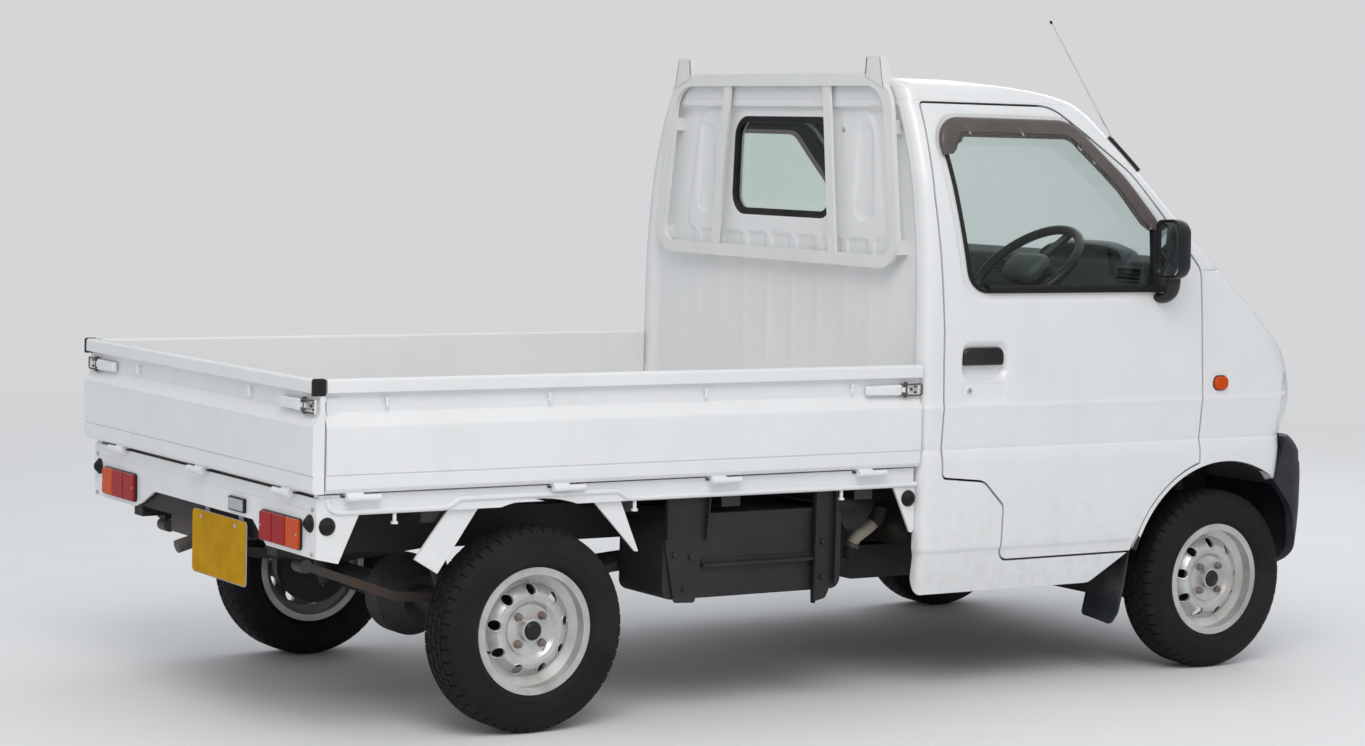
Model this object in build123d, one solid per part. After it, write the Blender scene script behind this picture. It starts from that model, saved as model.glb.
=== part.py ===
from build123d import *
import math
import os

# Small drop-side pickup truck. Millimetres. +X forward, +Y to the left, +Z up,
# origin on the ground under the centre of the vehicle.

# Clearances
FIT = 0.3
SEAM = 10.0
MOVE_GAP = 6.0

# Wheels and axles
WHEELBASE = 2350.0
FRONT_AXLE_X = 1317.0
REAR_AXLE_X = FRONT_AXLE_X - WHEELBASE
TYRE_RADIUS = 266.0
TYRE_WIDTH = 143.0
TREAD_WIDTH = 112.0
TYRE_FACETS = 48
RIM_BEAD_RADIUS = 152.0
RIM_FLANGE_RADIUS = 166.0
RIM_WELL_RADIUS = 128.0
RIM_HALF_WIDTH = 57.0
RIM_WALL = 5.0
VENT_COUNT = 9
VENT_RADIUS = 14.0
VENT_CIRCLE = 106.0
HUB_RADIUS = 31.0
AXLE_Z = TYRE_RADIUS
ARCH_RADIUS = 358.0

# Cab: horizontal sections from the sill up to the roof
REAR_WALL_X = 180.0
REAR_CORNER_RADIUS = 26.0
CAB_WALL = 40.0
FLOOR_TOP_Z = 420.0
SILL_Z = 285.0
ROOF_TOP_Z = 1722.0
ROOF_SEAM_Z = ROOF_TOP_Z - 59.0
CEILING_Z = ROOF_TOP_Z - 32.0
HOOD_SEAM_Z = 1188.0
NOSE_LOW_Z = 690.0
BODY_HALF_WIDTH = 737.5
TRACK_HALF = BODY_HALF_WIDTH - 92.5


def glazing_z(share):
    """Height between the seam under the windscreen and the roof's seam."""
    return HOOD_SEAM_Z + share * (ROOF_SEAM_Z - HOOD_SEAM_Z)


CAB_SECTIONS = [
    # z, tuck in from the half width, front corner x, corner radius, bow of the front
    (SILL_Z, 22.0, 1560.0, 100.0, 30.0),
    (430.0, 2.0, 1575.0, 100.0, 35.0),
    (NOSE_LOW_Z, 1.0, 1583.0, 100.0, 42.0),
    (815.0, 0.0, 1614.0, 100.0, 40.0),
    (926.0, 2.0, 1588.0, 100.0, 42.0),
    (1040.0, 3.0, 1489.0, 100.0, 50.0),
    (HOOD_SEAM_Z, 8.0, 1315.0, 95.0, 62.0),
    (glazing_z(0.4463), 34.0, 1092.0, 90.0, 80.0),
    (glazing_z(0.8042), 82.0, 925.0, 85.0, 85.0),
    (ROOF_SEAM_Z, 122.0, 822.0, 80.0, 85.0),
    (ROOF_TOP_Z - 30.0, 135.0, 715.0, 80.0, 85.0),
    (ROOF_TOP_Z - 13.0, 152.0, 580.0, 80.0, 80.0),
    (ROOF_TOP_Z, 190.0, 410.0, 80.0, 60.0),
]

# Doors
DOOR_HINGE_X = 1184.0
DOOR_HINGE_Y = -BODY_HALF_WIDTH + 13.5
DOOR_LOW_Z = 376.0
DOOR_TOP_Z = ROOF_SEAM_Z - 11.0
DOOR_REAR_X = 223.0
DOOR_FRONT_X = 1205.0
DOOR_ARCH_RADIUS = ARCH_RADIUS + 20.0
WINDOW_SILL_Z = 1131.0
WINDOW_TOP_Z = DOOR_TOP_Z - 50.0
GLASS = 5.0

# Load bed
BED_FLOOR_Z = 660.0
BED_FLOOR_PLATE = 10.0
BED_REAR_X = -1658.0
BED_FRONT_X = 150.0
GATE_LOW_Z = 650.0
GATE_TOP_Z = 932.0
GATE_OUTER_Y = BODY_HALF_WIDTH - 2.5
GATE_INNER_Y = GATE_OUTER_Y - 32.0
GATE_RAIL_Z = 897.0
GATE_FRONT_X = 172.0
TAILGATE_OUTER_X = -1690.0
TAILGATE_INNER_X = -1658.0
GATE_HINGE_Z = 637.0
GATE_HINGE_INSET = 7.0
HINGE_RADIUS = 9.0
HINGE_LENGTH = 47.0
RAIL_OUTER_Y = GATE_OUTER_Y - 24.0
RAIL_LOW_Z = 593.0
REAR_PANEL_X = -1665.0

# Chassis
FRAME_RAIL_Y = 430.0
FRAME_RAIL_WIDTH = 56.0


def block(x, y, z):
    """Box from three low and high pairs."""
    size = [high - low for low, high in (x, y, z)]
    centre = [(high + low) / 2 for low, high in (x, y, z)]
    return Pos(*centre) * Box(*size)


def side_prism(points, low_y, high_y, radii=None):
    """Outline of x, z points, extruded across the vehicle."""
    return extrude(outline([(x, low_y, z) for x, z in points], radii), amount=high_y - low_y, dir=(0, 1, 0))


def cross_prism(points, low_x, high_x, radii=None):
    """Outline of y, z points, extruded along the vehicle."""
    return extrude(outline([(low_x, y, z) for y, z in points], radii), amount=high_x - low_x, dir=(1, 0, 0))


def plan_prism(points, low_z, high_z, radii=None):
    """Outline of x, y points, extruded upwards."""
    return extrude(outline([(x, y, low_z) for x, y in points], radii), amount=high_z - low_z, dir=(0, 0, 1))


def outline(points, radii=None):
    """Closed flat face through the points, with arcs of the given radii in its corners."""
    corners = [Vector(*point) for point in points]
    count = len(corners)
    radii = radii or [0.0] * count
    if not isinstance(radii, (list, tuple)):
        radii = [radii] * count
    edges = []
    ends = []
    for index, corner in enumerate(corners):
        before = (corners[index - 1] - corner).normalized()
        after = (corners[(index + 1) % count] - corner).normalized()
        radius = radii[index]
        if radius <= 0:
            ends.append((corner, corner))
            continue
        half = math.radians(before.get_angle(after)) / 2
        reach = radius / math.tan(half)
        start = corner + before * reach
        finish = corner + after * reach
        bisector = (before + after).normalized()
        middle = corner + bisector * (radius / math.sin(half) - radius)
        ends.append((start, finish))
        edges.append(ThreePointArc(start, middle, finish))
    for index in range(count):
        start = ends[index][1]
        finish = ends[(index + 1) % count][0]
        if (finish - start).length > 1e-4:
            edges.append(Line(start, finish))
    return Face(Wire(edges))


def rod(start, finish, radius):
    """Round bar between two points."""
    axis = Vector(*finish) - Vector(*start)
    plane = Plane(origin=start, z_dir=axis)
    return plane * Cylinder(radius, axis.length, align=(Align.CENTER, Align.CENTER, Align.MIN))


def ring_y(profile, x, y, z):
    """Radius and offset points turned round an axis that runs across the vehicle."""
    face = make_face(Polyline(*[(radius, offset, 0) for radius, offset in profile], close=True))
    turned = revolve(face, axis=Axis.Y, revolution_arc=360)
    return Pos(x, y, z) * turned


def across(shape):
    """The same piece on the other side of the vehicle."""
    return mirror(shape, about=Plane.XZ)


def save(name, *shapes):
    """Write every solid of a piece to its own file."""
    solids = [solid for shape in shapes for solid in shape.solids()]
    piece = solids[0] if len(solids) == 1 else Compound(children=solids)
    export_step(piece, f"parts/{name}.step")


def cab_section(z, inset=0.0):
    """Half width, front corner x, corner radius and bow of the cab at a height."""
    for lower, upper in zip(CAB_SECTIONS, CAB_SECTIONS[1:]):
        if z <= upper[0]:
            break
    share = (z - lower[0]) / (upper[0] - lower[0])
    tuck, corner, radius, bow = [a + (b - a) * share for a, b in zip(lower[1:], upper[1:])]
    return BODY_HALF_WIDTH - tuck - inset, corner - inset, max(radius - inset, 15.0), bow


def cab_outline(z, inset=0.0):
    """Plan outline of the cab at a height, as a wire."""
    half, front, radius, bow = cab_section(z, inset)
    return plan_wire(z, half, REAR_WALL_X + inset, max(REAR_CORNER_RADIUS - inset, 6.0), front, radius, bow)


def plan_wire(z, half, rear, turn, front, radius, bow):
    """Plan outline with four rounded corners and a bowed front."""
    slant = math.sqrt(0.5)
    rear_mid = turn * (1 - slant)
    front_mid = radius * (1 - slant)
    right = [(rear, -(half - turn)), (rear + rear_mid, -(half - rear_mid)), (rear + turn, -half)]
    nose = [(front - radius, -half), (front - front_mid, -(half - front_mid)), (front, -(half - radius))]
    edges = [
        ThreePointArc(*[(x, y, z) for x, y in right]),
        Line((rear + turn, -half, z), (front - radius, -half, z)),
        ThreePointArc(*[(x, y, z) for x, y in nose]),
        ThreePointArc((front, -(half - radius), z), (front + bow, 0, z), (front, half - radius, z)),
        ThreePointArc(*[(x, -y, z) for x, y in reversed(nose)]),
        Line((front - radius, half, z), (rear + turn, half, z)),
        ThreePointArc(*[(x, -y, z) for x, y in reversed(right)]),
        Line((rear, half - turn, z), (rear, -(half - turn), z)),
    ]
    return Wire(edges)


def cab_form(inset, low, high):
    """Solid of the cab's outer form, shrunk sideways by an inset, between two heights."""
    heights = [low] + [row[0] for row in CAB_SECTIONS if low < row[0] < high] + [high]
    return Part(Solid.make_loft([cab_outline(z, inset) for z in heights], ruled=True).wrapped)


def cab_core(inset, low, high):
    """Straight form as wide as the cab less an inset, long enough to cut it from end to end."""
    heights = [low] + [row[0] for row in CAB_SECTIONS if low < row[0] < high] + [high]
    right = [(-cab_section(z, inset)[0], z) for z in heights]
    left = [(-y, z) for y, z in reversed(right)]
    return cross_prism(right + left, -200.0, 2000.0)


# Wheels

def facet_ring(radius, offset):
    """Corners of a level polygon round a wheel's axis, with its flats at the radius."""
    reach = radius / math.cos(math.pi / TYRE_FACETS)
    turns = [math.radians(-90 + (index + 0.5) * 360 / TYRE_FACETS) for index in range(TYRE_FACETS)]
    return [Vector(reach * math.cos(turn), offset, reach * math.sin(turn)) for turn in turns]


def tyre(x, y):
    """Plain tyre with a rounded shoulder, in flat facets to keep it light."""
    half = TYRE_WIDTH / 2
    tread = TREAD_WIDTH / 2
    seat = RIM_BEAD_RADIUS + FIT
    bead = RIM_HALF_WIDTH - RIM_WALL - 1.0 - FIT
    lip = RIM_FLANGE_RADIUS + 1.0
    right = [
        (seat, -bead), (lip, -bead - 0.7), (lip + 2, -half + 11), (205.0, -half), (235.0, -half + 3),
        (TYRE_RADIUS - 7, -tread), (TYRE_RADIUS, -tread + 16),
    ]
    profile = right + [(r, -offset) for r, offset in reversed(right)]
    rings = [facet_ring(radius, offset) for radius, offset in profile]
    faces = []
    for ring, after in zip(rings, rings[1:] + rings[:1]):
        for index in range(TYRE_FACETS):
            other = (index + 1) % TYRE_FACETS
            faces.append(Face(Wire.make_polygon([ring[index], ring[other], after[other], after[index]])))
    return Pos(x, y, AXLE_Z) * Part(Solid(Shell(faces)).wrapped)


def rim(x, y, outward):
    """Pressed steel wheel: barrel, dished disc with vent holes, hub and cap."""
    edge = RIM_HALF_WIDTH
    wall = RIM_WALL
    bead = RIM_BEAD_RADIUS
    well = RIM_WELL_RADIUS
    flange = RIM_FLANGE_RADIUS
    inner_bead = edge - wall
    barrel = [
        (flange, -edge), (flange, -inner_bead), (bead, -inner_bead + 1), (bead, -30.0), (well, -18.0),
        (well, 12.0), (bead, 24.0), (bead, inner_bead - 1), (flange, inner_bead), (flange, edge),
        (bead - wall, edge), (bead - wall, 26.0), (well - wall, 14.0), (well - wall, -20.0),
        (bead - wall, -32.0), (bead - wall, -edge),
    ]
    disc = [
        (well - 1, 2.0), (well - 1, 9.0), (118.0, 20.0), (100.0, 38.0), (88.0, 42.0), (76.0, 38.0),
        (66.0, 30.0), (HUB_RADIUS, 30.0), (HUB_RADIUS - 2, 44.0), (12.0, 48.0), (0.0, 48.0), (0.0, -24.0),
        (48.0, -24.0), (48.0, 22.0), (66.0, 23.0), (78.0, 31.0), (88.0, 35.0), (97.0, 31.0), (113.0, 14.0),
    ]
    side = 1 if outward > 0 else -1
    solid = ring_y([(r, o * side) for r, o in barrel], x, y, AXLE_Z)
    solid += ring_y([(r, o * side) for r, o in disc], x, y, AXLE_Z)
    for index in range(VENT_COUNT):
        turn = math.radians(90 + index * 360 / VENT_COUNT)
        hole_x = x + VENT_CIRCLE * math.cos(turn)
        hole_z = AXLE_Z + VENT_CIRCLE * math.sin(turn)
        solid -= rod((hole_x, y + 5 * side, hole_z), (hole_x, y + 60 * side, hole_z), VENT_RADIUS)
    return solid


WHEELS = [
    # name, axle x, side
    ("front_left", FRONT_AXLE_X, 1),
    ("front_right", FRONT_AXLE_X, -1),
    ("rear_left", REAR_AXLE_X, 1),
    ("rear_right", REAR_AXLE_X, -1),
]

os.makedirs("parts", exist_ok=True)

for name, axle_x, side in WHEELS:
    save(f"tyre_{name}", tyre(axle_x, side * TRACK_HALF))
    save(f"rim_{name}", rim(axle_x, side * TRACK_HALF, side))


# Cab shell, cut into the panels that meet on the real cab

SHELL = cab_form(0.0, SILL_Z, ROOF_TOP_Z) - cab_form(CAB_WALL, SILL_Z, CEILING_Z)
CREASE_Z = (687.0, 695.0)
CREASE_DEPTH = 4.0
crease = cab_form(-1.0, *CREASE_Z) - cab_form(CREASE_DEPTH, CREASE_Z[0] - 1, CREASE_Z[1] + 1)
SHELL -= crease & block((200, 1530), (-900, 900), CREASE_Z)
ARCH_LINER = 10.0
ARCH_CUT = rod((FRONT_AXLE_X, -900, AXLE_Z), (FRONT_AXLE_X, 900, AXLE_Z), ARCH_RADIUS + ARCH_LINER + FIT)


def grown(points, amount):
    """Polygon with each edge moved outwards."""
    count = len(points)
    area = sum(points[i - 1][0] * points[i][1] - points[i][0] * points[i - 1][1] for i in range(count))
    turn = 1 if area > 0 else -1
    lines = []
    for (x0, y0), (x1, y1) in zip(points, points[1:] + points[:1]):
        length = math.hypot(x1 - x0, y1 - y0)
        nx, ny = turn * (y1 - y0) / length, -turn * (x1 - x0) / length
        lines.append((nx, ny, nx * x0 + ny * y0 + amount))
    result = []
    for (ax, ay, a), (bx, by, b) in zip(lines[-1:] + lines[:-1], lines):
        det = ax * by - ay * bx
        result.append(((a * by - b * ay) / det, (ax * b - bx * a) / det))
    return result


DOOR_OUTLINE = [
    (254.0, 618.0), (401.0, 604.0), (476.0, 530.0), (472.0, DOOR_LOW_Z), (DOOR_FRONT_X, DOOR_LOW_Z),
    (DOOR_FRONT_X, 862.0), (1188.0, HOOD_SEAM_Z + 3.0), (940.0, glazing_z(0.5874)),
    (690.0, DOOR_TOP_Z), (DOOR_REAR_X, DOOR_TOP_Z), (DOOR_REAR_X, glazing_z(0.4463)), (248.0, 1030.0),
]
DOOR_RADII = [12.0, 45.0, 30.0, 25.0, 0.0, 0.0, 60.0, 300.0, 140.0, 10.0, 0.0, 0.0]
WINDOW_OUTLINE = [
    (335.0, WINDOW_SILL_Z), (1068.0, WINDOW_SILL_Z), (1068.0, glazing_z(0.1558)), (905.0, glazing_z(0.5411)),
    (735.0, WINDOW_TOP_Z), (262.0, WINDOW_TOP_Z), (285.0, glazing_z(0.5516)),
]
WINDOW_RADII = [70.0, 15.0, 30.0, 200.0, 120.0, 60.0, 0.0]


def door_solid(grow, low_y, inner, outer_cut):
    """Prism of the door's outline on the right side, less the wheel arch."""
    points = grown(DOOR_OUTLINE, grow) if grow else DOOR_OUTLINE
    radii = [max(r + (grow if i not in (1, 2) else -grow), 0) if r else 0 for i, r in enumerate(DOOR_RADII)]
    arch = rod((FRONT_AXLE_X, low_y - 5, AXLE_Z), (FRONT_AXLE_X, inner + 5, AXLE_Z), outer_cut)
    return side_prism(points, low_y, inner, radii) - arch


# Right side first, then mirrored
RIGHT_BAND = SHELL - cab_core(CAB_WALL, SILL_Z, ROOF_TOP_Z)
RIGHT_BAND = RIGHT_BAND & block((0, 2000), (-900, -300), (SILL_Z, ROOF_SEAM_Z))
DOOR_OPENING = door_solid(SEAM, -900.0, -300.0, ARCH_RADIUS + ARCH_LINER)
door_skin = RIGHT_BAND & door_solid(0.0, -900.0, -300.0, DOOR_ARCH_RADIUS)
window_cut = side_prism(WINDOW_OUTLINE, -900.0, -300.0, WINDOW_RADII)

GLASS_BAND = cab_form(14.0, WINDOW_SILL_Z - 10, WINDOW_TOP_Z + 10) - cab_form(14.0 + GLASS, WINDOW_SILL_Z - 11, WINDOW_TOP_Z + 11)
door_glass = GLASS_BAND & side_prism(grown(WINDOW_OUTLINE, -FIT), -900.0, -300.0, [max(r - FIT, 0) for r in WINDOW_RADII])

frame_band = RIGHT_BAND - DOOR_OPENING - ARCH_CUT
side_frame = frame_band & block((100, DOOR_FRONT_X - 20), (-900, -300), (SILL_Z, 640))
side_frame += frame_band & block((100, 500), (-900, -300), (600, ROOF_SEAM_Z))
pillar_band = SHELL - cab_core(75.0, SILL_Z, ROOF_TOP_Z)
pillar_zone = block((500, 1600), (-900, -300), (HOOD_SEAM_Z, ROOF_SEAM_Z))
side_frame_front = (pillar_band & pillar_zone) - DOOR_OPENING
REAR_FLARE = [(REAR_WALL_X + 1, 455.0), (134.0, 425.0), (134.0, 405.0), (231.0, SILL_Z), (240.0, SILL_Z), (240.0, 455.0)]
side_frame += side_prism(REAR_FLARE, -BODY_HALF_WIDTH + 2.5, -BODY_HALF_WIDTH + CAB_WALL)
side_frame -= side_prism([(100, 404.0), (134.0, 404.0), (231.0, SILL_Z - 1), (100, SILL_Z - 1)], -900, -300)
SILL_FRONT = [(819.0, SILL_Z - 1), (960.0, 376.0), (1300.0, 376.0), (1300.0, SILL_Z - 1)]
side_frame -= side_prism(SILL_FRONT, -900, -300)

save("side_frame_right", side_frame, side_frame_front)
save("side_frame_left", across(side_frame), across(side_frame_front))

# Door hinges: an arm on the front panel reaches into a pocket of the door
DOOR_HINGE_Z = [720.0, 965.0]
DOOR_HINGE_RADIUS = 7.0
ARM_HALF = 12.0
POCKET_HALF = 20.0


def door_hinge_arm(z):
    """Hinge arm of the right door, with its pad on the front panel."""
    level = (z - ARM_HALF, z + ARM_HALF)
    arm = rod((DOOR_HINGE_X, DOOR_HINGE_Y, level[0]), (DOOR_HINGE_X, DOOR_HINGE_Y, level[1]), DOOR_HINGE_RADIUS)
    arm += block((DOOR_HINGE_X - 6, DOOR_HINGE_X + 6), (DOOR_HINGE_Y, DOOR_HINGE_Y + 38), level)
    arm += block((DOOR_HINGE_X - 6, DOOR_FRONT_X + 35), (DOOR_HINGE_Y + 31, DOOR_HINGE_Y + 38), level)
    return arm + block((DOOR_FRONT_X + 11, DOOR_FRONT_X + 35), (DOOR_HINGE_Y + 24, DOOR_HINGE_Y + 38), level)


def door_hinge_pocket(z):
    """Pocket in the right door round its hinge arm, less the two bosses that hold the pin."""
    pocket = block((DOOR_HINGE_X - 12, DOOR_FRONT_X + 1), (DOOR_HINGE_Y - 8, DOOR_HINGE_Y + 40),
                   (z - POCKET_HALF, z + POCKET_HALF))
    for sign in (-1, 1):
        boss_z = (z + sign * (ARM_HALF + FIT), z + sign * (POCKET_HALF + 1))
        pocket -= rod((DOOR_HINGE_X, DOOR_HINGE_Y, boss_z[0]), (DOOR_HINGE_X, DOOR_HINGE_Y, boss_z[1]), DOOR_HINGE_RADIUS)
    return pocket


HANDLE_DISH = [(308.0, 883.0), (474.0, 883.0), (474.0, 993.0), (308.0, 993.0)]
DISH_DEPTH = 14.0
HANDLE_FLAP = [(313.0, 927.0), (456.0, 927.0), (456.0, 977.0), (313.0, 977.0)]
dish_y = -BODY_HALF_WIDTH + DISH_DEPTH
door = door_skin - window_cut
door -= side_prism(HANDLE_DISH, -900.0, dish_y, 32.0)
door += side_prism(HANDLE_FLAP, dish_y - 11.0, dish_y - 4.0, 10.0)
door += block((330.0, 440.0), (dish_y - 5.0, dish_y + 1.0), (962.0, 974.0))
for hinge_z in DOOR_HINGE_Z:
    door -= door_hinge_pocket(hinge_z)
save("door_right", door)
save("door_left", across(door))
save("door_glass_right", door_glass)
save("door_glass_left", across(door_glass))


# Roof, back panel and front panel

FRONT_GLASS_EDGE = 75.0
WINDSCREEN_LOW_Z = 1122.0
WINDSCREEN_TOP_Z = ROOF_SEAM_Z - 23.0
REAR_WINDOW_HALF = 250.0
REAR_WINDOW_LOW_Z = glazing_z(0.2989)
REAR_WINDOW_TOP_Z = glazing_z(0.8674)
REAR_WINDOW_RADIUS = 55.0
PRESSING = 6.0
PANEL_SET = 20.0
PANEL_X = REAR_WALL_X + PANEL_SET
PANEL_FLANGE = 12.0

glass_zone = cab_core(FRONT_GLASS_EDGE, SILL_Z, ROOF_TOP_Z) & block(
    (600, 1800), (-900, 900), (WINDSCREEN_LOW_Z, WINDSCREEN_TOP_Z))
roof = SHELL & block((0, 2000), (-900, 900), (ROOF_SEAM_Z, ROOF_TOP_Z + 1))
header = SHELL & cab_core(FRONT_GLASS_EDGE, SILL_Z, ROOF_TOP_Z)
roof += header & block((600, 1800), (-900, 900), (WINDSCREEN_TOP_Z, ROOF_SEAM_Z))
save("roof", roof)

windscreen = cab_form(3.0, WINDSCREEN_LOW_Z, WINDSCREEN_TOP_Z) - cab_form(
    3.0 + GLASS, WINDSCREEN_LOW_Z - 1, WINDSCREEN_TOP_Z + 1)
save("windscreen", windscreen & glass_zone)


def rear_window_outline(amount):
    """Rounded outline of the rear window, moved outwards by an amount."""
    half = REAR_WINDOW_HALF + amount
    low = REAR_WINDOW_LOW_Z - amount
    top = REAR_WINDOW_TOP_Z + amount
    return [(-half, low), (half, low), (half - 12, top), (-half + 12, top)]


def rear_window_prism(amount, low_x, high_x):
    """Prism of the rear window's outline."""
    return cross_prism(rear_window_outline(amount), low_x, high_x, REAR_WINDOW_RADIUS + amount)


back_panel = SHELL & cab_core(CAB_WALL, SILL_Z, ROOF_TOP_Z)
back_panel = back_panel & block((100, 400), (-900, 900), (FLOOR_TOP_Z, ROOF_SEAM_Z))
recess = cab_core(CAB_WALL + PANEL_FLANGE, GATE_LOW_Z - 10.0, ROOF_SEAM_Z - 18.0)
back_panel -= recess & block((100, PANEL_X), (-900, 900), (GATE_LOW_Z - 10.0, ROOF_SEAM_Z - 18.0))
FIELD_LOW_Z = 1262.0
FIELD_LOW_HALF = BODY_HALF_WIDTH - 227.5
BACK_FIELD = [(-FIELD_LOW_HALF, FIELD_LOW_Z), (FIELD_LOW_HALF, FIELD_LOW_Z),
              (FIELD_LOW_HALF - 70.0, ROOF_SEAM_Z - 20.0), (70.0 - FIELD_LOW_HALF, ROOF_SEAM_Z - 20.0)]
field_x = PANEL_X - PRESSING
back_panel += cross_prism(BACK_FIELD, field_x, PANEL_X + 1, [40.0, 40.0, 90.0, 90.0])
for side in (-1, 1):
    dimple_y = side * (FIELD_LOW_HALF - 105.0)
    dimple = [(dimple_y - 48, 1322), (dimple_y + 48, 1322), (dimple_y + 40, REAR_WINDOW_TOP_Z - 5),
              (dimple_y - 40, REAR_WINDOW_TOP_Z - 5)]
    back_panel -= cross_prism(dimple, field_x - 1, field_x + 4, 34.0)
RIB_PITCH = 127.0
RIB_HALF = 17.0
for index in range(-4, 4):
    rib_y = (index + 0.5) * RIB_PITCH
    rib_low_z = 1087.0 if abs(rib_y) < 3 * RIB_PITCH else 1215.0
    back_panel += block((field_x, PANEL_X + 1), (rib_y - RIB_HALF, rib_y + RIB_HALF), (rib_low_z, FIELD_LOW_Z + 1))
back_panel -= rear_window_prism(0.0, 100, 300)
save("back_panel", back_panel)
save("rear_window", rear_window_prism(-FIT, PANEL_X + 4, PANEL_X + 4 + GLASS))

LAMP_Y = (BODY_HALF_WIDTH - 312.5, BODY_HALF_WIDTH + 7.5)
LAMP_Z = (702.0, 893.0)
LAMP_X = 1582.0
front_panel = SHELL & block((DOOR_FRONT_X - 60, 1800), (-900, 900), (560, HOOD_SEAM_Z))
front_panel -= DOOR_OPENING
front_panel -= across(DOOR_OPENING)
front_panel -= ARCH_CUT
front_panel -= side_prism([(1512, 559), (1557, NOSE_LOW_Z), (1800, NOSE_LOW_Z), (1800, 559)], -900, 900)
front_panel -= glass_zone
lamp_box = block((LAMP_X, 1800), LAMP_Y, LAMP_Z)
front_panel = front_panel - lamp_box - across(lamp_box)
for hinge_z in DOOR_HINGE_Z:
    front_panel += door_hinge_arm(hinge_z)
    front_panel += across(door_hinge_arm(hinge_z))
save("front_panel", front_panel)
lamp_band = cab_form(1.0, LAMP_Z[0] - 2, LAMP_Z[1] + 2) - cab_form(CAB_WALL, LAMP_Z[0] - 3, LAMP_Z[1] + 3)
headlamp = lamp_band & block((LAMP_X, 1800), LAMP_Y, LAMP_Z)
save("headlamps", headlamp, across(headlamp))

HOUSE_INNER_Y = TRACK_HALF - 245.0
BUMPER_WALL = 30.0
BUMPER_SECTIONS = [
    # z, tuck in from the half width, front corner x, bow
    (SILL_Z, 19.5, 1626.0, 26.0),
    (305.0, 10.5, 1640.0, 26.0),
    (355.0, 2.5, 1667.0, 24.0),
    (490.0, 0.0, 1676.0, 21.5),
    (551.0, 0.0, 1676.0, 21.5),
    (634.0, 0.0, 1668.0, 24.0),
    (676.0, 3.5, 1642.0, 30.0),
    (NOSE_LOW_Z, 7.5, 1626.0, 32.0),
]


BUMPER_ARCH = [(1512, 560), (1590, 470), (1630, 340), (1630, 200), (1300, 200), (1300, 560)]


def bumper_form(inset, trim):
    """Solid of the bumper's form, shrunk by an inset, with its top lowered by a trim."""
    wires = []
    for z, tuck, front, bow in BUMPER_SECTIONS:
        half = BODY_HALF_WIDTH - tuck
        level = min(z, NOSE_LOW_Z - trim) - (1.0 if inset and z == SILL_Z else 0.0)
        if wires and level <= wires[-1][0]:
            continue
        wires.append((level, plan_wire(level, half - inset, 1300.0, 10.0, front - inset, 100.0 - inset, bow)))
    return Part(Solid.make_loft([wire for level, wire in wires], ruled=True).wrapped)


bumper = bumper_form(0.0, 0.0) - bumper_form(BUMPER_WALL, 22.0)
bumper -= cab_form(CAB_WALL, 620.0, NOSE_LOW_Z + 5)
bumper &= side_prism([(1512, 559), (1557, NOSE_LOW_Z), (1800, NOSE_LOW_Z), (1800, 200), (1512, 200)], -900, 900)
for low_y, high_y in ((-900, -HOUSE_INNER_Y), (HOUSE_INNER_Y, 900)):
    bumper -= side_prism(BUMPER_ARCH, low_y, high_y, [0, 150, 150, 0, 0, 0])
intake = cross_prism([(-340, 350), (340, 350), (310, 440), (-310, 440)], 1500, 1800, 18.0)
bumper -= intake
bumper += block((1652, 1668), (-345, 345), (390, 400))
save("front_bumper", bumper)

# Floor with the wheel houses, toe board and seat box

HOUSE_WALL = 8.0
FLOOR_PLATE = 12.0
FLOOR_HALF = BODY_HALF_WIDTH - 57.5
STEER_TILT = math.radians(10.0)
STEER_Y = TRACK_HALF - 75.0
SEAT_BOX_TOP_Z = 640.0


def steer_point(z, y_side=1):
    """Point of the steering axis at a height."""
    return (FRONT_AXLE_X, y_side * (STEER_Y - (z - AXLE_Z) * math.tan(STEER_TILT)), z)


TOWER_RADIUS = 66.0
TOWER_WALL = 7.0
TOWER_TOP_Z = 765.0
house = rod((FRONT_AXLE_X, HOUSE_INNER_Y, AXLE_Z), (FRONT_AXLE_X, GATE_OUTER_Y, AXLE_Z), ARCH_RADIUS + ARCH_LINER)
house -= rod((FRONT_AXLE_X, HOUSE_INNER_Y + HOUSE_WALL, AXLE_Z), (FRONT_AXLE_X, 800, AXLE_Z), ARCH_RADIUS)
house += rod(steer_point(600), steer_point(TOWER_TOP_Z), TOWER_RADIUS + TOWER_WALL)
house -= rod(steer_point(500), steer_point(TOWER_TOP_Z - TOWER_WALL), TOWER_RADIUS)
house -= rod((FRONT_AXLE_X, HOUSE_INNER_Y + HOUSE_WALL, AXLE_Z), (FRONT_AXLE_X, 800, AXLE_Z), ARCH_RADIUS)
house &= block((900, 1545), (300, 900), (376, 900))
house -= block((1500, 1600), (BODY_HALF_WIDTH - BUMPER_WALL - 6, 900), (300, 900))
floor = block((REAR_WALL_X + CAB_WALL + 5, 968), (-FLOOR_HALF, FLOOR_HALF), (FLOOR_TOP_Z - FLOOR_PLATE, FLOOR_TOP_Z))
floor += block((960, 1480), (-HOUSE_INNER_Y - 4, HOUSE_INNER_Y + 4), (FLOOR_TOP_Z - FLOOR_PLATE, FLOOR_TOP_Z))
TOE_BOARD = [(1470, FLOOR_TOP_Z - FLOOR_PLATE), (1470, FLOOR_TOP_Z), (1540, 700), (1550, 700), (1482, 410)]
floor += side_prism(TOE_BOARD, -HOUSE_INNER_Y - 4, HOUSE_INNER_Y + 4)
flange = block((REAR_WALL_X + CAB_WALL + 5, 900), (FLOOR_HALF - 8, FLOOR_HALF), (330, FLOOR_TOP_Z - 2))
flange += block((REAR_WALL_X + CAB_WALL + 5, 800), (FLOOR_HALF - 8, FLOOR_HALF + 15), (332, 352))
flange -= SHELL
floor += Part(max(flange.solids(), key=lambda solid: solid.volume).wrapped)
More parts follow.
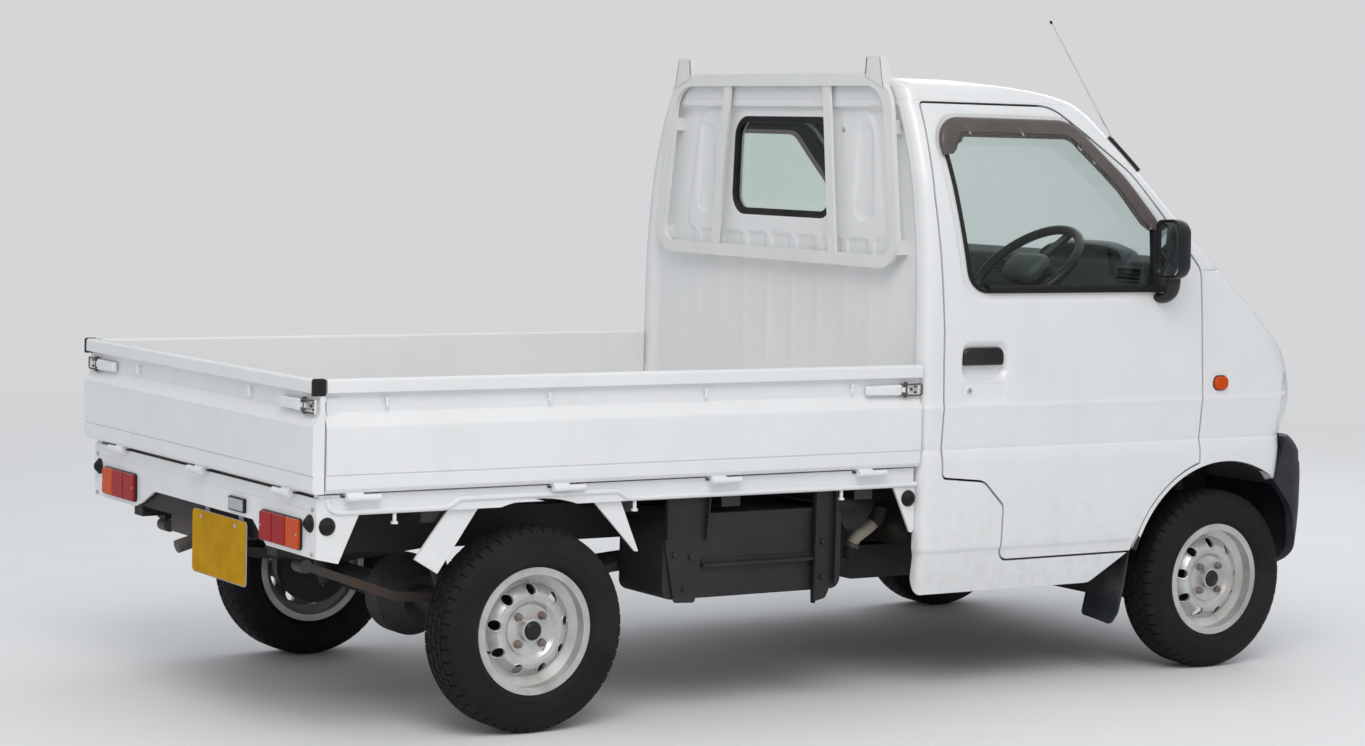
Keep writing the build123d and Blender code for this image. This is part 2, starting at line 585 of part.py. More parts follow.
floor += across(Part(max(flange.solids(), key=lambda solid: solid.volume).wrapped))
floor += house
floor += across(house)
box_half = FLOOR_HALF - 30.0
seat_box = block((300, 790), (-box_half, box_half), (FLOOR_TOP_Z - 1, SEAT_BOX_TOP_Z))
seat_box -= block((310, 780), (10 - box_half, box_half - 10), (FLOOR_TOP_Z - 20, SEAT_BOX_TOP_Z - 10))
floor -= block((320, 770), (-300, 300), (400, 430))
floor += seat_box
save("cab_floor", floor)

# Inside of the cab

COLUMN_TILT = math.radians(40.0)
WHEEL_CENTRE = Vector(865.0, -330.0, 1180.0)
COLUMN_AXIS = Vector(math.sin(COLUMN_TILT), 0, -math.cos(COLUMN_TILT))
DASH_OUTLINE = [
    (1085, 1000), (1060, 1120), (1072, 1205), (1110, 1228), (1160, 1226), (1285, 1160), (1330, 1100),
    (1330, 960), (1150, 930),
]
dash_half = FLOOR_HALF - 40.0
beam_half = BODY_HALF_WIDTH - CAB_WALL - 2.6
dashboard = side_prism(DASH_OUTLINE, -dash_half, dash_half, [20, 30, 25, 20, 20, 20, 20, 20, 10])
dashboard += block((1225, 1255), (-beam_half, beam_half), (907, 946))


def column_point(distance):
    """Point on the steering column's axis, forward and down from the steering wheel's centre."""
    point = WHEEL_CENTRE + COLUMN_AXIS * distance
    return (point.X, point.Y, point.Z)


column = rod(column_point(45), column_point(330), 36)
column += rod(column_point(300), column_point(980), 12)
column += block((1160, 1180), (-352, -308), (830, 940))
column -= floor
column = Part(max(column.solids(), key=lambda solid: solid.volume).wrapped)
dashboard += column
save("dashboard", dashboard)

STEERING_WHEEL_RADIUS = 176.0
wheel_plane = Plane(origin=WHEEL_CENTRE, x_dir=(math.cos(COLUMN_TILT), 0, math.sin(COLUMN_TILT)), z_dir=-COLUMN_AXIS)
steering_wheel = Torus(STEERING_WHEEL_RADIUS, 14)
steering_wheel += Pos(0, 0, -18) * Cylinder(62, 40)
for spoke_turn in (-10, 190, 270):
    steering_wheel += Rot(0, 0, spoke_turn) * Pos(115, 0, -10) * Box(125, 30, 12)
steering_wheel += Pos(0, 0, -38) * Cylinder(26, 13.4)
save("steering_wheel", wheel_plane * steering_wheel)

seat_low_z = SEAT_BOX_TOP_Z + FIT
cushion = side_prism([(350, seat_low_z), (800, seat_low_z), (815, 765), (760, 780), (380, 745)], -600, -80, [10, 15, 25, 25, 10])
backrest = side_prism([(350, 700), (452, 735), (340, 1330), (255, 1345), (240, 1290)], -590, -90, [10, 10, 30, 20, 20])
seat = cushion + backrest
save("seats", seat, across(seat))


# Load bed

CROSS_SILL_X = [-1600.0, -1330.0, -760.0, -420.0, -120.0, 20.0]
CROSS_SILL_LOW_Z = 560.0
SILL_HALF = RAIL_OUTER_Y - 31.0
bed_low = BED_FLOOR_Z - BED_FLOOR_PLATE
bed = block((BED_REAR_X, BED_FRONT_X + 20), (-GATE_INNER_Y + MOVE_GAP, GATE_INNER_Y - MOVE_GAP), (bed_low, BED_FLOOR_Z))
strip_pitch = (GATE_INNER_Y - MOVE_GAP - 81.0) / 7
for step in range(-7, 8):
    bed += block((BED_REAR_X + 30, BED_FRONT_X - 20), (step * strip_pitch - 20, step * strip_pitch + 20), (BED_FLOOR_Z - 1, BED_FLOOR_Z + 4))
for sill_x in CROSS_SILL_X:
    bed += block((sill_x - 30, sill_x + 30), (-SILL_HALF, SILL_HALF), (CROSS_SILL_LOW_Z, bed_low + 1))
save("bed_floor", bed)

SIDE_HINGE_X = [-1546.0, -956.0, -470.0, 12.0]
HINGE_Y = GATE_OUTER_Y - GATE_HINGE_INSET
TAIL_HINGE_Y = [-550.0, -26.0, 514.0]
TAIL_HINGE_X = TAILGATE_OUTER_X + GATE_HINGE_INSET


def leaf(sign, low, high):
    """Hinge knuckle with its leaf on a line along X at y 0, z 0: sign 1 goes with the gate."""
    knuckle = rod((low, 0, 0), (high, 0, 0), HINGE_RADIUS)
    if sign > 0:
        plate = cross_prism([(-22, 13.5), (-22, 5.5), (-4, 5.5), (0, 0), (4, 8), (0, 13.5)], low, high)
    else:
        plate = cross_prism([(-20, -3), (-20, -12), (0, -8), (0, 0)], low, high)
    return knuckle + plate


BUFFER_HEIGHT = 13.0
BUFFER = Cone(20.0, 11.0, BUFFER_HEIGHT, align=(Align.CENTER, Align.CENTER, Align.MIN))

RAIL_POINTS = [(RAIL_OUTER_Y - 26, 644), (RAIL_OUTER_Y, 644), (RAIL_OUTER_Y, RAIL_LOW_Z), (RAIL_OUTER_Y - 12, RAIL_LOW_Z),
               (RAIL_OUTER_Y - 12, 630), (RAIL_OUTER_Y - 26, 630)]
bed_rail = cross_prism(RAIL_POINTS, BED_REAR_X, GATE_FRONT_X - 4)
bed_rail += block((BED_REAR_X, GATE_FRONT_X - 4), (SILL_HALF, RAIL_OUTER_Y - 8), (CROSS_SILL_LOW_Z + 40, 644))
arch_relief = rod((REAR_AXLE_X, 600, AXLE_Z - 20), (REAR_AXLE_X, 800, AXLE_Z - 20), 365)
bed_rail -= arch_relief
for hinge_x in SIDE_HINGE_X:
    bed_rail -= block((hinge_x - 55, hinge_x + 55), (RAIL_OUTER_Y - 30, RAIL_OUTER_Y + 5), (636, 660))
    bed_rail += Pos(hinge_x, HINGE_Y, GATE_HINGE_Z) * leaf(-1, FIT / 2, HINGE_LENGTH)
bed_rail += side_prism([(98, RAIL_LOW_Z + 8), (176, RAIL_LOW_Z + 8), (176, 470), (164, 462)], RAIL_OUTER_Y - 10, RAIL_OUTER_Y - 2, 5.0)
bed_rail += Pos(152, RAIL_OUTER_Y - 3, 560) * Rot(-90, 0, 0) * BUFFER
for peg_x in (-1447.0, -741.0, -74.0):
    bed_rail += rod((peg_x, RAIL_OUTER_Y - 6, RAIL_LOW_Z + 3), (peg_x, RAIL_OUTER_Y - 6, RAIL_LOW_Z - 24), 5)
    bed_rail += rod((peg_x, RAIL_OUTER_Y - 6, RAIL_LOW_Z - 28), (peg_x, RAIL_OUTER_Y - 6, RAIL_LOW_Z - 22), 9)
save("bed_rails", bed_rail, across(bed_rail))

RECESS_Y = GATE_OUTER_Y - 19.0
GATE_PROFILE = [
    (GATE_INNER_Y, GATE_LOW_Z), (GATE_INNER_Y, GATE_TOP_Z), (GATE_OUTER_Y, GATE_TOP_Z), (GATE_OUTER_Y, GATE_RAIL_Z),
    (RECESS_Y, 894), (RECESS_Y, 848), (GATE_OUTER_Y - 1, 814), (GATE_OUTER_Y, 806), (GATE_OUTER_Y, 697), (GATE_OUTER_Y - 4, 694),
    (GATE_OUTER_Y - 1, 691), (GATE_OUTER_Y - 1, 660), (GATE_OUTER_Y - 8, GATE_LOW_Z),
]
GATE_RADII = [0, 8, 8, 3, 0, 8, 6, 4, 0, 0, 0, 8, 0]


def gate(length_low, length_high):
    """Drop side along X with its outer face towards +Y."""
    return cross_prism(GATE_PROFILE, length_low, length_high, GATE_RADII)


HOOK_Z = (860.0, 884.0)
LATCH_Z = 864.0


def rope_hook(x):
    """Bent rod in the recess under a gate's top rail."""
    hook = rod((x, RECESS_Y + 11, HOOK_Z[0]), (x, RECESS_Y + 11, HOOK_Z[1]), 4)
    for end_z in (HOOK_Z[0] + 5, HOOK_Z[1] - 5):
        hook += rod((x, RECESS_Y - 4, end_z), (x, RECESS_Y + 13, end_z), 3)
    return hook


def latch(x, reach):
    """Flat lever on its pivot in the recess of a gate, with a wire bail that points along the gate."""
    turn = 1 if reach > 0 else -1
    face = (RECESS_Y + 7, RECESS_Y + 12)
    lever = block(sorted((x - turn * 130, x - turn * 18)), face, (LATCH_Z - 11, LATCH_Z + 11))
    lever += block(sorted((x - turn * 20, x + turn * 10)), face, (LATCH_Z - 6, LATCH_Z + 6))
    lever += rod((x, RECESS_Y - 3, LATCH_Z), (x, RECESS_Y + 14, LATCH_Z), 9)
    for level in (LATCH_Z - 14, LATCH_Z + 14):
        lever += rod((x, RECESS_Y + 9, level), (x + reach, RECESS_Y + 9, level), 3)
    for end in (x, x + reach):
        lever += rod((end, RECESS_Y + 9, LATCH_Z - 17), (end, RECESS_Y + 9, LATCH_Z + 17), 3)
    return lever


def catch(x, length):
    """Folded catch plate in the recess of a gate, with its lip."""
    plate = block((x, x + length), (RECESS_Y - 1, RECESS_Y + 3), (LATCH_Z - 21, LATCH_Z + 21))
    return plate + block((x, x + 4), (RECESS_Y - 1, RECESS_Y + 13), (LATCH_Z - 12, LATCH_Z + 12))


side_gate = gate(BED_REAR_X + MOVE_GAP, GATE_FRONT_X)
for hook_x in (-1484.0, -1018.0, -540.0, -62.0):
    side_gate += rope_hook(hook_x)
for hinge_x in SIDE_HINGE_X:
    side_gate += Pos(hinge_x, HINGE_Y, GATE_HINGE_Z) * leaf(1, -HINGE_LENGTH, -FIT / 2)
side_gate += latch(120.0, 45.0)
side_gate += catch(BED_REAR_X + MOVE_GAP + 1, 34.0)
save("gate_left", side_gate)
save("gate_right", across(side_gate))

# The tailgate is the same profile turned to face the rear
TURN = Pos(TAILGATE_OUTER_X + GATE_OUTER_Y, 0, 0) * Rot(0, 0, 90)
tailgate = gate(-GATE_OUTER_Y, GATE_OUTER_Y)
for hook_y in (371.0, -348.0):
    tailgate += rope_hook(hook_y)
for hinge_y in TAIL_HINGE_Y:
    tailgate += Pos(hinge_y, HINGE_Y, GATE_HINGE_Z) * leaf(1, -HINGE_LENGTH, -FIT / 2)
for side in (-1, 1):
    tailgate += latch(side * 668.0, side * 57.0)
save("tailgate", TURN * tailgate)

REAR_PANEL_OUTLINE = [
    (-RAIL_OUTER_Y, 636), (-RAIL_OUTER_Y, 487), (-427, 487), (-345, 543), (285, 543), (374, 502), (420, 487),
    (RAIL_OUTER_Y, 487), (RAIL_OUTER_Y, 636),
]
REAR_PANEL_WALL = BED_REAR_X - REAR_PANEL_X
rear_panel = cross_prism(REAR_PANEL_OUTLINE, REAR_PANEL_X, REAR_PANEL_X + REAR_PANEL_WALL)
rear_panel += block((REAR_PANEL_X, BED_REAR_X), (-RAIL_OUTER_Y, RAIL_OUTER_Y), (600, 636))
for hinge_y in TAIL_HINGE_Y:
    rear_panel += TURN * (Pos(hinge_y, HINGE_Y, GATE_HINGE_Z) * leaf(-1, FIT / 2, HINGE_LENGTH))
WING = [(REAR_PANEL_X, 636), (REAR_PANEL_X, 487), (-1604, 473), (-1549, RAIL_LOW_Z), (BED_REAR_X, RAIL_LOW_Z), (BED_REAR_X, 636)]
for side in (-1, 1):
    rear_panel += side_prism(WING, *sorted((side * (RAIL_OUTER_Y - 12), side * RAIL_OUTER_Y)))
for side in (-1, 1):
    rear_panel += Pos(REAR_PANEL_X + 3, side * (RAIL_OUTER_Y - 36), 572) * Rot(0, -90, 0) * BUFFER
    rear_panel += Pos(-1636, side * (RAIL_OUTER_Y - 3), 567) * Rot(-90 * side, 0, 0) * BUFFER
save("rear_panel", rear_panel)

# Lamps and licence plate at the rear

LAMP_DEPTH = 10.0
TAIL_LAMP_Y = (RAIL_OUTER_Y - 307.0, RAIL_OUTER_Y - 76.0)
TAIL_LAMP_Z = (499.0, 578.0)
PLATE_Y = (-318.0, 12.0)
PLATE_Z = (366.0, 531.0)
tail_lamp = cross_prism(
    [(TAIL_LAMP_Y[0], TAIL_LAMP_Z[0]), (TAIL_LAMP_Y[1], TAIL_LAMP_Z[0]), (TAIL_LAMP_Y[1], TAIL_LAMP_Z[1]),
     (TAIL_LAMP_Y[0], TAIL_LAMP_Z[1])], REAR_PANEL_X - LAMP_DEPTH, REAR_PANEL_X, 12.0)
reverse_lamp = block((REAR_PANEL_X - LAMP_DEPTH, REAR_PANEL_X), (-302, -213), (557, 586))
save("tail_lamps", tail_lamp, across(tail_lamp), reverse_lamp)

PLATE_X = REAR_PANEL_X - 8.0
plate = cross_prism(
    [(PLATE_Y[0], PLATE_Z[0]), (PLATE_Y[1], PLATE_Z[0]), (PLATE_Y[1], PLATE_Z[1]), (PLATE_Y[0], PLATE_Z[1])],
    PLATE_X, PLATE_X + 2.0, 10.0)
for bracket_y in (-258.0, -48.0):
    plate += block((PLATE_X + 1, REAR_PANEL_X + REAR_PANEL_WALL + 4), (bracket_y - 12, bracket_y + 12), (505, 525))
    plate += block((REAR_PANEL_X + REAR_PANEL_WALL, REAR_PANEL_X + REAR_PANEL_WALL + 4),
                   (bracket_y - 12, bracket_y + 12), (505, 570))
save("licence_plate", plate)

# Guard frame behind the rear window

GUARD_X = (158.0, 172.0)
GUARD_LOW_Z = 1190.0
GUARD_TOP_Z = ROOF_TOP_Z + 14.0
GUARD_LOW_HALF = BODY_HALF_WIDTH - 112.5
GUARD_TOP_HALF = GUARD_LOW_HALF - 65.0
GUARD_WIDTH = 36.0


def guard_prism(amount, low_x, high_x):
    """Rounded trapezoid of the guard frame, shrunk by an amount."""
    points = [(-GUARD_LOW_HALF + amount, GUARD_LOW_Z + amount), (GUARD_LOW_HALF - amount, GUARD_LOW_Z + amount),
              (GUARD_TOP_HALF - amount, GUARD_TOP_Z - amount), (-GUARD_TOP_HALF + amount, GUARD_TOP_Z - amount)]
    low_turn = 80.0 - amount
    top_turn = 120.0 - amount
    return cross_prism(points, low_x, high_x, [low_turn, low_turn, top_turn, top_turn])


guard = guard_prism(0.0, *GUARD_X) - guard_prism(GUARD_WIDTH, GUARD_X[0] - 1, GUARD_X[1] + 1)
bar_low_z = GUARD_LOW_Z + GUARD_WIDTH + FIT
bar_top_z = GUARD_TOP_Z - GUARD_WIDTH - FIT
guard_bar = cross_prism([(286, bar_low_z), (321, bar_low_z), (271, bar_top_z), (236, bar_top_z)],
                        GUARD_X[0] + 3, GUARD_X[1] - 3)
for side in (-1, 1):
    for tab_z, tab_half in ((GUARD_LOW_Z + 60.0, GUARD_LOW_HALF - 27.0), (GUARD_TOP_Z - 151.0, GUARD_TOP_HALF - 4.0)):
        guard += block((GUARD_X[0] + 5, PANEL_X), sorted((side * (tab_half - 15), side * (tab_half + 15))),
                       (tab_z - 20, tab_z + 20))
    HORN = [(side * 440, GUARD_TOP_Z - 20), (side * 447, GUARD_TOP_Z + 36), (side * 484, GUARD_TOP_Z + 36),
            (side * 500, GUARD_TOP_Z - 20)]
    horn = cross_prism(HORN, GUARD_X[0], GUARD_X[1], [0, 14, 14, 0])
    horn -= cross_prism([(side * 456, GUARD_TOP_Z - 30), (side * 459, GUARD_TOP_Z + 22), (side * 474, GUARD_TOP_Z + 22),
                         (side * 486, GUARD_TOP_Z - 30)], 100, 300)
    guard += horn
save("guard_frame", guard)
save("guard_bars", guard_bar, across(guard_bar))

# Mirrors on the doors

MIRROR_PLAN = [(982, 19.5), (982, 130.5), (1008, 134.5), (1040, 124.5), (1044, 27.5)]
MIRROR_ARM = [(-37.5, 1086), (14.5, 1086), (62.5, 1172), (37.5, 1172), (7.5, 1126), (-37.5, 1126)]
housing = plan_prism([(x, -BODY_HALF_WIDTH - out) for x, out in MIRROR_PLAN], 1170, 1344, 8.0)
mirror_arm = cross_prism([(-BODY_HALF_WIDTH - out, z) for out, z in MIRROR_ARM], 1022, 1050) - door
door_mirror = housing + max(mirror_arm.solids(), key=lambda solid: abs(solid.center().Y))
save("mirror_right", door_mirror)
save("mirror_left", across(door_mirror))

# Chassis

RAIL_INNER = FRAME_RAIL_Y - FRAME_RAIL_WIDTH / 2
RAIL_OUTER = FRAME_RAIL_Y + FRAME_RAIL_WIDTH / 2
CAB_RAIL_Z = (300.0, 395.0)
BED_RAIL_Z = (460.0, CROSS_SILL_LOW_Z)
FRONT_RAIL_Y = HOUSE_INNER_Y - 50.0
FRONT_RAIL_HALF = 28.0
BUMPER_MOUNT_X = 1610.0
SPRING_EYES = [(-500.0, 430.0), (-1566.0, 430.0)]
SPRING_Y = (FRAME_RAIL_Y - 25.0, FRAME_RAIL_Y + 25.0)
EYE_RADIUS = 18.0
rail = side_prism(
    [(-1650, BED_RAIL_Z[0]), (-1650, BED_RAIL_Z[1]), (50, BED_RAIL_Z[1]), (160, CAB_RAIL_Z[1]), (870, CAB_RAIL_Z[1]),
     (870, CAB_RAIL_Z[0]), (125, CAB_RAIL_Z[0]), (15, BED_RAIL_Z[0])], RAIL_INNER, RAIL_OUTER, [0, 0, 60, 60, 0, 0, 60, 60])
rail += plan_prism([(840, RAIL_INNER), (840, RAIL_OUTER), (945, FRONT_RAIL_Y + FRONT_RAIL_HALF),
                    (945, FRONT_RAIL_Y - FRONT_RAIL_HALF)], *CAB_RAIL_Z)
rail += block((935, BUMPER_MOUNT_X), (FRONT_RAIL_Y - FRONT_RAIL_HALF, FRONT_RAIL_Y + FRONT_RAIL_HALF), (300, 395))
for pad_x in (300.0, 560.0, 800.0):
    rail += rod((pad_x, FRAME_RAIL_Y, CAB_RAIL_Z[1] - 1), (pad_x, FRAME_RAIL_Y, FLOOR_TOP_Z - FLOOR_PLATE), 26)
for pad_x in (1100.0, 1420.0):
    rail += rod((pad_x, FRONT_RAIL_Y, 380), (pad_x, FRONT_RAIL_Y, FLOOR_TOP_Z - FLOOR_PLATE), 24)
for eye_x, eye_z in SPRING_EYES:
    rail += block((eye_x - 16, eye_x + 16), SPRING_Y, (eye_z + EYE_RADIUS + FIT, BED_RAIL_Z[0] + 1))
bumper_mount = block((BUMPER_MOUNT_X - 5, 1664), (FRONT_RAIL_Y - 4, FRONT_RAIL_Y + FRONT_RAIL_HALF), (358, 395)) - bumper
rail += max(bumper_mount.solids(), key=lambda solid: solid.volume)
frame = rail + across(rail)
for member_x, low_z, high_z in ((-1630.0, 490, 550), (-480.0, 480, 545), (-10.0, 480, 545), (350.0, 300, 338)):
    frame += block((member_x - 20, member_x + 20), (-RAIL_INNER - 5, RAIL_INNER + 5), (low_z, high_z))
frame += block((1560, BUMPER_MOUNT_X), (20 - FRONT_RAIL_Y, FRONT_RAIL_Y - 20), (310, 385))
ARM_PIVOT_Y = FRONT_RAIL_Y - 70.0
frame += block((1225, 1405), (-ARM_PIVOT_Y, ARM_PIVOT_Y), (165, 262))
frame += block((1235, 1395), (-FRONT_RAIL_Y - 20, FRONT_RAIL_Y + 20), (255, 301))
DIFFERENTIAL_POCKET = ((1245.0, 1385.0), (-100.0, 100.0), (150.0, 310.0))
ENGINE_X = (420.0, 760.0)
PROPELLER_ENDS = ((1262.0, 0.0, AXLE_Z - 6.0), (ENGINE_X[1] - 4.0, 0.0, 312.0))
frame -= block(*DIFFERENTIAL_POCKET)
frame -= rod((FRONT_AXLE_X, -400, AXLE_Z), (FRONT_AXLE_X, 400, AXLE_Z), 20)
frame -= rod(*PROPELLER_ENDS, 26)
save("chassis_frame", frame)

# Front drive: differential in its pocket, half shafts and propeller shaft
differential = rod((FRONT_AXLE_X, -75, AXLE_Z), (FRONT_AXLE_X, 75, AXLE_Z), 58)
differential += block((DIFFERENTIAL_POCKET[0][0] + FIT, DIFFERENTIAL_POCKET[0][1] - FIT), (-25, 25), (208, 222))
differential += rod((FRONT_AXLE_X, 0, AXLE_Z), PROPELLER_ENDS[0], 30)
differential += rod(*PROPELLER_ENDS, 19)
for side in (-1, 1):
    differential += rod((FRONT_AXLE_X, side * 70, AXLE_Z), (FRONT_AXLE_X, side * (STEER_Y - 38), AXLE_Z), 12)
    differential += rod((FRONT_AXLE_X, side * 70, AXLE_Z), (FRONT_AXLE_X, side * 100, AXLE_Z), 34)
    differential += rod((FRONT_AXLE_X, side * (STEER_Y - 70), AXLE_Z), (FRONT_AXLE_X, side * (STEER_Y - 38), AXLE_Z), 28)
differential -= block((ENGINE_X[0], ENGINE_X[1] + FIT), (-60, 60), (250, 400))
save("front_drive", differential)

BALL_Z = 176.0
arm = plan_prism([(FRONT_AXLE_X - 11, STEER_Y + 18), (FRONT_AXLE_X + 11, STEER_Y + 18), (1392, ARM_PIVOT_Y + FIT), (1362, ARM_PIVOT_Y + FIT),
                  (FRONT_AXLE_X, STEER_Y - 100), (1268, ARM_PIVOT_Y + FIT), (1238, ARM_PIVOT_Y + FIT)], BALL_Z - 9, BALL_Z + 6)
arm += rod(steer_point(BALL_Z - 8), steer_point(BALL_Z + 12), 12.5)
save("lower_arms", arm, across(arm))

knuckle = rod(steer_point(BALL_Z + 12 + FIT), steer_point(BALL_Z + 40), 17)
knuckle += side_prism([(1297, 200), (1337, 200), (1343, 266), (1337, 345), (1297, 345), (1291, 266)], STEER_Y - 14, STEER_Y + 20)
knuckle += rod(steer_point(300), steer_point(552), 21)
knuckle += rod(steer_point(552), steer_point(560), 52)
knuckle += rod(steer_point(560), steer_point(735), 42)
knuckle += rod(steer_point(735), steer_point(TOWER_TOP_Z - TOWER_WALL - FIT), 30)
knuckle += rod((FRONT_AXLE_X, STEER_Y, AXLE_Z), (FRONT_AXLE_X, TRACK_HALF - 24 - FIT, AXLE_Z), 44)
knuckle += rod((FRONT_AXLE_X, STEER_Y - 22, AXLE_Z), (FRONT_AXLE_X, STEER_Y, AXLE_Z), 24)
knuckle += rod((FRONT_AXLE_X, STEER_Y + 35, AXLE_Z), (FRONT_AXLE_X, STEER_Y + 42, AXLE_Z), 106)
knuckle += side_prism([(1200, 258), (1300, 250), (1300, 282), (1200, 274)], STEER_Y - 10, STEER_Y + 12)
save("knuckle_left", knuckle)
save("knuckle_right", across(knuckle))

axle = rod((REAR_AXLE_X, 75 - TRACK_HALF, AXLE_Z), (REAR_AXLE_X, TRACK_HALF - 75, AXLE_Z), 36)
axle += ring_y([(0, -95), (60, -95), (112, -35), (112, 35), (60, 95), (0, 95)], REAR_AXLE_X, 0, AXLE_Z)
axle += rod((REAR_AXLE_X, 0, AXLE_Z), (REAR_AXLE_X + 175, 0, AXLE_Z + 14), 52)
for side in (-1, 1):
    axle += rod((REAR_AXLE_X, side * (TRACK_HALF - 79), AXLE_Z), (REAR_AXLE_X, side * (TRACK_HALF - 39), AXLE_Z), 108)
    axle += rod((REAR_AXLE_X, side * (TRACK_HALF - 45), AXLE_Z), (REAR_AXLE_X, side * (TRACK_HALF - 24 - FIT), AXLE_Z), 46)
for side in (-1, 1):
    damper_y = side * (RAIL_INNER - 30)
    axle += block((REAR_AXLE_X - 75, REAR_AXLE_X), sorted((damper_y - side * 12, damper_y + side * 12)), (AXLE_Z - 28, AXLE_Z + 12))
    axle += rod((REAR_AXLE_X - 62, damper_y, AXLE_Z - 12), (REAR_AXLE_X - 112, damper_y, AXLE_Z + 150), 24)
    axle += rod((REAR_AXLE_X - 100, damper_y, AXLE_Z + 110), (REAR_AXLE_X - 138, damper_y, AXLE_Z + 218), 9)
    axle += rod((REAR_AXLE_X - 138, damper_y - side * 10, AXLE_Z + 218),
                (REAR_AXLE_X - 138, side * (RAIL_INNER - FIT), AXLE_Z + 218), 12)
GEARBOX_REAR_X = 60.0
axle += rod((REAR_AXLE_X + 170, 0, AXLE_Z + 14), (GEARBOX_REAR_X - FIT, 0, 350), 30)
axle -= block((GEARBOX_REAR_X - FIT, GEARBOX_REAR_X + 60), (-60, 60), (300, 400))
save("rear_axle", axle)

spring_seat = AXLE_Z + 36
spring = side_prism(
    [(-500, 442), (-760, 350), (-1003, spring_seat + 26), (-1063, spring_seat + 26), (-1306, 350), (-1566, 442),
     (-1566, 420), (-1306, 326), (-1063, spring_seat), (-1003, spring_seat), (-760, 326), (-500, 420)], *SPRING_Y)
for eye_x, eye_z in SPRING_EYES:
    spring += rod((eye_x, SPRING_Y[0], eye_z), (eye_x, SPRING_Y[1], eye_z), EYE_RADIUS)
save("leaf_springs", spring, across(spring))

ENGINE_HALF = 190.0
engine = block(ENGINE_X, (-ENGINE_HALF, ENGINE_HALF), (290, 600))
engine += block((560, 620), (-RAIL_INNER + FIT, RAIL_INNER - FIT), (350, 385))
gearbox = plan_prism([(ENGINE_X[0] + 1, 130), (300, 115), (GEARBOX_REAR_X, 70), (GEARBOX_REAR_X, -70), (300, -115),
                      (ENGINE_X[0] + 1, -130)], 338.0 + FIT, 400)
save("engine", engine + gearbox)

exhaust = block((-1590, -1260), (90, 340), (425, 545))
exhaust_route = [(-1270, 210, 480), (-1000, 210, 430), (-600, 230, 402), (100, 230, 372), (380, 230, 372), (470, 170, 372)]
for start, finish in zip(exhaust_route, exhaust_route[1:]):
    exhaust += rod(start, finish, 19)
    exhaust += Pos(*finish) * Sphere(19)
exhaust += rod((-1585, 105, 455), (-1640, 105, 425), 18) + Pos(-1640, 105, 425) * Sphere(18)
exhaust += rod((-1640, 105, 425), (-1676, 105, 415), 18)
exhaust -= block(ENGINE_X, (-ENGINE_HALF, ENGINE_HALF), (290, 600))
exhaust = Part(max(exhaust.solids(), key=lambda solid: solid.volume).wrapped)
exhaust += block((-1590, -1575), (200, 230), (540, CROSS_SILL_LOW_Z))
save("exhaust", exhaust)

tank = side_prism([(-640, 320), (-60, 320), (-60, 545), (-640, 545)], -GATE_OUTER_Y + 45.0, -RAIL_OUTER - 17.0, 30.0)
for strap_x in (-540.0, -160.0):
    tank += block((strap_x - 20, strap_x + 20), (-480, -RAIL_OUTER), (480, 520))
save("fuel_tank", tank)

# Guards behind and before the wheels

flap = side_prism([(962, 375.7), (970, 375.7), (925, 150), (917, 150)], TRACK_HALF - 85.0, TRACK_HALF + 67.0)
save("mud_flaps", flap, across(flap))
LEG_Y = (RAIL_OUTER_Y - 21.0, RAIL_OUTER_Y - 13.0)
guard_legs = side_prism([(-861, RAIL_LOW_Z), (-780, RAIL_LOW_Z), (-722, 457), (-732, 457)], *LEG_Y)
guard_legs += side_prism([(-1205, RAIL_LOW_Z), (-1290, RAIL_LOW_Z), (-1384, 470), (-1319, 431)], *LEG_Y)
for low_x, high_x in ((-861, -780), (-1290, -1205)):
    guard_legs += block((low_x, high_x), LEG_Y, (RAIL_LOW_Z - 1, 600))
save("mudguards", guard_legs, across(guard_legs))


def pillar_point(z, out):
    """Point on the outer corner of the right windscreen pillar, moved out from its surface."""
    half, front, radius, bow = cab_section(z)
    slant = radius * (1 - math.sqrt(0.5))
    reach = out * math.sqrt(0.5)
    return (front - slant + reach, -(half - slant) - reach, z)


ANTENNA_TIP = (642.0, 97.5 - BODY_HALF_WIDTH, ROOF_TOP_Z + 172.0)
holder = rod(pillar_point(glazing_z(0.602), 4), pillar_point(glazing_z(0.8063), 4), 8) - SHELL
holder = max(holder.solids(), key=lambda solid: solid.volume)
antenna = Part(holder.wrapped) + rod(pillar_point(glazing_z(0.783), 6), ANTENNA_TIP, 2.5) - SHELL
save("antenna", max(antenna.solids(), key=lambda solid: solid.volume))
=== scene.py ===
import math

import bmesh
import bpy
import numpy as np
from mathutils import Matrix, Vector
from mathutils.geometry import delaunay_2d_cdt


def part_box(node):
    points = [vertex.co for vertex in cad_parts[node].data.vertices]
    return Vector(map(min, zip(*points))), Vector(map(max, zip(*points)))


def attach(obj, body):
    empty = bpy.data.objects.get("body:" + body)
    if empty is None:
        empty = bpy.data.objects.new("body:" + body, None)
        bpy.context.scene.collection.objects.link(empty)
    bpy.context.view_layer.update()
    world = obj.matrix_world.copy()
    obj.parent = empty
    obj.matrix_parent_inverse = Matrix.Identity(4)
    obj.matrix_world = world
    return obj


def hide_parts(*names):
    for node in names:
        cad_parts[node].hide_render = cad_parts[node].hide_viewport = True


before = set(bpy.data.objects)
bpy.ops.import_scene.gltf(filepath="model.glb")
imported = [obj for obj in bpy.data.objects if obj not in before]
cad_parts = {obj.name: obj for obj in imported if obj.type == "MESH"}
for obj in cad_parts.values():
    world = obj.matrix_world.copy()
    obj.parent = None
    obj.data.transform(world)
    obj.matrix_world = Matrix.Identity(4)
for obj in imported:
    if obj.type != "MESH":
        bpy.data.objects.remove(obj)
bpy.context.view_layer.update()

# Tables and outlines are in millimetres, as in the part's own frame; meshes are made in metres
MM = 0.001
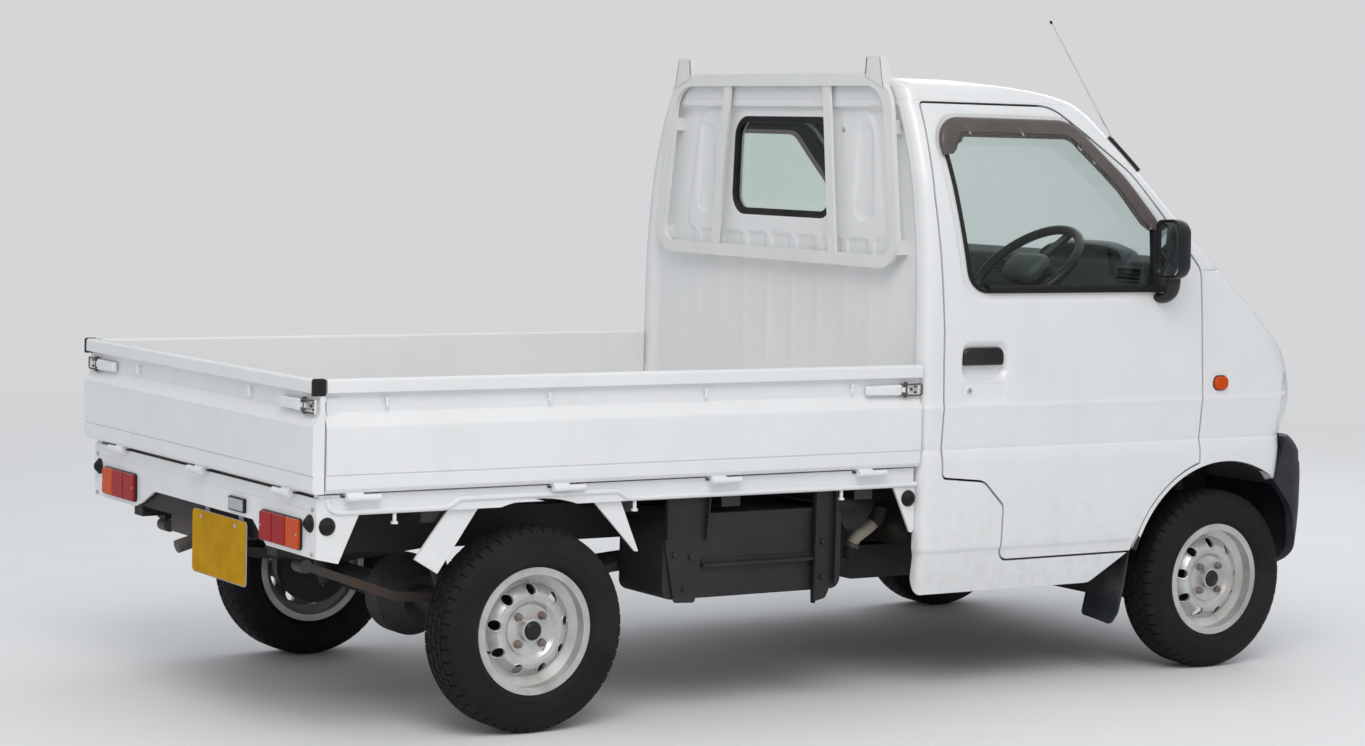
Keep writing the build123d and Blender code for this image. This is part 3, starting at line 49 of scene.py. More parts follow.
SIDES = (("right", -1), ("left", 1))
MIRROR = np.array([1, -1, 1])

# Camera, fitted to the photo
PHOTO_WIDTH = 1365.0
AZIMUTH = -32.254
ELEVATION = 4.418
ROLL = 1.404
DISTANCE = 8.59465
TARGET = Vector((-0.316679, 0.0, 0.865446))
FOCAL_PIXELS = 2983.677
AXIS_PIXEL = (631.185, 371.851)
PHOTO_CENTRE = (682.5, 373.0)
SENSOR = 36.0

BODY_HALF_WIDTH = 737.5

# Cab sections, as in the part
CAB_SECTIONS = [
    # z, tuck in from the half width, front corner x, corner radius, bow of the front
    (285.0, 22.0, 1560.0, 100.0, 30.0),
    (430.0, 2.0, 1575.0, 100.0, 35.0),
    (690.0, 1.0, 1583.0, 100.0, 42.0),
    (815.0, 0.0, 1614.0, 100.0, 40.0),
    (926.0, 2.0, 1588.0, 100.0, 42.0),
    (1040.0, 3.0, 1489.0, 100.0, 50.0),
    (1188.0, 8.0, 1315.0, 95.0, 62.0),
    (1400.0, 34.0, 1092.0, 90.0, 80.0),
    (1570.0, 82.0, 925.0, 85.0, 85.0),
    (1663.0, 122.0, 822.0, 80.0, 85.0),
    (1692.0, 135.0, 715.0, 80.0, 85.0),
    (1709.0, 152.0, 580.0, 80.0, 80.0),
    (1722.0, 190.0, 410.0, 80.0, 60.0),
]
REAR_WALL_X = 180.0
REAR_TURN = 26.0
ROOF_SEAM_Z = 1663.0
ROOF_TOP_Z = 1722.0
ROOF_CROWN = 7.0
CEILING_DROP = 32.0

BUMPER_SECTIONS = [
    # z, tuck in from the half width, front corner x, corner radius, bow of the front
    (272.0, 34.0, 1600.0, 92.0, 26.0),
    (285.0, 19.0, 1626.0, 100.0, 26.0),
    (305.0, 10.5, 1640.0, 100.0, 26.0),
    (355.0, 2.5, 1667.0, 100.0, 24.0),
    (490.0, 0.0, 1676.0, 100.0, 21.5),
    (551.0, 0.0, 1676.0, 100.0, 21.5),
    (634.0, 0.0, 1668.0, 100.0, 24.0),
    (676.0, 3.5, 1642.0, 100.0, 30.0),
    (690.0, 7.5, 1626.0, 100.0, 32.0),
]

FRONT_AXLE_X = 1317.0
REAR_AXLE_X = -1033.0
AXLE_Z = 266.0
WHEEL_Y = 645.0
ARCH_RADIUS = 358.0


# Materials

def feed(tree, value, socket):
    """Give a socket its value, or link it to the output that makes it."""
    if isinstance(value, bpy.types.NodeSocket):
        tree.links.new(value, socket)
    else:
        socket.default_value = value


def node(tree, kind, inputs=None, **settings):
    """New shader node with its settings and input values."""
    made = tree.nodes.new(kind)
    for name, value in settings.items():
        setattr(made, name, value)
    for name, value in (inputs or {}).items():
        feed(tree, value, made.inputs[name])
    return made


def blank_material(name):
    """Material with a Principled shader, and its node tree."""
    material = bpy.data.materials.new(name)
    material.use_nodes = True
    tree = material.node_tree
    return material, tree, tree.nodes["Principled BSDF"]


def rgba(colour, share=1.0):
    """Opaque colour, darkened to a share if wanted."""
    return (*(part * share for part in colour), 1.0)


def place_of(tree):
    """Coordinates that stay with a piece as it moves."""
    return node(tree, "ShaderNodeTexCoord").outputs["Object"]


def noise(tree, place, scale, detail=4.0, roughness=0.55, stretch=None):
    """Noise value at a scale in lumps per metre, stretched along the axes if wanted."""
    if stretch:
        place = node(tree, "ShaderNodeMapping", {"Vector": place, "Scale": stretch}).outputs["Vector"]
    return node(tree, "ShaderNodeTexNoise", {
        "Vector": place, "Scale": scale, "Detail": detail, "Roughness": roughness}).outputs["Fac"]


def ramp(tree, value, low, high, low_out=0.0, high_out=1.0):
    """Value mapped smoothly from one range to another."""
    return node(tree, "ShaderNodeMapRange", {
        "Value": value, "From Min": low, "From Max": high, "To Min": low_out, "To Max": high_out},
        interpolation_type="SMOOTHSTEP").outputs["Result"]


def maths(tree, kind, first, second=None):
    """Result of one mathematical step."""
    made = node(tree, "ShaderNodeMath", {0: first}, operation=kind)
    if second is not None:
        feed(tree, second, made.inputs[1])
    return made.outputs["Value"]


def blend_colour(tree, share, first, second):
    """Colour mixed between two by a share."""
    made = node(tree, "ShaderNodeMix", data_type="RGBA")
    for name, kind, value in (("Factor", "VALUE", share), ("A", "RGBA", first), ("B", "RGBA", second)):
        feed(tree, value, next(s for s in made.inputs if s.name == name and s.type == kind))
    return next(s for s in made.outputs if s.type == "RGBA")


def heights(tree, place):
    """Third coordinate of a place: height above the ground in metres, for a piece."""
    return node(tree, "ShaderNodeSeparateXYZ", {"Vector": place}).outputs["Z"]


def bumped(tree, shader, value, strength, distance=0.001):
    """Bump from a value on a shader's normal."""
    made = node(tree, "ShaderNodeBump", {"Height": value, "Strength": strength, "Distance": distance})
    tree.links.new(made.outputs["Normal"], shader.inputs["Normal"])


def paint(name, colour, dirt=0.35, rust=0.5, gloss=0.3, grime_colour=(0.23, 0.19, 0.14), under=None):
    """Car paint with road dirt, streaks and rust, and painted shade: near black below a height in metres
    where one is given.
    """
    material, tree, shader = blank_material(name)
    place = place_of(tree)
    cloud = noise(tree, place, 5.0, 6.0, 0.6)
    shade = blend_colour(tree, ramp(tree, cloud, 0.35, 0.7), rgba(colour), rgba(colour, 0.965))
    streak = noise(tree, place, 9.0, 5.0, 0.6, stretch=(1.0, 1.0, 0.12))
    height = heights(tree, place)
    low = ramp(tree, height, 0.75, 0.25)
    splash = maths(tree, "MULTIPLY", ramp(tree, noise(tree, place, 26.0, 8.0, 0.7), 0.38, 0.72), low)
    film = maths(tree, "MULTIPLY", ramp(tree, streak, 0.5, 0.8), 0.35)
    grime = maths(tree, "MULTIPLY", maths(tree, "ADD", splash, film), dirt)
    shade = blend_colour(tree, grime, shade, rgba(grime_colour))
    cells = node(tree, "ShaderNodeTexVoronoi", {"Vector": place, "Scale": 34.0}, feature="F1")
    speck = ramp(tree, cells.outputs["Distance"], 0.075, 0.03)
    chosen = ramp(tree, noise(tree, place, 6.5, 3.0, 0.6), 0.6, 0.68)
    spots = maths(tree, "MULTIPLY", maths(tree, "MULTIPLY", speck, chosen), rust)
    shade = blend_colour(tree, spots, shade, rgba((0.16, 0.06, 0.025)))
    # Painted shade: below the given height the paint turns near black, standing in for the shadow under the
    # bed floor.
    if under:
        below = ramp(tree, height, under + 0.001, under - 0.001)
        shade = blend_colour(tree, below, shade, rgba((0.012, 0.011, 0.010)))
    tree.links.new(shade, shader.inputs["Base Color"])
    rough = maths(tree, "ADD", ramp(tree, grime, 0.0, 0.5, gloss, 0.75), maths(tree, "MULTIPLY", spots, 0.4))
    tree.links.new(rough, shader.inputs["Roughness"])
    shader.inputs["Coat Weight"].default_value = 0.35
    shader.inputs["Coat Roughness"].default_value = 0.12
    bumped(tree, shader, noise(tree, place, 900.0, 2.0), 0.04, 0.0004)
    return material


def plain(name, colour, rough=0.5, metal=0.0, grain=260.0, bump=0.1, dust=0.1, dust_colour=(0.30, 0.27, 0.23),
          shine=0.5):
    """Moulded or cast surface: slight cloudiness, fine grain and dust."""
    material, tree, shader = blank_material(name)
    place = place_of(tree)
    cloud = noise(tree, place, 14.0, 5.0, 0.6)
    shade = blend_colour(tree, ramp(tree, cloud, 0.3, 0.75), rgba(colour), rgba(colour, 0.78))
    settle = maths(tree, "MULTIPLY", ramp(tree, noise(tree, place, 6.0, 7.0, 0.65), 0.42, 0.78), dust)
    shade = blend_colour(tree, settle, shade, rgba(dust_colour))
    tree.links.new(shade, shader.inputs["Base Color"])
    tree.links.new(ramp(tree, settle, 0.0, 0.4, rough, min(rough + 0.3, 0.95)), shader.inputs["Roughness"])
    shader.inputs["Metallic"].default_value = metal
    shader.inputs["Specular IOR Level"].default_value = shine
    bumped(tree, shader, noise(tree, place, grain, 4.0, 0.6), bump, 0.0003)
    return material


def rusty(name, colour, rust_share=0.5, rough=0.6, dusty=0.25):
    """Dark chassis steel under road dirt, with rust breaking through."""
    material, tree, shader = blank_material(name)
    place = place_of(tree)
    patch = ramp(tree, noise(tree, place, 12.0, 8.0, 0.7), 0.62 - 0.2 * rust_share, 0.75)
    fine = noise(tree, place, 90.0, 6.0, 0.7)
    brown = blend_colour(tree, fine, rgba((0.11, 0.045, 0.02)), rgba((0.22, 0.12, 0.07)))
    shade = blend_colour(tree, maths(tree, "MULTIPLY", patch, rust_share), rgba(colour), brown)
    dust = ramp(tree, noise(tree, place, 5.0, 6.0, 0.6), 0.45, 0.8, 0.0, dusty)
    shade = blend_colour(tree, dust, shade, rgba((0.10, 0.088, 0.076)))
    tree.links.new(shade, shader.inputs["Base Color"])
    tree.links.new(ramp(tree, patch, 0.0, 1.0, rough, 0.92), shader.inputs["Roughness"])
    bumped(tree, shader, fine, 0.35, 0.0008)
    return material


def glass(name, tint, clear=0.82, rough=0.02):
    """Thin car glass: mostly clear, tinted, with a gloss that grows towards the edges."""
    material, tree, shader = blank_material(name)
    tree.nodes.remove(shader)
    out = tree.nodes["Material Output"]
    through = node(tree, "ShaderNodeBsdfTransparent", {"Color": rgba(tint)})
    gloss = node(tree, "ShaderNodeBsdfGlossy", {"Color": (1.0, 1.0, 1.0, 1.0), "Roughness": rough})
    edge = node(tree, "ShaderNodeLayerWeight", {"Blend": 0.5}).outputs["Facing"]
    grazing = maths(tree, "MULTIPLY", maths(tree, "POWER", edge, 5.0), 0.8)
    share = maths(tree, "ADD", grazing, (1.0 - clear) * 0.15)
    mixed = node(tree, "ShaderNodeMixShader", {0: share, 1: through.outputs[0], 2: gloss.outputs[0]})
    tree.links.new(mixed.outputs[0], out.inputs["Surface"])
    return material


def lens(name, colour):
    """Coloured lamp lens with moulded ribs."""
    material, tree, shader = blank_material(name)
    shader.inputs["Base Color"].default_value = rgba(colour)
    shader.inputs["Roughness"].default_value = 0.08
    shader.inputs["Specular IOR Level"].default_value = 0.12
    ribbed = node(tree, "ShaderNodeTexWave", {"Vector": place_of(tree), "Scale": 70.4, "Distortion": 0.0},
                  bands_direction="Z", wave_type="BANDS").outputs["Fac"]
    bumped(tree, shader, ribbed, 0.45, 0.0015)
    return material


def cloth(name, colour, weave, bump=0.3):
    """Woven or grained seat cover with a soft sheen."""
    material, tree, shader = blank_material(name)
    place = place_of(tree)
    cloud = noise(tree, place, 8.0, 5.0, 0.6)
    shade = blend_colour(tree, ramp(tree, cloud, 0.3, 0.75), rgba(colour), rgba(colour, 0.7))
    tree.links.new(shade, shader.inputs["Base Color"])
    shader.inputs["Roughness"].default_value = 0.85
    shader.inputs["Sheen Weight"].default_value = 0.25
    grain = node(tree, "ShaderNodeTexVoronoi", {"Vector": place, "Scale": weave}, feature="F1")
    bumped(tree, shader, grain.outputs["Distance"], bump, 0.0006)
    return material


WHITE = (0.80, 0.81, 0.82)
LENSES = [
    # name, colour
    ("red_lens", (0.36, 0.002, 0.003)),
    ("amber_lens", (0.62, 0.07, 0.003)),
    ("clear_lens", (0.46, 0.47, 0.48)),
]
MATERIALS = {
    "white": paint("white_paint", WHITE, dirt=0.14, rust=0.35),
    # cab_back and bed_white carry painted shade: near black below the height of the bed floor.
    "cab_back": paint("cab_back_paint", WHITE, dirt=0.14, rust=0.35, under=0.612),
    "bed_white": paint("bed_paint", (0.72, 0.71, 0.69), dirt=1.1, rust=0.9, gloss=0.55,
                       grime_colour=(0.36, 0.25, 0.19), under=0.632),
    "guard_white": paint("guard_paint", (0.76, 0.77, 0.76), dirt=0.4, rust=1.0, gloss=0.4),
    "dark_plastic": plain("bumper_plastic", (0.019, 0.022, 0.030), 0.55, bump=0.25, dust=0.12, shine=0.3),
    "black_plastic": plain("black_plastic", (0.011, 0.0115, 0.013), 0.38, dust=0.06, shine=0.35),
    "rubber": plain("black_rubber", (0.009, 0.009, 0.010), 0.6, bump=0.2, shine=0.25),
    "tyre": plain("tyre_rubber", (0.0085, 0.0085, 0.009), 0.75, grain=420.0, bump=0.2, dust=0.35,
                  dust_colour=(0.05, 0.047, 0.045), shine=0.25),
    "nuts": rusty("wheel_nuts", (0.20, 0.17, 0.15), rust_share=0.9, rough=0.5),
    "silver": plain("silver_wheel", (0.62, 0.62, 0.61), 0.32, metal=0.55, grain=500.0, bump=0.08, dust=0.4,
                    dust_colour=(0.28, 0.24, 0.20)),
    "chassis": rusty("chassis_black", (0.010, 0.010, 0.011), rust_share=0.12, dusty=0.12),
    "casting": rusty("grey_casting", (0.028, 0.027, 0.027), rust_share=0.2, dusty=0.2),
    "old_steel": rusty("old_steel", (0.07, 0.062, 0.058), rust_share=0.7),
    "hardware": rusty("dull_zinc", (0.42, 0.41, 0.40), rust_share=0.55, rough=0.45),
    "cream": plain("cream_pipe", (0.40, 0.37, 0.28), dust=0.5, dust_colour=(0.16, 0.14, 0.11)),
    "reflector": plain("lamp_reflector", (0.80, 0.81, 0.82), 0.3, metal=0.35, bump=0.0, dust=0.05),
    "chrome": plain("chrome", (0.78, 0.78, 0.80), 0.12, metal=1.0, bump=0.02, dust=0.08),
    "glass": glass("side_glass", (0.93, 0.965, 0.955)),
    "screen_glass": glass("screen_glass", (0.94, 0.97, 0.965)),
    "smoked": glass("smoked_visor", (0.44, 0.40, 0.39), clear=0.96, rough=0.4),
    "visor_rim": plain("visor_rim", (0.095, 0.078, 0.074), 0.3, bump=0.0, dust=0.06, shine=0.4),
    "lamp_glass": glass("lamp_glass", (0.97, 0.98, 0.98), clear=0.3, rough=0.1),
    "flap": plain("flap_rubber", (0.018, 0.022, 0.030), 0.6, bump=0.2, dust=0.2, shine=0.3),
    "mirror": plain("mirror_glass", (0.86, 0.88, 0.90), 0.02, metal=1.0, bump=0.0, dust=0.03),
    "trim": plain("grey_trim", (0.20, 0.215, 0.225), 0.65, bump=0.3, dust=0.05),
    "dash": plain("dash_plastic", (0.095, 0.115, 0.12), 0.55, bump=0.3, dust=0.06),
    "liner": plain("pale_liner", (0.42, 0.42, 0.40), 0.9, bump=0.4, dust=0.05),
    "seat": cloth("seat_cover", (0.09, 0.095, 0.105), weave=1100.0),
    "yellow": plain("plate_yellow", (0.56, 0.30, 0.006), 0.6, bump=0.05, dust=0.03, shine=0.05),
}
MATERIALS.update((name, lens(name, colour)) for name, colour in LENSES)


def dress(obj, *names):
    """Give an object its materials in order."""
    slots = obj.data.materials
    for index, name in enumerate(names):
        if index < len(slots):
            slots[index] = MATERIALS[name]
        else:
            slots.append(MATERIALS[name])


# Geometry helpers

def monotone(rows):
    """Smooth curve through rows of a key and its values, with no overshoot."""
    table = np.array(rows, float)
    keys, values = table[:, 0], table[:, 1:]
    gaps = np.diff(keys)[:, None]
    steps = np.diff(values, axis=0) / gaps
    slopes = np.zeros_like(values)
    slopes[0], slopes[-1] = steps[0], steps[-1]
    product = steps[:-1] * steps[1:]
    total = steps[:-1] + steps[1:]
    slopes[1:-1] = np.where(product > 0, 2 * product / np.where(total == 0, 1, total), 0)

    def at(key):
        key = np.clip(np.atleast_1d(np.asarray(key, float)), keys[0], keys[-1])
        cell = np.clip(np.searchsorted(keys, key) - 1, 0, len(keys) - 2)
        width = gaps[cell, 0]
        t = ((key - keys[cell]) / width)[:, None]
        width = width[:, None]
        low, high = values[cell], values[cell + 1]
        rise = slopes[cell] * width * (t ** 3 - 2 * t ** 2 + t) + slopes[cell + 1] * width * (t ** 3 - t ** 2)
        return low * (2 * t ** 3 - 3 * t ** 2 + 1) + high * (3 * t ** 2 - 2 * t ** 3) + rise

    return at


class Skin:
    """Stacked plan outlines. u is x along the flat side, and goes on as a length round the corners."""

    def __init__(self, sections, rear_x, rear_turn):
        self.sections = monotone(sections)
        self.rear_x = rear_x
        self.rear_turn = rear_turn

    def shape(self, z):
        """Half width, corner's centre x and radius, bow's end angle, radius, half chord, u at the middle."""
        tuck, front, radius, bow = self.sections(z).T
        half = BODY_HALF_WIDTH - tuck
        end = 2 * np.arctan(bow / (half - radius))
        chord = half - radius + radius * np.sin(end)
        centre = front + bow - radius * np.cos(end) - chord * np.tan(end / 2)
        arc = chord / np.sin(end)
        middle = centre + radius * (math.pi / 2 - end) + arc * end
        return half, centre, radius, end, arc, chord, middle

    def place(self, u, z, depth=0.0):
        """Points of the right side, moved in from the surface by a depth."""
        u, z = np.broadcast_arrays(np.asarray(u, float), np.asarray(z, float))
        half, centre, radius, end, arc, chord, middle = self.shape(z)
        turn = np.clip((u - centre) / radius, 0, math.pi / 2 - end)
        x = np.minimum(u, centre) + radius * np.sin(turn)
        y = -half + radius * (1 - np.cos(turn))
        nx, ny = np.sin(turn), -np.cos(turn)
        on_bow = u > centre + radius * (math.pi / 2 - end)
        psi = np.clip((middle - u) / arc, -1.2, 1.2)
        x = np.where(on_bow, centre + radius * np.cos(end) + arc * (np.cos(psi) - np.cos(end)), x)
        y = np.where(on_bow, -arc * np.sin(psi), y)
        nx = np.where(on_bow, np.cos(psi), nx)
        ny = np.where(on_bow, -np.sin(psi), ny)
        back = self.rear_x + self.rear_turn
        bend = np.clip((back - u) / self.rear_turn, 0, math.pi / 2)
        behind = u < back
        flat = np.maximum(back - u - self.rear_turn * math.pi / 2, 0)
        x = np.where(behind, back - self.rear_turn * np.sin(bend), x)
        y = np.where(behind, -half + self.rear_turn * (1 - np.cos(bend)) + flat, y)
        nx = np.where(behind, -np.sin(bend), nx)
        ny = np.where(behind, -np.cos(bend), ny)
        return columns(x - nx * depth, y - ny * depth, z)

    def u_of_x(self, x, z):
        """u of a point of the side or front corner from its x."""
        centre, radius = self.shape(z)[1:3]
        x = np.asarray(x, float)
        return np.where(x <= centre, x, centre + radius * np.arcsin(np.clip((x - centre) / radius, 0, 1)))

    def u_of_y(self, y, z):
        """u of a point of the front from its distance off the middle."""
        half, centre, radius, end, arc, chord, middle = self.shape(z)
        y = np.abs(y)
        bowed = middle - arc * np.arcsin(np.clip(y / arc, -1, 1))
        turn = np.arccos(np.clip((y - half + radius) / radius, -1, 1))
        return np.where(y <= chord, bowed, centre + radius * turn)

    def u_at(self, y, z):
        """u of one point of the front from its distance off the middle."""
        return self.u_of_y(y, np.array([z]))[0]

    def middle(self, z):
        """u of the middle of the front at one height."""
        return self.shape(np.array([z]))[6][0]

    def sunk(self, amount):
        """The same surface, set in by an amount."""
        return lambda u, z, depth=0.0: self.place(u, z, depth + amount)

    def to_u(self, outline):
        """Side-view outline in x and z as u and z."""
        outline = np.asarray(outline, float)
        return columns(self.u_of_x(*outline.T), outline[:, 1])


CAB = Skin(CAB_SECTIONS, REAR_WALL_X, REAR_TURN)
BUMPER = Skin(BUMPER_SECTIONS, 1200.0, 20.0)


def grown(points, amount):
    """Closed outline with each edge moved outwards."""
    count = len(points)
    area = sum(points[i - 1][0] * points[i][1] - points[i][0] * points[i - 1][1] for i in range(count))
    turn = 1 if area > 0 else -1
    lines = []
    for (x0, y0), (x1, y1) in zip(points, points[1:] + points[:1]):
        length = math.hypot(x1 - x0, y1 - y0)
        nx, ny = turn * (y1 - y0) / length, -turn * (x1 - x0) / length
        lines.append((nx, ny, nx * x0 + ny * y0 + amount))
    result = []
    for (ax, ay, a), (bx, by, b) in zip(lines[-1:] + lines[:-1], lines):
        det = ax * by - ay * bx
        result.append(((a * by - b * ay) / det, (ax * b - bx * a) / det))
    return result


def rounded(points, radii, step=12.0, closed=True):
    """Outline with rounded corners, as points no further apart than a step."""
    count = len(points)
    radii = [radii] * count if isinstance(radii, (int, float)) else radii
    path = []
    for index, corner in enumerate(points):
        corner = Vector(corner)
        radius = radii[index]
        ends = not closed and index in (0, count - 1)
        if radius <= 0 or ends:
            path.append([corner])
            continue
        before = (Vector(points[index - 1]) - corner).normalized()
        after = (Vector(points[(index + 1) % count]) - corner).normalized()
        half = before.angle(after) / 2
        reach = radius / math.tan(half)
        middle = corner + (before + after).normalized() * (radius / math.sin(half))
        start = corner + before * reach - middle
        sweep = math.pi - 2 * half
        sign = 1 if before.cross(after) < 0 else -1
        parts = max(3, int(sweep * radius / (step * 0.6)), int(sweep / 0.2))
        arc = []
        for part in range(parts + 1):
            turn = sign * sweep * part / parts
            arc.append(middle + Vector((start.x * math.cos(turn) - start.y * math.sin(turn),
                                        start.x * math.sin(turn) + start.y * math.cos(turn))))
        path.append(arc)
    result = []
    for index, arc in enumerate(path):
        result.extend(arc)
        if index == count - 1 and not closed:
            break
        finish = path[(index + 1) % count][0]
        length = (finish - arc[-1]).length
        parts = max(1, int(math.ceil(length / step)))
        result.extend(arc[-1].lerp(finish, part / parts) for part in range(1, parts))
    return np.array([(point.x, point.y) for point in result])


def ringed(outline, radii, grow, step=12.0):
    """Outline grown by an amount, with rounded corners that grow with it."""
    return rounded(grown(outline, grow), [max(r + grow, 3.0) for r in radii], step=step)


def within(outline, u, z):
    """Whether points lie inside a closed outline."""
    inside = np.zeros(np.shape(u), bool)
    for (u0, z0), (u1, z1) in zip(outline, np.roll(outline, -1, axis=0)):
        if z0 == z1:
            continue
        crosses = (z0 > z) != (z1 > z)
        inside ^= crosses & (u < (u1 - u0) * (z - z0) / (z1 - z0) + u0)
    return inside


def off_edge(outline, u, z):
    """Distance of points from the nearest edge of a closed outline, negative inside."""
    start = np.asarray(outline)
    finish = np.roll(start, -1, axis=0)
    along = finish - start
    length = np.maximum((along ** 2).sum(1), 1e-9)
    best = np.full(np.shape(u), 1e9)
    for (u0, z0), (du, dz), size in zip(start, along, length):
        t = np.clip(((u - u0) * du + (z - z0) * dz) / size, 0, 1)
        best = np.minimum(best, np.hypot(u - u0 - t * du, z - z0 - t * dz))
    return np.where(within(outline, u, z), -best, best)


def ease(value, low, high):
    """Smooth step from 0 at low to 1 at high."""
    t = np.clip((value - low) / (high - low), 0, 1)
    return t * t * (3 - 2 * t)


def finish_piece(obj, finishes, body, slot, *nodes):
    """Give a piece its finishes, let it ride on a body and let it stand for CAD nodes. The slot is not used.
    """
    dress(obj, *finishes)
    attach(obj, body)
    if nodes:
        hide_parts(*nodes)
    return obj


def soften(obj, width, segments=3, angle=35.0, weighted=False):
    """Round the sharp edges and even out the shading."""
    bevel = obj.modifiers.new("edge_round", "BEVEL")
    bevel.width = width * MM
    bevel.segments = segments
    bevel.limit_method = "WEIGHT" if weighted else "ANGLE"
    bevel.angle_limit = math.radians(angle)
    bevel.use_clamp_overlap = True
    normals = obj.modifiers.new("even_shading", "WEIGHTED_NORMAL")
    normals.keep_sharp = False
    normals.weight = 60
    return obj


def mesh_piece(name, points, faces, smooth=True, face_slots=None):
    """New object from points in millimetres and faces."""
    mesh = bpy.data.meshes.new(name)
    metres = np.asarray(points, float) * MM
    mesh.from_pydata([tuple(p) for p in metres], [], [tuple(map(int, f)) for f in faces])
    mesh.validate()
    mesh.polygons.foreach_set("use_smooth", [smooth] * len(mesh.polygons))
    if face_slots is not None and len(face_slots) == len(mesh.polygons):
        mesh.polygons.foreach_set("material_index", face_slots)
    mesh.update()
    obj = bpy.data.objects.new(name, mesh)
    bpy.context.scene.collection.objects.link(obj)
    return obj


def triangulated(loops, inside, area, step, rows, uprights):
    """Points and triangles that fill a flat region and follow its loops, fixed rows and uprights."""
    low_u, high_u, low_z, high_z = area
    points, edges = [], []
    for loop in loops:
        first = len(points)
        points.extend(loop)
        edges.extend((first + i, first + (i + 1) % len(loop)) for i in range(len(loop)))
    across = np.unique(np.concatenate([np.arange(low_u, high_u, step), np.array(uprights, float)]))
    up = np.unique(np.concatenate([np.arange(low_z, high_z, step), np.array(rows, float)]))
    keep_up = [up[0]]
    fixed = set(float(r) for r in rows)
    for value in up[1:]:
        if value - keep_up[-1] >= step * 0.45 or float(value) in fixed:
            keep_up.append(value)
    grid_u, grid_z = np.meshgrid(across, np.array(keep_up))
    grid_u, grid_z = grid_u.ravel(), grid_z.ravel()
    keep = inside(grid_u, grid_z)
    for loop in loops:
        keep &= np.abs(off_edge(loop, grid_u, grid_z)) > step * 0.3
    points.extend(zip(grid_u[keep], grid_z[keep]))
    made = delaunay_2d_cdt([Vector(p) for p in points], edges, [], 0, 1e-4)
    flat = np.array([(v.x, v.y) for v in made[0]])
    faces = np.array([f for f in made[2] if len(f) == 3])
    middle = flat[faces].mean(axis=1)
    return flat, faces[inside(middle[:, 0], middle[:, 1])]


def columns(*values):
    """Points from their coordinates, with single numbers repeated."""
    return np.stack(np.broadcast_arrays(*values), axis=-1)


def ring_sides(levels, count):
    """Faces between closed rings of points."""
    corners = [(first + i, first + (i + 1) % count) for first in range(0, (levels - 1) * count, count)
               for i in range(count)]
    return [(a, b, b + count, a + count) for a, b in corners]


def solid(rings):
    """Closed form through rings of as many points each."""
    count = len(rings[0])
    last = (len(rings) - 1) * count
    ends = [tuple(range(count)), tuple(last + i for i in reversed(range(count)))]
    return np.concatenate(rings), ring_sides(len(rings), count) + ends


def panel(name, loops, inside, area, step, place, thickness, rows=(), uprights=(), relief=None, bevel=2.5,
          side=-1, whole=False, back_slot=1):
    """Closed sheet with a formed outer face, on the right (-1), on the left (1) or over the whole width.

    It is cut out of a surface along loops; without a test, what lies inside the first loop is kept.
    """
    inside = inside or (lambda u, z: within(loops[0], u, z))
    flat, faces = triangulated(loops, inside, area, step, rows, uprights)
    used = np.unique(faces)
    renumber = np.zeros(len(flat), int)
    renumber[used] = np.arange(len(used))
    flat, faces = flat[used], renumber[faces]
    u, z = flat[:, 0], flat[:, 1]
    rise = relief(u, z) if relief else np.zeros(len(u))
    outer = place(u, z, -rise)
    inner = place(u, z, thickness)
    count = len(outer)
    directed = {(int(a), int(b)) for f in faces for a, b in ((f[0], f[1]), (f[1], f[2]), (f[2], f[0]))}
    rim = [(a, b) for a, b in directed if (b, a) not in directed]
    if whole:
        rim = [(a, b) for a, b in rim if abs(outer[a][1]) > 0.5 or abs(outer[b][1]) > 0.5]
    points = np.concatenate([outer, inner])
    polygons = [tuple(f) for f in faces] + [tuple(f[::-1] + count) for f in faces]
    slots = [0] * len(faces) + [back_slot] * len(faces)
    polygons += [(b, a, a + count, b + count) for a, b in rim]
    slots += [0] * len(rim)
    creases = {frozenset(e) for e in rim}
    if side > 0 or whole:
        mirrored = points * MIRROR
        flipped = [tuple(reversed(p)) for p in polygons]
        if whole:
            total = len(points)
            centre = np.abs(points[:, 1]) <= 0.5
            partner = np.arange(total) + total
            partner[centre] = np.arange(total)[centre]
            points = np.concatenate([points, mirrored])
            polygons += [tuple(int(partner[i]) for i in p) for p in flipped]
            creases |= {frozenset(int(partner[i]) for i in e) for e in creases}
            slots += slots
        else:
            points, polygons = mirrored, flipped
    obj = mesh_piece(name, points, polygons, face_slots=slots)
    weight = obj.data.attributes.new("bevel_weight_edge", "FLOAT", "EDGE")
    values = [1.0 if frozenset(e.vertices) in creases else 0.0 for e in obj.data.edges]
    weight.data.foreach_set("value", values)
    soften(obj, bevel, weighted=True)
    return obj


# Camera, light and floor

BACKDROP = (0.66, 0.67, 0.68, 1.0)
FLOOR_FADE = (3.2, 11.0)


def make_camera():
    """Camera at the photo's place, with its turn, lens and shift."""
    azimuth, elevation = math.radians(AZIMUTH), math.radians(ELEVATION)
    back = Vector((math.sin(azimuth) * math.cos(elevation), -math.cos(azimuth) * math.cos(elevation),
                   math.sin(elevation)))
    right = (-back).cross(Vector((0, 0, 1))).normalized()
    up = right.cross(-back)
    turn = math.radians(ROLL)
    right, up = right * math.cos(turn) + up * math.sin(turn), up * math.cos(turn) - right * math.sin(turn)
    data = bpy.data.cameras.new("camera")
    camera = bpy.data.objects.new("camera", data)
    bpy.context.scene.collection.objects.link(camera)
    turned = Matrix((right, up, back)).transposed().to_4x4()
    camera.matrix_world = Matrix.Translation(TARGET + back * DISTANCE) @ turned
    data.sensor_width = SENSOR
    data.lens = FOCAL_PIXELS / PHOTO_WIDTH * SENSOR
    data.shift_x = (PHOTO_CENTRE[0] - AXIS_PIXEL[0]) / PHOTO_WIDTH
    data.shift_y = (AXIS_PIXEL[1] - PHOTO_CENTRE[1]) / PHOTO_WIDTH
    data.clip_end = 200.0
    bpy.context.scene.camera = camera


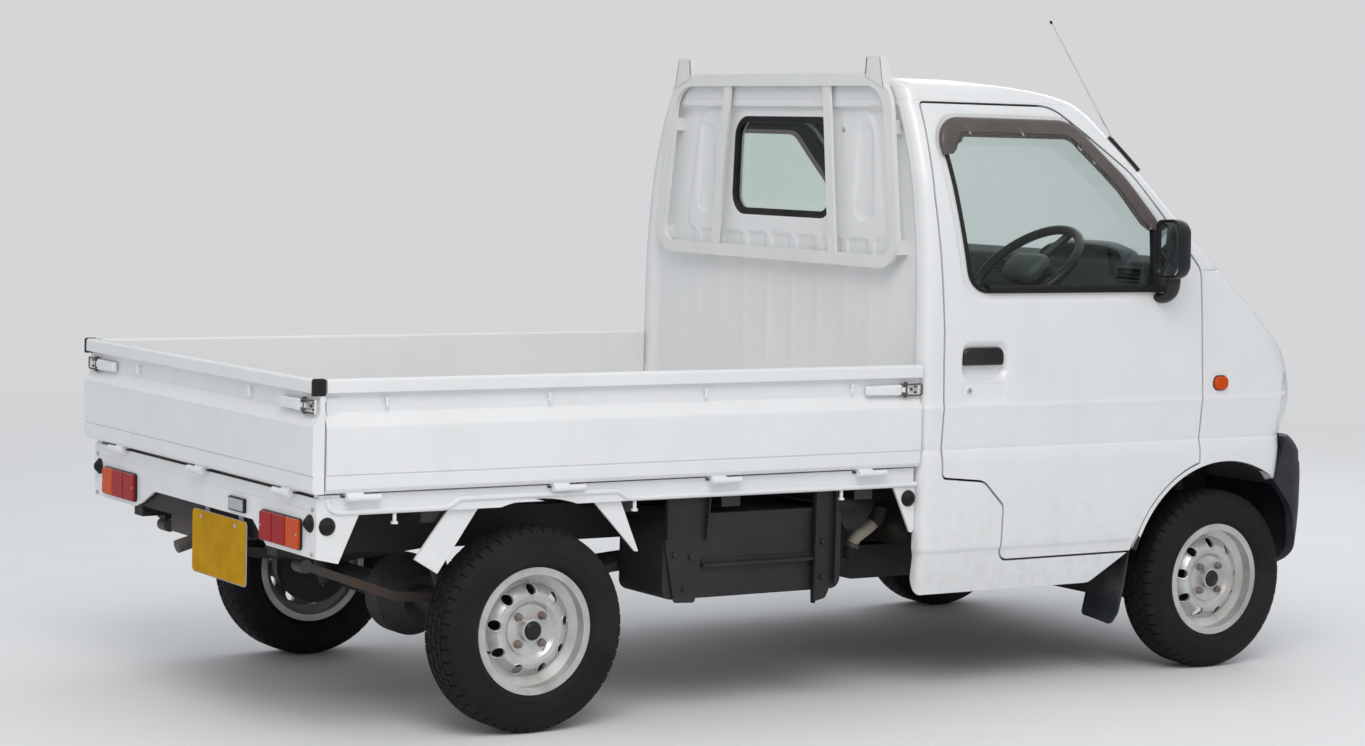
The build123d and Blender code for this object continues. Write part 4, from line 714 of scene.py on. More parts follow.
def make_light():
    """Soft overcast sky with a broad lamp above and a weaker one behind."""
    world = bpy.data.worlds.new("sky")
    world.use_nodes = True
    bpy.context.scene.world = world
    tree = world.node_tree
    backdrop = tree.nodes["Background"]
    backdrop.inputs["Color"].default_value = BACKDROP
    backdrop.inputs["Strength"].default_value = 1.0
    daylight = node(tree, "ShaderNodeBackground", {"Color": (0.94, 0.965, 1.0, 1.0), "Strength": 0.66})
    path = node(tree, "ShaderNodeLightPath")
    seen = maths(tree, "MAXIMUM", path.outputs["Is Camera Ray"], path.outputs["Is Transmission Ray"])
    direction = node(tree, "ShaderNodeTexCoord").outputs["Generated"]
    rise = ramp(tree, heights(tree, direction), -0.05, 0.45)
    shade = blend_colour(tree, rise, (0.30, 0.31, 0.32, 1.0), (1.0, 1.0, 1.0, 1.0))
    sky = node(tree, "ShaderNodeBackground", {"Color": shade, "Strength": 0.85})
    glossy = node(tree, "ShaderNodeMixShader", {
        0: path.outputs["Is Glossy Ray"], 1: daylight.outputs[0], 2: sky.outputs[0]})
    mixed = node(tree, "ShaderNodeMixShader", {0: seen, 1: glossy.outputs[0], 2: backdrop.outputs[0]})
    tree.links.new(mixed.outputs[0], tree.nodes["World Output"].inputs["Surface"])
    lamps = [
        # name, place, aim, size, watts, colour
        ("key", (-3.5, -5.5, 6.5), (0.0, 0.0, 0.8), 5.0, 300.0, (1.0, 0.98, 0.95)),
        ("fill", (5.5, 3.0, 5.0), (0.0, 0.0, 0.8), 5.0, 90.0, (0.93, 0.96, 1.0)),
    ]
    for name, place, aim, size, watts, colour in lamps:
        data = bpy.data.lights.new(name, "AREA")
        data.size = size
        data.energy = watts
        data.color = colour
        lamp = bpy.data.objects.new(name, data)
        lamp.location = place
        lamp.rotation_euler = (Vector(aim) - Vector(place)).to_track_quat("-Z", "Y").to_euler()
        bpy.context.scene.collection.objects.link(lamp)


def make_floor():
    """Plain pale floor that runs out of sight."""
    size = 60000.0
    floor = mesh_piece("floor", [(-size, -size, 0), (size, -size, 0), (size, size, 0), (-size, size, 0)],
                       [(0, 1, 2, 3)], smooth=False)
    material, tree, shader = blank_material("pale_floor")
    place = place_of(tree)
    cloud = noise(tree, place, 3.0, 6.0, 0.6)
    shade = blend_colour(tree, cloud, (0.80, 0.805, 0.81, 1.0), (0.84, 0.845, 0.85, 1.0))
    tree.links.new(shade, shader.inputs["Base Color"])
    shader.inputs["Roughness"].default_value = 0.85
    bumped(tree, shader, noise(tree, place, 260.0, 3.0), 0.12, 0.001)
    reach = node(tree, "ShaderNodeVectorMath", {0: place}, operation="LENGTH").outputs["Value"]
    seen = node(tree, "ShaderNodeLightPath").outputs["Is Camera Ray"]
    far = maths(tree, "MULTIPLY", ramp(tree, reach, FLOOR_FADE[0], FLOOR_FADE[1]), seen)
    haze = node(tree, "ShaderNodeEmission", {"Color": BACKDROP, "Strength": 1.0})
    faded = node(tree, "ShaderNodeMixShader", {0: far, 1: shader.outputs[0], 2: haze.outputs[0]})
    tree.links.new(faded.outputs[0], tree.nodes["Material Output"].inputs["Surface"])
    floor.data.materials.append(material)


bpy.context.scene.view_settings.view_transform = "Standard"
make_camera()
make_light()
make_floor()


# CAD pieces that stay: their finish and softened edges

KEPT = [
    # nodes, material, edge radius
    (("bed_rails", "mudguards", "rear_panel"), "white", (1.5, 1.0, 1.5)),
    (("gate_left", "gate_right", "tailgate"), "white", (1.2, 1.2, 1.2)),
    (("bed_floor",), "bed_white", (1.5,)),
    (("guard_frame", "guard_bars"), "guard_white", (2.0, 2.0)),
    (("cab_floor", "chassis_frame", "fuel_tank", "lower_arms"), "chassis", (1.0, 2.0, 4.0, 1.5)),
    (("engine", "rear_axle"), "casting", (4.0, 2.0)),
    (("front_drive", "knuckle_left", "knuckle_right"), "casting", (1.5, 1.5, 1.5)),
    (("exhaust", "leaf_springs"), "old_steel", (2.0, 1.0)),
    (("dashboard",), "dash", (4.0,)),
    (("steering_wheel",), "black_plastic", (1.0,)),
    (("rim_front_left", "rim_front_right"), "silver", (0.5, 0.5)),
    (("rim_rear_left", "rim_rear_right"), "silver", (0.5, 0.5)),
]
for names, finish, widths in KEPT:
    for name, width in zip(names, widths):
        dress(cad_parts[name], finish)
        soften(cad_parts[name], width, segments=2)


# Cab shell, doors and glass

DOOR_OUTLINE = [
    (254.0, 618.0), (401.0, 604.0), (476.0, 530.0), (472.0, 376.0), (1205.0, 376.0), (1205.0, 862.0),
    (1188.0, 1191.0), (940.0, 1467.0), (690.0, 1652.0), (223.0, 1652.0), (223.0, 1400.0), (248.0, 1030.0),
]
DOOR_RADII = [12.0, 45.0, 30.0, 25.0, 0.0, 0.0, 60.0, 300.0, 140.0, 10.0, 300.0, 300.0]
WINDOW_OUTLINE = [
    (335.0, 1131.0), (1068.0, 1131.0), (1068.0, 1262.0), (905.0, 1445.0), (735.0, 1602.0), (262.0, 1602.0),
    (285.0, 1450.0),
]
WINDOW_RADII = [70.0, 15.0, 30.0, 200.0, 120.0, 60.0, 200.0]
DOOR_GROW = 1.5
OPENING_GROW = 7.5
DOOR_THICK = 36.0
SHELL_THICK = 30.0
LIP_RADIUS = ARCH_RADIUS + 11.0
DOOR_ARCH = ARCH_RADIUS + 17.0
SCREEN_LOW_Z = 1122.0
SCREEN_TOP_Z = 1640.0
SCREEN_EDGE = 75.0
SCREEN_CORNERS = (60.0, 70.0)
REAR_EDGE_U = 151.2
SILL_Z = 285.0
NOSE_Z = 691.0
HOOD_SEAM_Z = 1190.0
HOOD_FROM_U = 1190.0
NOSE_FADE = (1530.0, 1640.0)

# Offset of the side from its sections by height: crest, undercut line, shelf, and turned-in sill
SIDE_FORM = monotone([
    (280.0, -9.0), (330.0, -6.0), (398.0, -4.5), (404.0, -3.6), (411.0, 0.4), (430.0, 0.8), (600.0, 1.2),
    (652.0, 1.4), (659.0, 0.8), (685.0, -5.0), (689.5, -6.4), (693.0, -9.0), (696.5, -7.6), (700.0, -7.0),
    (800.0, 1.4), (806.0, 3.0), (810.0, 3.6), (814.0, 3.2), (822.0, 0.9), (834.0, 0.0), (1100.0, 0.0),
    (1800.0, 0.0),
])
# Heights at which the mesh follows those lines and the seam beside the hood
SIDE_ROWS = [
    398.0, 402.0, 406.0, 411.0, 652.0, 659.0, 685.0, 688.0, 690.5, 693.0, 695.5, 698.0, 802.0, 805.0, 808.0,
    810.0, 812.5, 815.0, 819.0, 824.0, 832.0, 1187.5, 1189.2, 1190.8, 1192.5,
]


def side_form(u, z):
    """Press lines of the side, fading out round the nose."""
    fade = 1 - ease(u, *NOSE_FADE)
    seam = 3.5 * (1 - ease(np.abs(z - HOOD_SEAM_Z), 0.8, 2.4)) * (u > HOOD_FROM_U)
    return SIDE_FORM(z)[:, 0] * fade - seam


def arch(radius, low=0, high=357):
    """Points round the front wheel arch between two angles in degrees."""
    count = int(abs(high - low) / 3.0) + 1
    turns = [math.radians(low + (high - low) * i / count) for i in range(count + 1)]
    return np.array([(FRONT_AXLE_X + radius * math.cos(t), AXLE_Z + radius * math.sin(t)) for t in turns])


def off_arch(u, z):
    """Distance of points from the front axle."""
    return np.hypot(u - FRONT_AXLE_X, z - AXLE_Z)


def level_run(z, first, last, count):
    """Points of a level line between two values of u."""
    return columns(np.linspace(first, last, count), z)


def middle_run(skin, first, last, count):
    """Points of a skin's middle line between two heights."""
    return np.array([(skin.middle(z), z) for z in np.linspace(first, last, count)])


def door_opening(grow):
    """Door outline grown by an amount, as dense points in u and z."""
    radii = [r + (grow if i not in (1, 2) else -grow) if r else 0 for i, r in enumerate(DOOR_RADII)]
    return CAB.to_u(rounded(grown(DOOR_OUTLINE, grow), radii))


door_loop = door_opening(DOOR_GROW)
opening_loop = door_opening(OPENING_GROW)
window_loop = CAB.to_u(rounded(WINDOW_OUTLINE, WINDOW_RADII))


def screen_edge(grow):
    """Edge of the windscreen opening on the right half, with a rounded lower and upper corner."""
    low, top = SCREEN_LOW_Z - grow, SCREEN_TOP_Z + grow
    rows = np.linspace(low, top, 60)
    half = CAB.shape(rows)[0] - SCREEN_EDGE + grow
    for end, radius in zip((low, top), SCREEN_CORNERS):
        near = np.clip(radius - np.abs(rows - end), 0, radius)
        half = half - (radius - np.sqrt(radius ** 2 - near ** 2))
    edge = list(zip(CAB.u_of_y(half, rows), rows))
    top_edge = [(CAB.u_at(y, top), top) for y in np.linspace(half[-1], 0, 24)[1:]]
    low_edge = [(CAB.u_at(y, low), low) for y in np.linspace(0, half[0], 24)[:-1]]
    beyond = [(CAB.middle(z) + 40.0, z) for z in (top, low)]
    return np.array(low_edge + edge + top_edge + beyond)


screen_loop = screen_edge(0.0)
HEADLAMP_U = 1524.0
HEADLAMP_Z = (704.0, 891.0)
HEADLAMP_SIDE = 425.0
HEADLAMP_RADII = [22.0, 14.0, 22.0, 34.0]


def headlamp_loop(grow):
    """Headlamp opening: upright at the side, rising a little towards the middle."""
    low, high = HEADLAMP_Z[0] - grow, HEADLAMP_Z[1] + grow
    outer = HEADLAMP_U - grow
    inner_low, inner_high = (CAB.u_at(HEADLAMP_SIDE - grow, z) for z in (low, high))
    corners = [(outer, low), (inner_low, low + 8), (inner_high - 10, high - 12), (outer + 6, high)]
    return rounded(corners, HEADLAMP_RADII)


# Outline of the right half: rear edge and sill, wheel arch, nose, middle of the front, seam of the roof
STEP = (985.0, 392.0)
NOSE_FOOT = (1512.0, 558.0)
sill = [(REAR_EDGE_U, 428.0), (REAR_EDGE_U, SILL_Z), (819.0, SILL_Z), STEP]
sill_run = rounded(sill, [0.0, 58.0, 40.0, 0.0], closed=False)
arch_run = arch(ARCH_RADIUS, math.degrees(math.atan2(STEP[1] - AXLE_Z, STEP[0] - FRONT_AXLE_X)),
                math.degrees(math.asin((NOSE_FOOT[1] - AXLE_Z) / ARCH_RADIUS)))
nose_line = CAB.to_u([NOSE_FOOT, (1534.5, 624.0), (1557.0, NOSE_Z)])
nose_run = level_run(NOSE_Z, nose_line[-1][0] + 12, CAB.middle(NOSE_Z), 60)
centre_run = middle_run(CAB, NOSE_Z, ROOF_SEAM_Z, 82)[1:]
top_run = level_run(ROOF_SEAM_Z, centre_run[-1][0], REAR_EDGE_U, 120)[1:]
rear_run = np.array([(REAR_EDGE_U, z) for z in np.linspace(ROOF_SEAM_Z, 430.0, 100)[1:]])
shell_loop = np.concatenate([sill_run, arch_run, nose_line[1:], nose_run, centre_run, top_run, rear_run])
lamp_hole = headlamp_loop(0.0)


def in_shell(u, z):
    """Whether a point belongs to the fixed outer panels of the cab."""
    opening = within(opening_loop, u, z) & (off_arch(u, z) > LIP_RADIUS)
    return within(shell_loop, u, z) & ~opening & ~within(screen_loop, u, z) & ~within(lamp_hole, u, z)


shell = panel(
    "cab_shell", [shell_loop, opening_loop, arch(LIP_RADIUS), screen_loop, lamp_hole], in_shell,
    (130.0, 2500.0, SILL_Z, ROOF_SEAM_Z), 15.0, CAB.place, SHELL_THICK, rows=SIDE_ROWS, relief=side_form,
    whole=True)
finish_piece(shell, ["white", "liner"], "root", "body_white", "front_panel", "side_frame_left",
             "side_frame_right")


def in_door(u, z):
    """Whether a point belongs to the door's skin."""
    return within(door_loop, u, z) & ~within(window_loop, u, z) & (off_arch(u, z) > DOOR_ARCH)


# Pressed forms of the door: ledge round the window and the two dishes of the handle
LEDGE_GROW = 24.0
DISH = [(308.0, 883.0), (474.0, 881.0), (474.0, 993.0), (308.0, 993.0)]
DISH_RADII = [38.0, 38.0, 30.0, 30.0]
LOCK_DISH = [(311.0, 828.0), (472.0, 826.0), (472.0, 878.0), (311.0, 880.0)]
LOCK_RADII = [24.0, 24.0, 16.0, 16.0]
dish_loop = rounded(DISH, DISH_RADII, step=6.0)
lock_loop = rounded(LOCK_DISH, LOCK_RADII, step=6.0)
ledge_loop = ringed(WINDOW_OUTLINE, WINDOW_RADII, LEDGE_GROW)


def door_form(u, z):
    """Press lines, window ledge and handle dishes of the door."""
    ledge = 5.0 * (1 - ease(off_edge(ledge_loop, u, z), -5.0, 3.0))
    dish = off_edge(dish_loop, u, z)
    well = 14.0 * (1 - ease(dish, -16.0, 0.5)) * ease(z, 1010.0, 930.0)
    lip = 3.0 * (1 - ease(dish, -4.0, 1.5))
    return side_form(u, z) - ledge - well - lip - 3.0 * (1 - ease(off_edge(lock_loop, u, z), -4.0, 1.5))


door_rings = [ringed(DISH, DISH_RADII, grow, 6.0) for grow in (2.0, -3.0, -9.0, -16.0)]
door_rings += [ringed(LOCK_DISH, LOCK_RADII, grow, 6.0) for grow in (2.0, -4.0)]
door_rings += [ringed(WINDOW_OUTLINE, WINDOW_RADII, LEDGE_GROW + grow) for grow in (4.0, -1.0, -6.0)]
for side_name, side in SIDES:
    skin = panel(
        f"door_skin_{side_name}", [door_loop, window_loop, arch(DOOR_ARCH)] + door_rings, in_door,
        (220.0, 1215.0, 370.0, 1660.0), 14.0, CAB.place, DOOR_THICK, rows=SIDE_ROWS, relief=door_form,
        side=side)
    finish_piece(skin, ["white", "trim"], f"door_{side_name}", "body_white", f"door_{side_name}")

# Side window glass and windscreen, set in from the skin
pane_loop = CAB.to_u(ringed(WINDOW_OUTLINE, WINDOW_RADII, 9.0))
for side_name, side in SIDES:
    pane = panel(f"door_pane_{side_name}", [pane_loop], None, (250.0, 1090.0, 1120.0, 1615.0), 40.0,
                 CAB.sunk(14.0), 4.0, side=side, back_slot=0, bevel=0.5)
    finish_piece(pane, ["glass"], f"door_{side_name}", "glass", f"door_glass_{side_name}")

PANE_GROW = 4.0
pane_z = (SCREEN_LOW_Z - PANE_GROW, SCREEN_TOP_Z + PANE_GROW)
screen_outline = np.concatenate([screen_edge(PANE_GROW)[:-2], middle_run(CAB, pane_z[1], pane_z[0], 60)])
screen = panel("windscreen_pane", [screen_outline], None, (1000.0, 2300.0, *pane_z), 30.0, CAB.sunk(6.0), 5.0,
               whole=True, back_slot=0, bevel=0.5)
finish_piece(screen, ["screen_glass"], "root", "glass", "windscreen")


# Roof: rings from the seam up to the crown

RING_LEVELS = [ROOF_SEAM_Z, 1670, 1678, 1685, 1691, 1696, 1701, 1705, 1709, 1712, 1715, 1717.5, 1720,
               ROOF_TOP_Z]
RING_COLUMNS = 90
CROWN_RINGS = 9


def roof_ring(z, depth, height):
    """Closed ring round the cab at a level, right half first."""
    level = np.full(RING_COLUMNS, float(z))
    back = REAR_WALL_X + REAR_TURN - REAR_TURN * math.pi / 2
    low_u = back - (CAB.shape(level)[0][0] - REAR_TURN)
    u = low_u + (CAB.middle(z) - low_u) * np.linspace(0, 1, RING_COLUMNS)
    right = CAB.place(u, level, depth)
    right[:, 2] = height
    return np.concatenate([right, right[-2:0:-1] * MIRROR])


def make_roof():
    """Roof skin with its crown, and the liner under it."""
    layers = []
    for depth, drop in ((0.0, 0.0), (SHELL_THICK, CEILING_DROP)):
        rings = []
        for z in RING_LEVELS:
            share = (z - ROOF_SEAM_Z) / (ROOF_TOP_Z - ROOF_SEAM_Z)
            rings.append(roof_ring(z, depth, z - drop * share))
        rim = rings[-1]
        spine = np.clip(rim[:, 0], 330.0, 390.0)
        for ring in range(1, CROWN_RINGS + 1):
            t = ring / CROWN_RINGS
            shrunk = rim.copy()
            shrunk[:, 0] = rim[:, 0] + (spine - rim[:, 0]) * t
            shrunk[:, 1] = rim[:, 1] * (1 - t)
            shrunk[:, 2] = rim[:, 2] + ROOF_CROWN * (1 - (1 - t) ** 2.4)
            rings.append(shrunk)
        layers.append(rings)
    count = len(layers[0][0])
    points = np.concatenate([ring for rings in layers for ring in rings])
    outer = ring_sides(len(layers[0]), count)
    first = count * len(layers[0])
    inner = [tuple(i + first for i in reversed(face)) for face in outer]
    rim = [((i + 1) % count, i, i + first, (i + 1) % count + first) for i in range(count)]
    slots = [0] * len(outer) + [1] * len(inner) + [0] * count
    roof = mesh_piece("roof_skin", points, outer + inner + rim, face_slots=slots)
    roof.modifiers.new("weld", "WELD").merge_threshold = 0.0002
    soften(roof, 2.0, segments=2, angle=50.0)
    finish_piece(roof, ["white", "liner"], "root", "body_white", "roof")


make_roof()


# Front bumper

BUMPER_ARCH = [(1512.0, 559.0), (1590.0, 470.0), (1630.0, 345.0), (1632.0, 285.0)]
BUMPER_SEAM = (1559.0, 689.0)
BUMPER_FOOT = (1585.0, 274.0)
BUMPER_LOW_Z = BUMPER_FOOT[1]
BUMPER_TOP_Z = BUMPER_SEAM[1]
INTAKE = [(340.0, 350.0), (308.0, 440.0), (-60.0, 440.0), (-60.0, 350.0)]
start_u = BUMPER.to_u([BUMPER_FOOT])[0][0]
low_run = level_run(BUMPER_LOW_Z, start_u, BUMPER.middle(BUMPER_LOW_Z), 70)
mid_run = middle_run(BUMPER, BUMPER_LOW_Z, BUMPER_TOP_Z, 34)[1:]
high_run = level_run(BUMPER_TOP_Z, mid_run[-1][0], BUMPER.to_u([BUMPER_SEAM])[0][0], 70)[1:]
seam_run = BUMPER.to_u(rounded([BUMPER_SEAM, (1514.0, 560.0)], 0, closed=False))
arch_side = BUMPER.to_u(rounded(BUMPER_ARCH, [0.0, 150.0, 100.0, 0.0], closed=False))
bumper_loop = np.concatenate([low_run, mid_run, high_run, seam_run[1:-1], arch_side])
intake_loop = np.array([(BUMPER.u_at(abs(y), z) + (0 if y >= 0 else 80.0), z)
                        for y, z in rounded(INTAKE, [18.0, 18.0, 0.0, 0.0])])


def in_bumper(u, z):
    """Whether a point belongs to the bumper and not to its air intake."""
    return within(bumper_loop, u, z) & ~within(intake_loop, u, z)


def bumper_form(u, z):
    """Shallow step along the bumper below its top, and a rolled lower edge."""
    return -4.0 * (1 - ease(z, 276.0, 300.0)) - 2.5 * ease(z, 606.0, 612.0) * (1 - ease(z, 612.0, 650.0))


bumper = panel(
    "bumper_skin", [bumper_loop, intake_loop], in_bumper, (1500.0, 2600.0, BUMPER_LOW_Z, BUMPER_TOP_Z), 16.0,
    BUMPER.place, 26.0, rows=(280.0, 606.0, 609.0, 612.0), relief=bumper_form, whole=True, back_slot=0,
    bevel=4.0)
finish_piece(bumper, ["dark_plastic"], "root", "black_plastic", "front_bumper")


# Small pieces: parts are points and faces, joined into one object with a slot for each finish

OUTWARD = (0, -1, 0)
REARWARD = (-1, 0, 0)
AXIS_RADIUS = 0.01


def basis(axis):
    """Two directions at right angles to an axis, and the axis itself."""
    axis = Vector(axis).normalized()
    first = axis.orthogonal() if abs(axis.z) > 0.95 else Vector((0, 0, 1)).cross(axis)
    first = first.normalized()
    return np.array(first), np.array(axis.cross(first)), np.array(axis)


def lathe(profile, centre, axis=(0, 1, 0), count=48, turns=None):
    """Closed profile of radius and offset points, turned round an axis through a centre."""
    first, second, along = basis(axis)
    turns = np.arange(count) * 2 * math.pi / count if turns is None else turns
    count = len(turns)
    spokes = np.cos(turns)[:, None] * first + np.sin(turns)[:, None] * second
    rows = [spokes * radius + along * offset + np.asarray(centre, float) for radius, offset in profile]
    faces = []
    for row in range(len(profile)):
        after = (row + 1) % len(profile)
        for i in range(count):
            j = (i + 1) % count
            faces.append((row * count + i, row * count + j, after * count + j, after * count + i))
    return np.concatenate(rows), faces


def turned(profile, top, centre, axis, count):
    """Full turned form with its foot at the first offset, closed on the axis at a top."""
    return lathe([*profile, (AXIS_RADIUS, top), (AXIS_RADIUS, profile[0][1])], centre, axis, count)


def directions(path, closed):
    """Unit directions along a path."""
    along = np.roll(path, -1, axis=0) - np.roll(path, 1, axis=0) if closed else np.gradient(path, axis=0)
    return along / np.linalg.norm(along, axis=1)[:, None]


def strip(path, normals, section, closed=True):
    """Section of outward and sideways points, swept along a path on a surface with one or more normals."""
    path = np.asarray(path, float)
    normals = np.broadcast_to(np.asarray(normals, float), path.shape)
    tangents = directions(path, closed)
    sideways = np.cross(tangents, normals)
    sideways /= np.linalg.norm(sideways, axis=1)[:, None]
    outward = np.cross(sideways, tangents)
    outward *= np.sign((outward * normals).sum(1))[:, None]
    section = np.asarray(section, float)
    points = path[:, None] + outward[:, None] * section[None, :, :1]
    points = points + sideways[:, None] * section[None, :, 1:]
    count, width = len(path), len(section)
    faces = []
    for i in range(count if closed else count - 1):
        j = (i + 1) % count
        for k in range(width):
            m = (k + 1) % width
            faces.append((i * width + k, i * width + m, j * width + m, j * width + k))
    if not closed:
        faces.append(tuple(range(width)))
        faces.append(tuple((count - 1) * width + k for k in reversed(range(width))))
    return points.reshape(-1, 3), faces


def tube(path, radius, sides=10, closed=False):
    """Round bar along a path."""
    path = np.asarray(path, float)
    tangents = directions(path, closed)
    normal = basis(tangents[0])[0]
    normals = []
    for tangent in tangents:
        normal = normal - tangent * np.dot(normal, tangent)
        normal /= np.linalg.norm(normal)
        normals.append(normal)
    turns = np.arange(sides) * 2 * math.pi / sides
    section = np.stack([radius * np.cos(turns), radius * np.sin(turns)], axis=1)
    return strip(path, normals, section, closed)


def curve(points, step=6.0):
    """Points of a smooth open curve through a few points."""
    points = [np.asarray(p, float) for p in points]
    count = len(points)
    result = []
    for i in range(count - 1):
        b, c = points[i], points[i + 1]
        a = points[i - 1] if i else 2 * b - c
        d = points[i + 2] if i + 2 < count else 2 * c - b
        parts = max(2, int(np.linalg.norm(c - b) / step))
        for t in np.arange(parts) / parts:
            result.append(0.5 * (2 * b + (c - a) * t + (2 * a - 5 * b + 4 * c - d) * t ** 2
                                 + (3 * b - a - 3 * c + d) * t ** 3))
    return np.array([*result, points[-1]])


AXES = {
    # plane: the outline's two axes, and the axis that it is drawn out along
    "side": [0, 2, 1],
    "back": [1, 2, 0],
}


def slab(plane, points, low, high):
    """Outline on a plane, drawn out between two levels."""
    points = np.asarray(points, float)
    rings = np.empty((2, len(points), 3))
    for ring, level in zip(rings, (low, high)):
        ring[:, AXES[plane]] = np.column_stack([points, np.full(len(points), level)])
    return solid(rings)


def box_loop(first, second, radius, step=8.0):
    """Rounded rectangle between two low and high pairs."""
    corners = [(first[0], second[0]), (first[1], second[0]), (first[1], second[1]), (first[0], second[1])]
    return rounded(corners, radius, step=step)


def hexagon(centre, axis, across_flats, height, chamfer=1.2):
    """Hexagonal head or nut with a chamfered top."""
    radius = across_flats / math.sqrt(3)
    profile = [(radius, 0), (radius, height - chamfer), (radius - chamfer * 1.4, height)]
    return turned(profile, height, centre, axis, 6)


def facing_back(x):
    """Place of a y, z outline at a distance behind a plane that faces the rear."""
    return lambda points, level: columns(x - level, *points.T)


def stacked(outline, rows, place):
    """Closed form from an outline that shrinks from level to level, given as level and shrinkage."""
    outline = np.asarray(outline, float)
    centre = (outline.max(axis=0) + outline.min(axis=0)) / 2
    size = (outline.max(axis=0) - outline.min(axis=0)) / 2
    return solid([place(centre + (outline - centre) * (1 - shrink / size), level) for level, shrink in rows])


def sided(parts, side):
    """Parts made for the right side, or mirrored for the left."""
    return [(points * np.array([1, -side, 1]), faces, slot) for points, faces, slot in parts]


def both_sides(parts):
    """Parts made for the right side, and their twins on the left."""
    return sided(parts, -1) + sided(parts, 1)


def build(name, parts, finishes, body, slot, *nodes, edge=0.0, angle=35.0):
    """One object from parts, with each part's finish, riding on a body."""
    points, faces, slots = [], [], []
    total = 0
    for part_points, part_faces, part_slot in parts:
        points.append(np.asarray(part_points, float))
        faces += [tuple(int(i) + total for i in face) for face in part_faces]
        slots += [part_slot] * len(part_faces)
        total += len(part_points)
    obj = mesh_piece(name, np.concatenate(points), faces, face_slots=slots)
    work = bmesh.new()
    work.from_mesh(obj.data)
    bmesh.ops.remove_doubles(work, verts=work.verts, dist=1e-6)
    bmesh.ops.recalc_face_normals(work, faces=work.faces)
    work.to_mesh(obj.data)
    work.free()
    obj.data.set_sharp_from_angle(angle=math.radians(angle))
    if edge:
        soften(obj, edge, segments=2)
    return finish_piece(obj, finishes, body, slot, *nodes)


def skin_frame(skin, loop, depth=0.0):
    """Points of a u, z loop on a skin and the directions straight out of it."""
    u, z = loop[:, 0], loop[:, 1]
    along = skin.place(u + 1, z) - skin.place(u - 1, z)
    up = skin.place(u, z + 1) - skin.place(u, z - 1)
    normals = np.cross(along, up)
    normals /= np.linalg.norm(normals, axis=1)[:, None]
    return skin.place(u, z, depth), normals


# Wheels: tyres with their tread, vent lips, nuts and caps

TYRE_SIDE = [
    # radius and half width, from bead to shoulder
    (152.6, 50.4), (158.0, 52.6), (166.5, 52.8), (168.5, 57.5), (173.0, 62.5), (178.0, 66.0), (180.0, 68.4),
    (184.0, 69.0), (187.0, 68.2), (196.0, 70.2), (206.0, 71.2), (207.0, 71.6), (209.0, 71.6), (210.0, 71.2),
    (222.0, 70.6), (232.0, 69.0), (239.0, 67.0), (240.5, 67.6), (243.5, 66.6), (245.0, 65.0), (252.0, 62.4),
    (257.5, 58.6), (261.5, 53.5), (264.0, 47.5),
]
TREAD_GROOVES = [-36.0, -13.0, 13.0, 36.0]
GROOVE_HALF = 3.4
GROOVE_DEPTH = 6.0
GROOVE = [
    # offset, depth
    (GROOVE_HALF, 0.0), (GROOVE_HALF - 1, GROOVE_DEPTH), (1 - GROOVE_HALF, GROOVE_DEPTH), (-GROOVE_HALF, 0.0),
]
TYRE_RADIUS = 266.0
CROWN_EDGE = (TYRE_RADIUS - 0.5, 41.0)
CROWN_BEND = 0.0004
SHOULDER_CUT = 5.0
RIB_CUT = 2.6
TREAD_PITCHES = 50
PITCH_STEPS = [0.0, 0.08, 0.13, 0.45, 0.5, 0.58, 0.63, 0.95]
# Outer face of the wheel's disc: radius, distance out from the middle plane
DISC = monotone([(-31.0, -30.0), (31.0, 30.0), (66.0, 30.0), (76.0, 38.0), (88.0, 42.0), (100.0, 38.0),
                 (118.0, 20.0), (127.0, 9.0)])
VENT_COUNT = 9
VENT_CIRCLE = 106.0
VENT_LIP_RADIUS = 15.2
NUT_COUNT = 4
NUT_CIRCLE = 50.0
NUT_SEAT = 29.5
HUB_CAP = [(24.0, 44.0), (24.0, 48.5), (22.0, 52.0), (17.0, 54.5)]
HUB_RING = [(30.5, 34.0), (31.5, 43.0), (30.0, 46.5), (26.0, 47.8), (23.5, 46.0), (23.5, 34.0)]
RIM_BEAD = [(126.5, 8.0), (129.5, 13.5), (124.0, 15.0), (120.5, 17.0), (121.5, 11.0)]
VALVE_TURN = math.radians(200)
VALVE = [(146, 26), (141, 40), (137, 52)]


def tyre_parts(centre):
    """Tyre with side rings, grooves round the tread and cuts across its ribs."""
    crown = [CROWN_EDGE]
    for groove in reversed(TREAD_GROOVES):
        crown += [(TYRE_RADIUS - drop - CROWN_BEND * groove ** 2, groove + offset) for offset, drop in GROOVE]
    crown.append((CROWN_EDGE[0], -CROWN_EDGE[1]))
    profile = TYRE_SIDE + crown + [(radius, -offset) for radius, offset in reversed(TYRE_SIDE)]
    turns = np.array([pitch + step for pitch in range(TREAD_PITCHES) for step in PITCH_STEPS])
    turns = turns * 2 * math.pi / TREAD_PITCHES
    points, faces = lathe(profile, (0, 0, 0), turns=turns)
    rows = np.repeat(np.arange(len(profile)), len(turns))
    column = np.tile(np.arange(len(turns)) % len(PITCH_STEPS), len(profile))
    radius, offset = np.array(profile)[rows].T
    off = np.abs(offset)
    shoulder = (off > 39.0) & (radius > 256.0)
    inner = (off < 33.0) & (off > 16.0) & (radius > 262.0)
    middle = (off < 10.0) & (radius > 262.0)
    cut = ((shoulder | middle) & np.isin(column, (0, 1))) | (inner & np.isin(column, (4, 5)))
    depth = np.where(cut, np.where(shoulder, SHOULDER_CUT, RIB_CUT), 0.0)
    scale = 1 - depth / np.maximum(np.hypot(points[:, 0], points[:, 2]), 1)
    points[:, 0] *= scale
    points[:, 2] *= scale
    return points + np.array(centre), faces


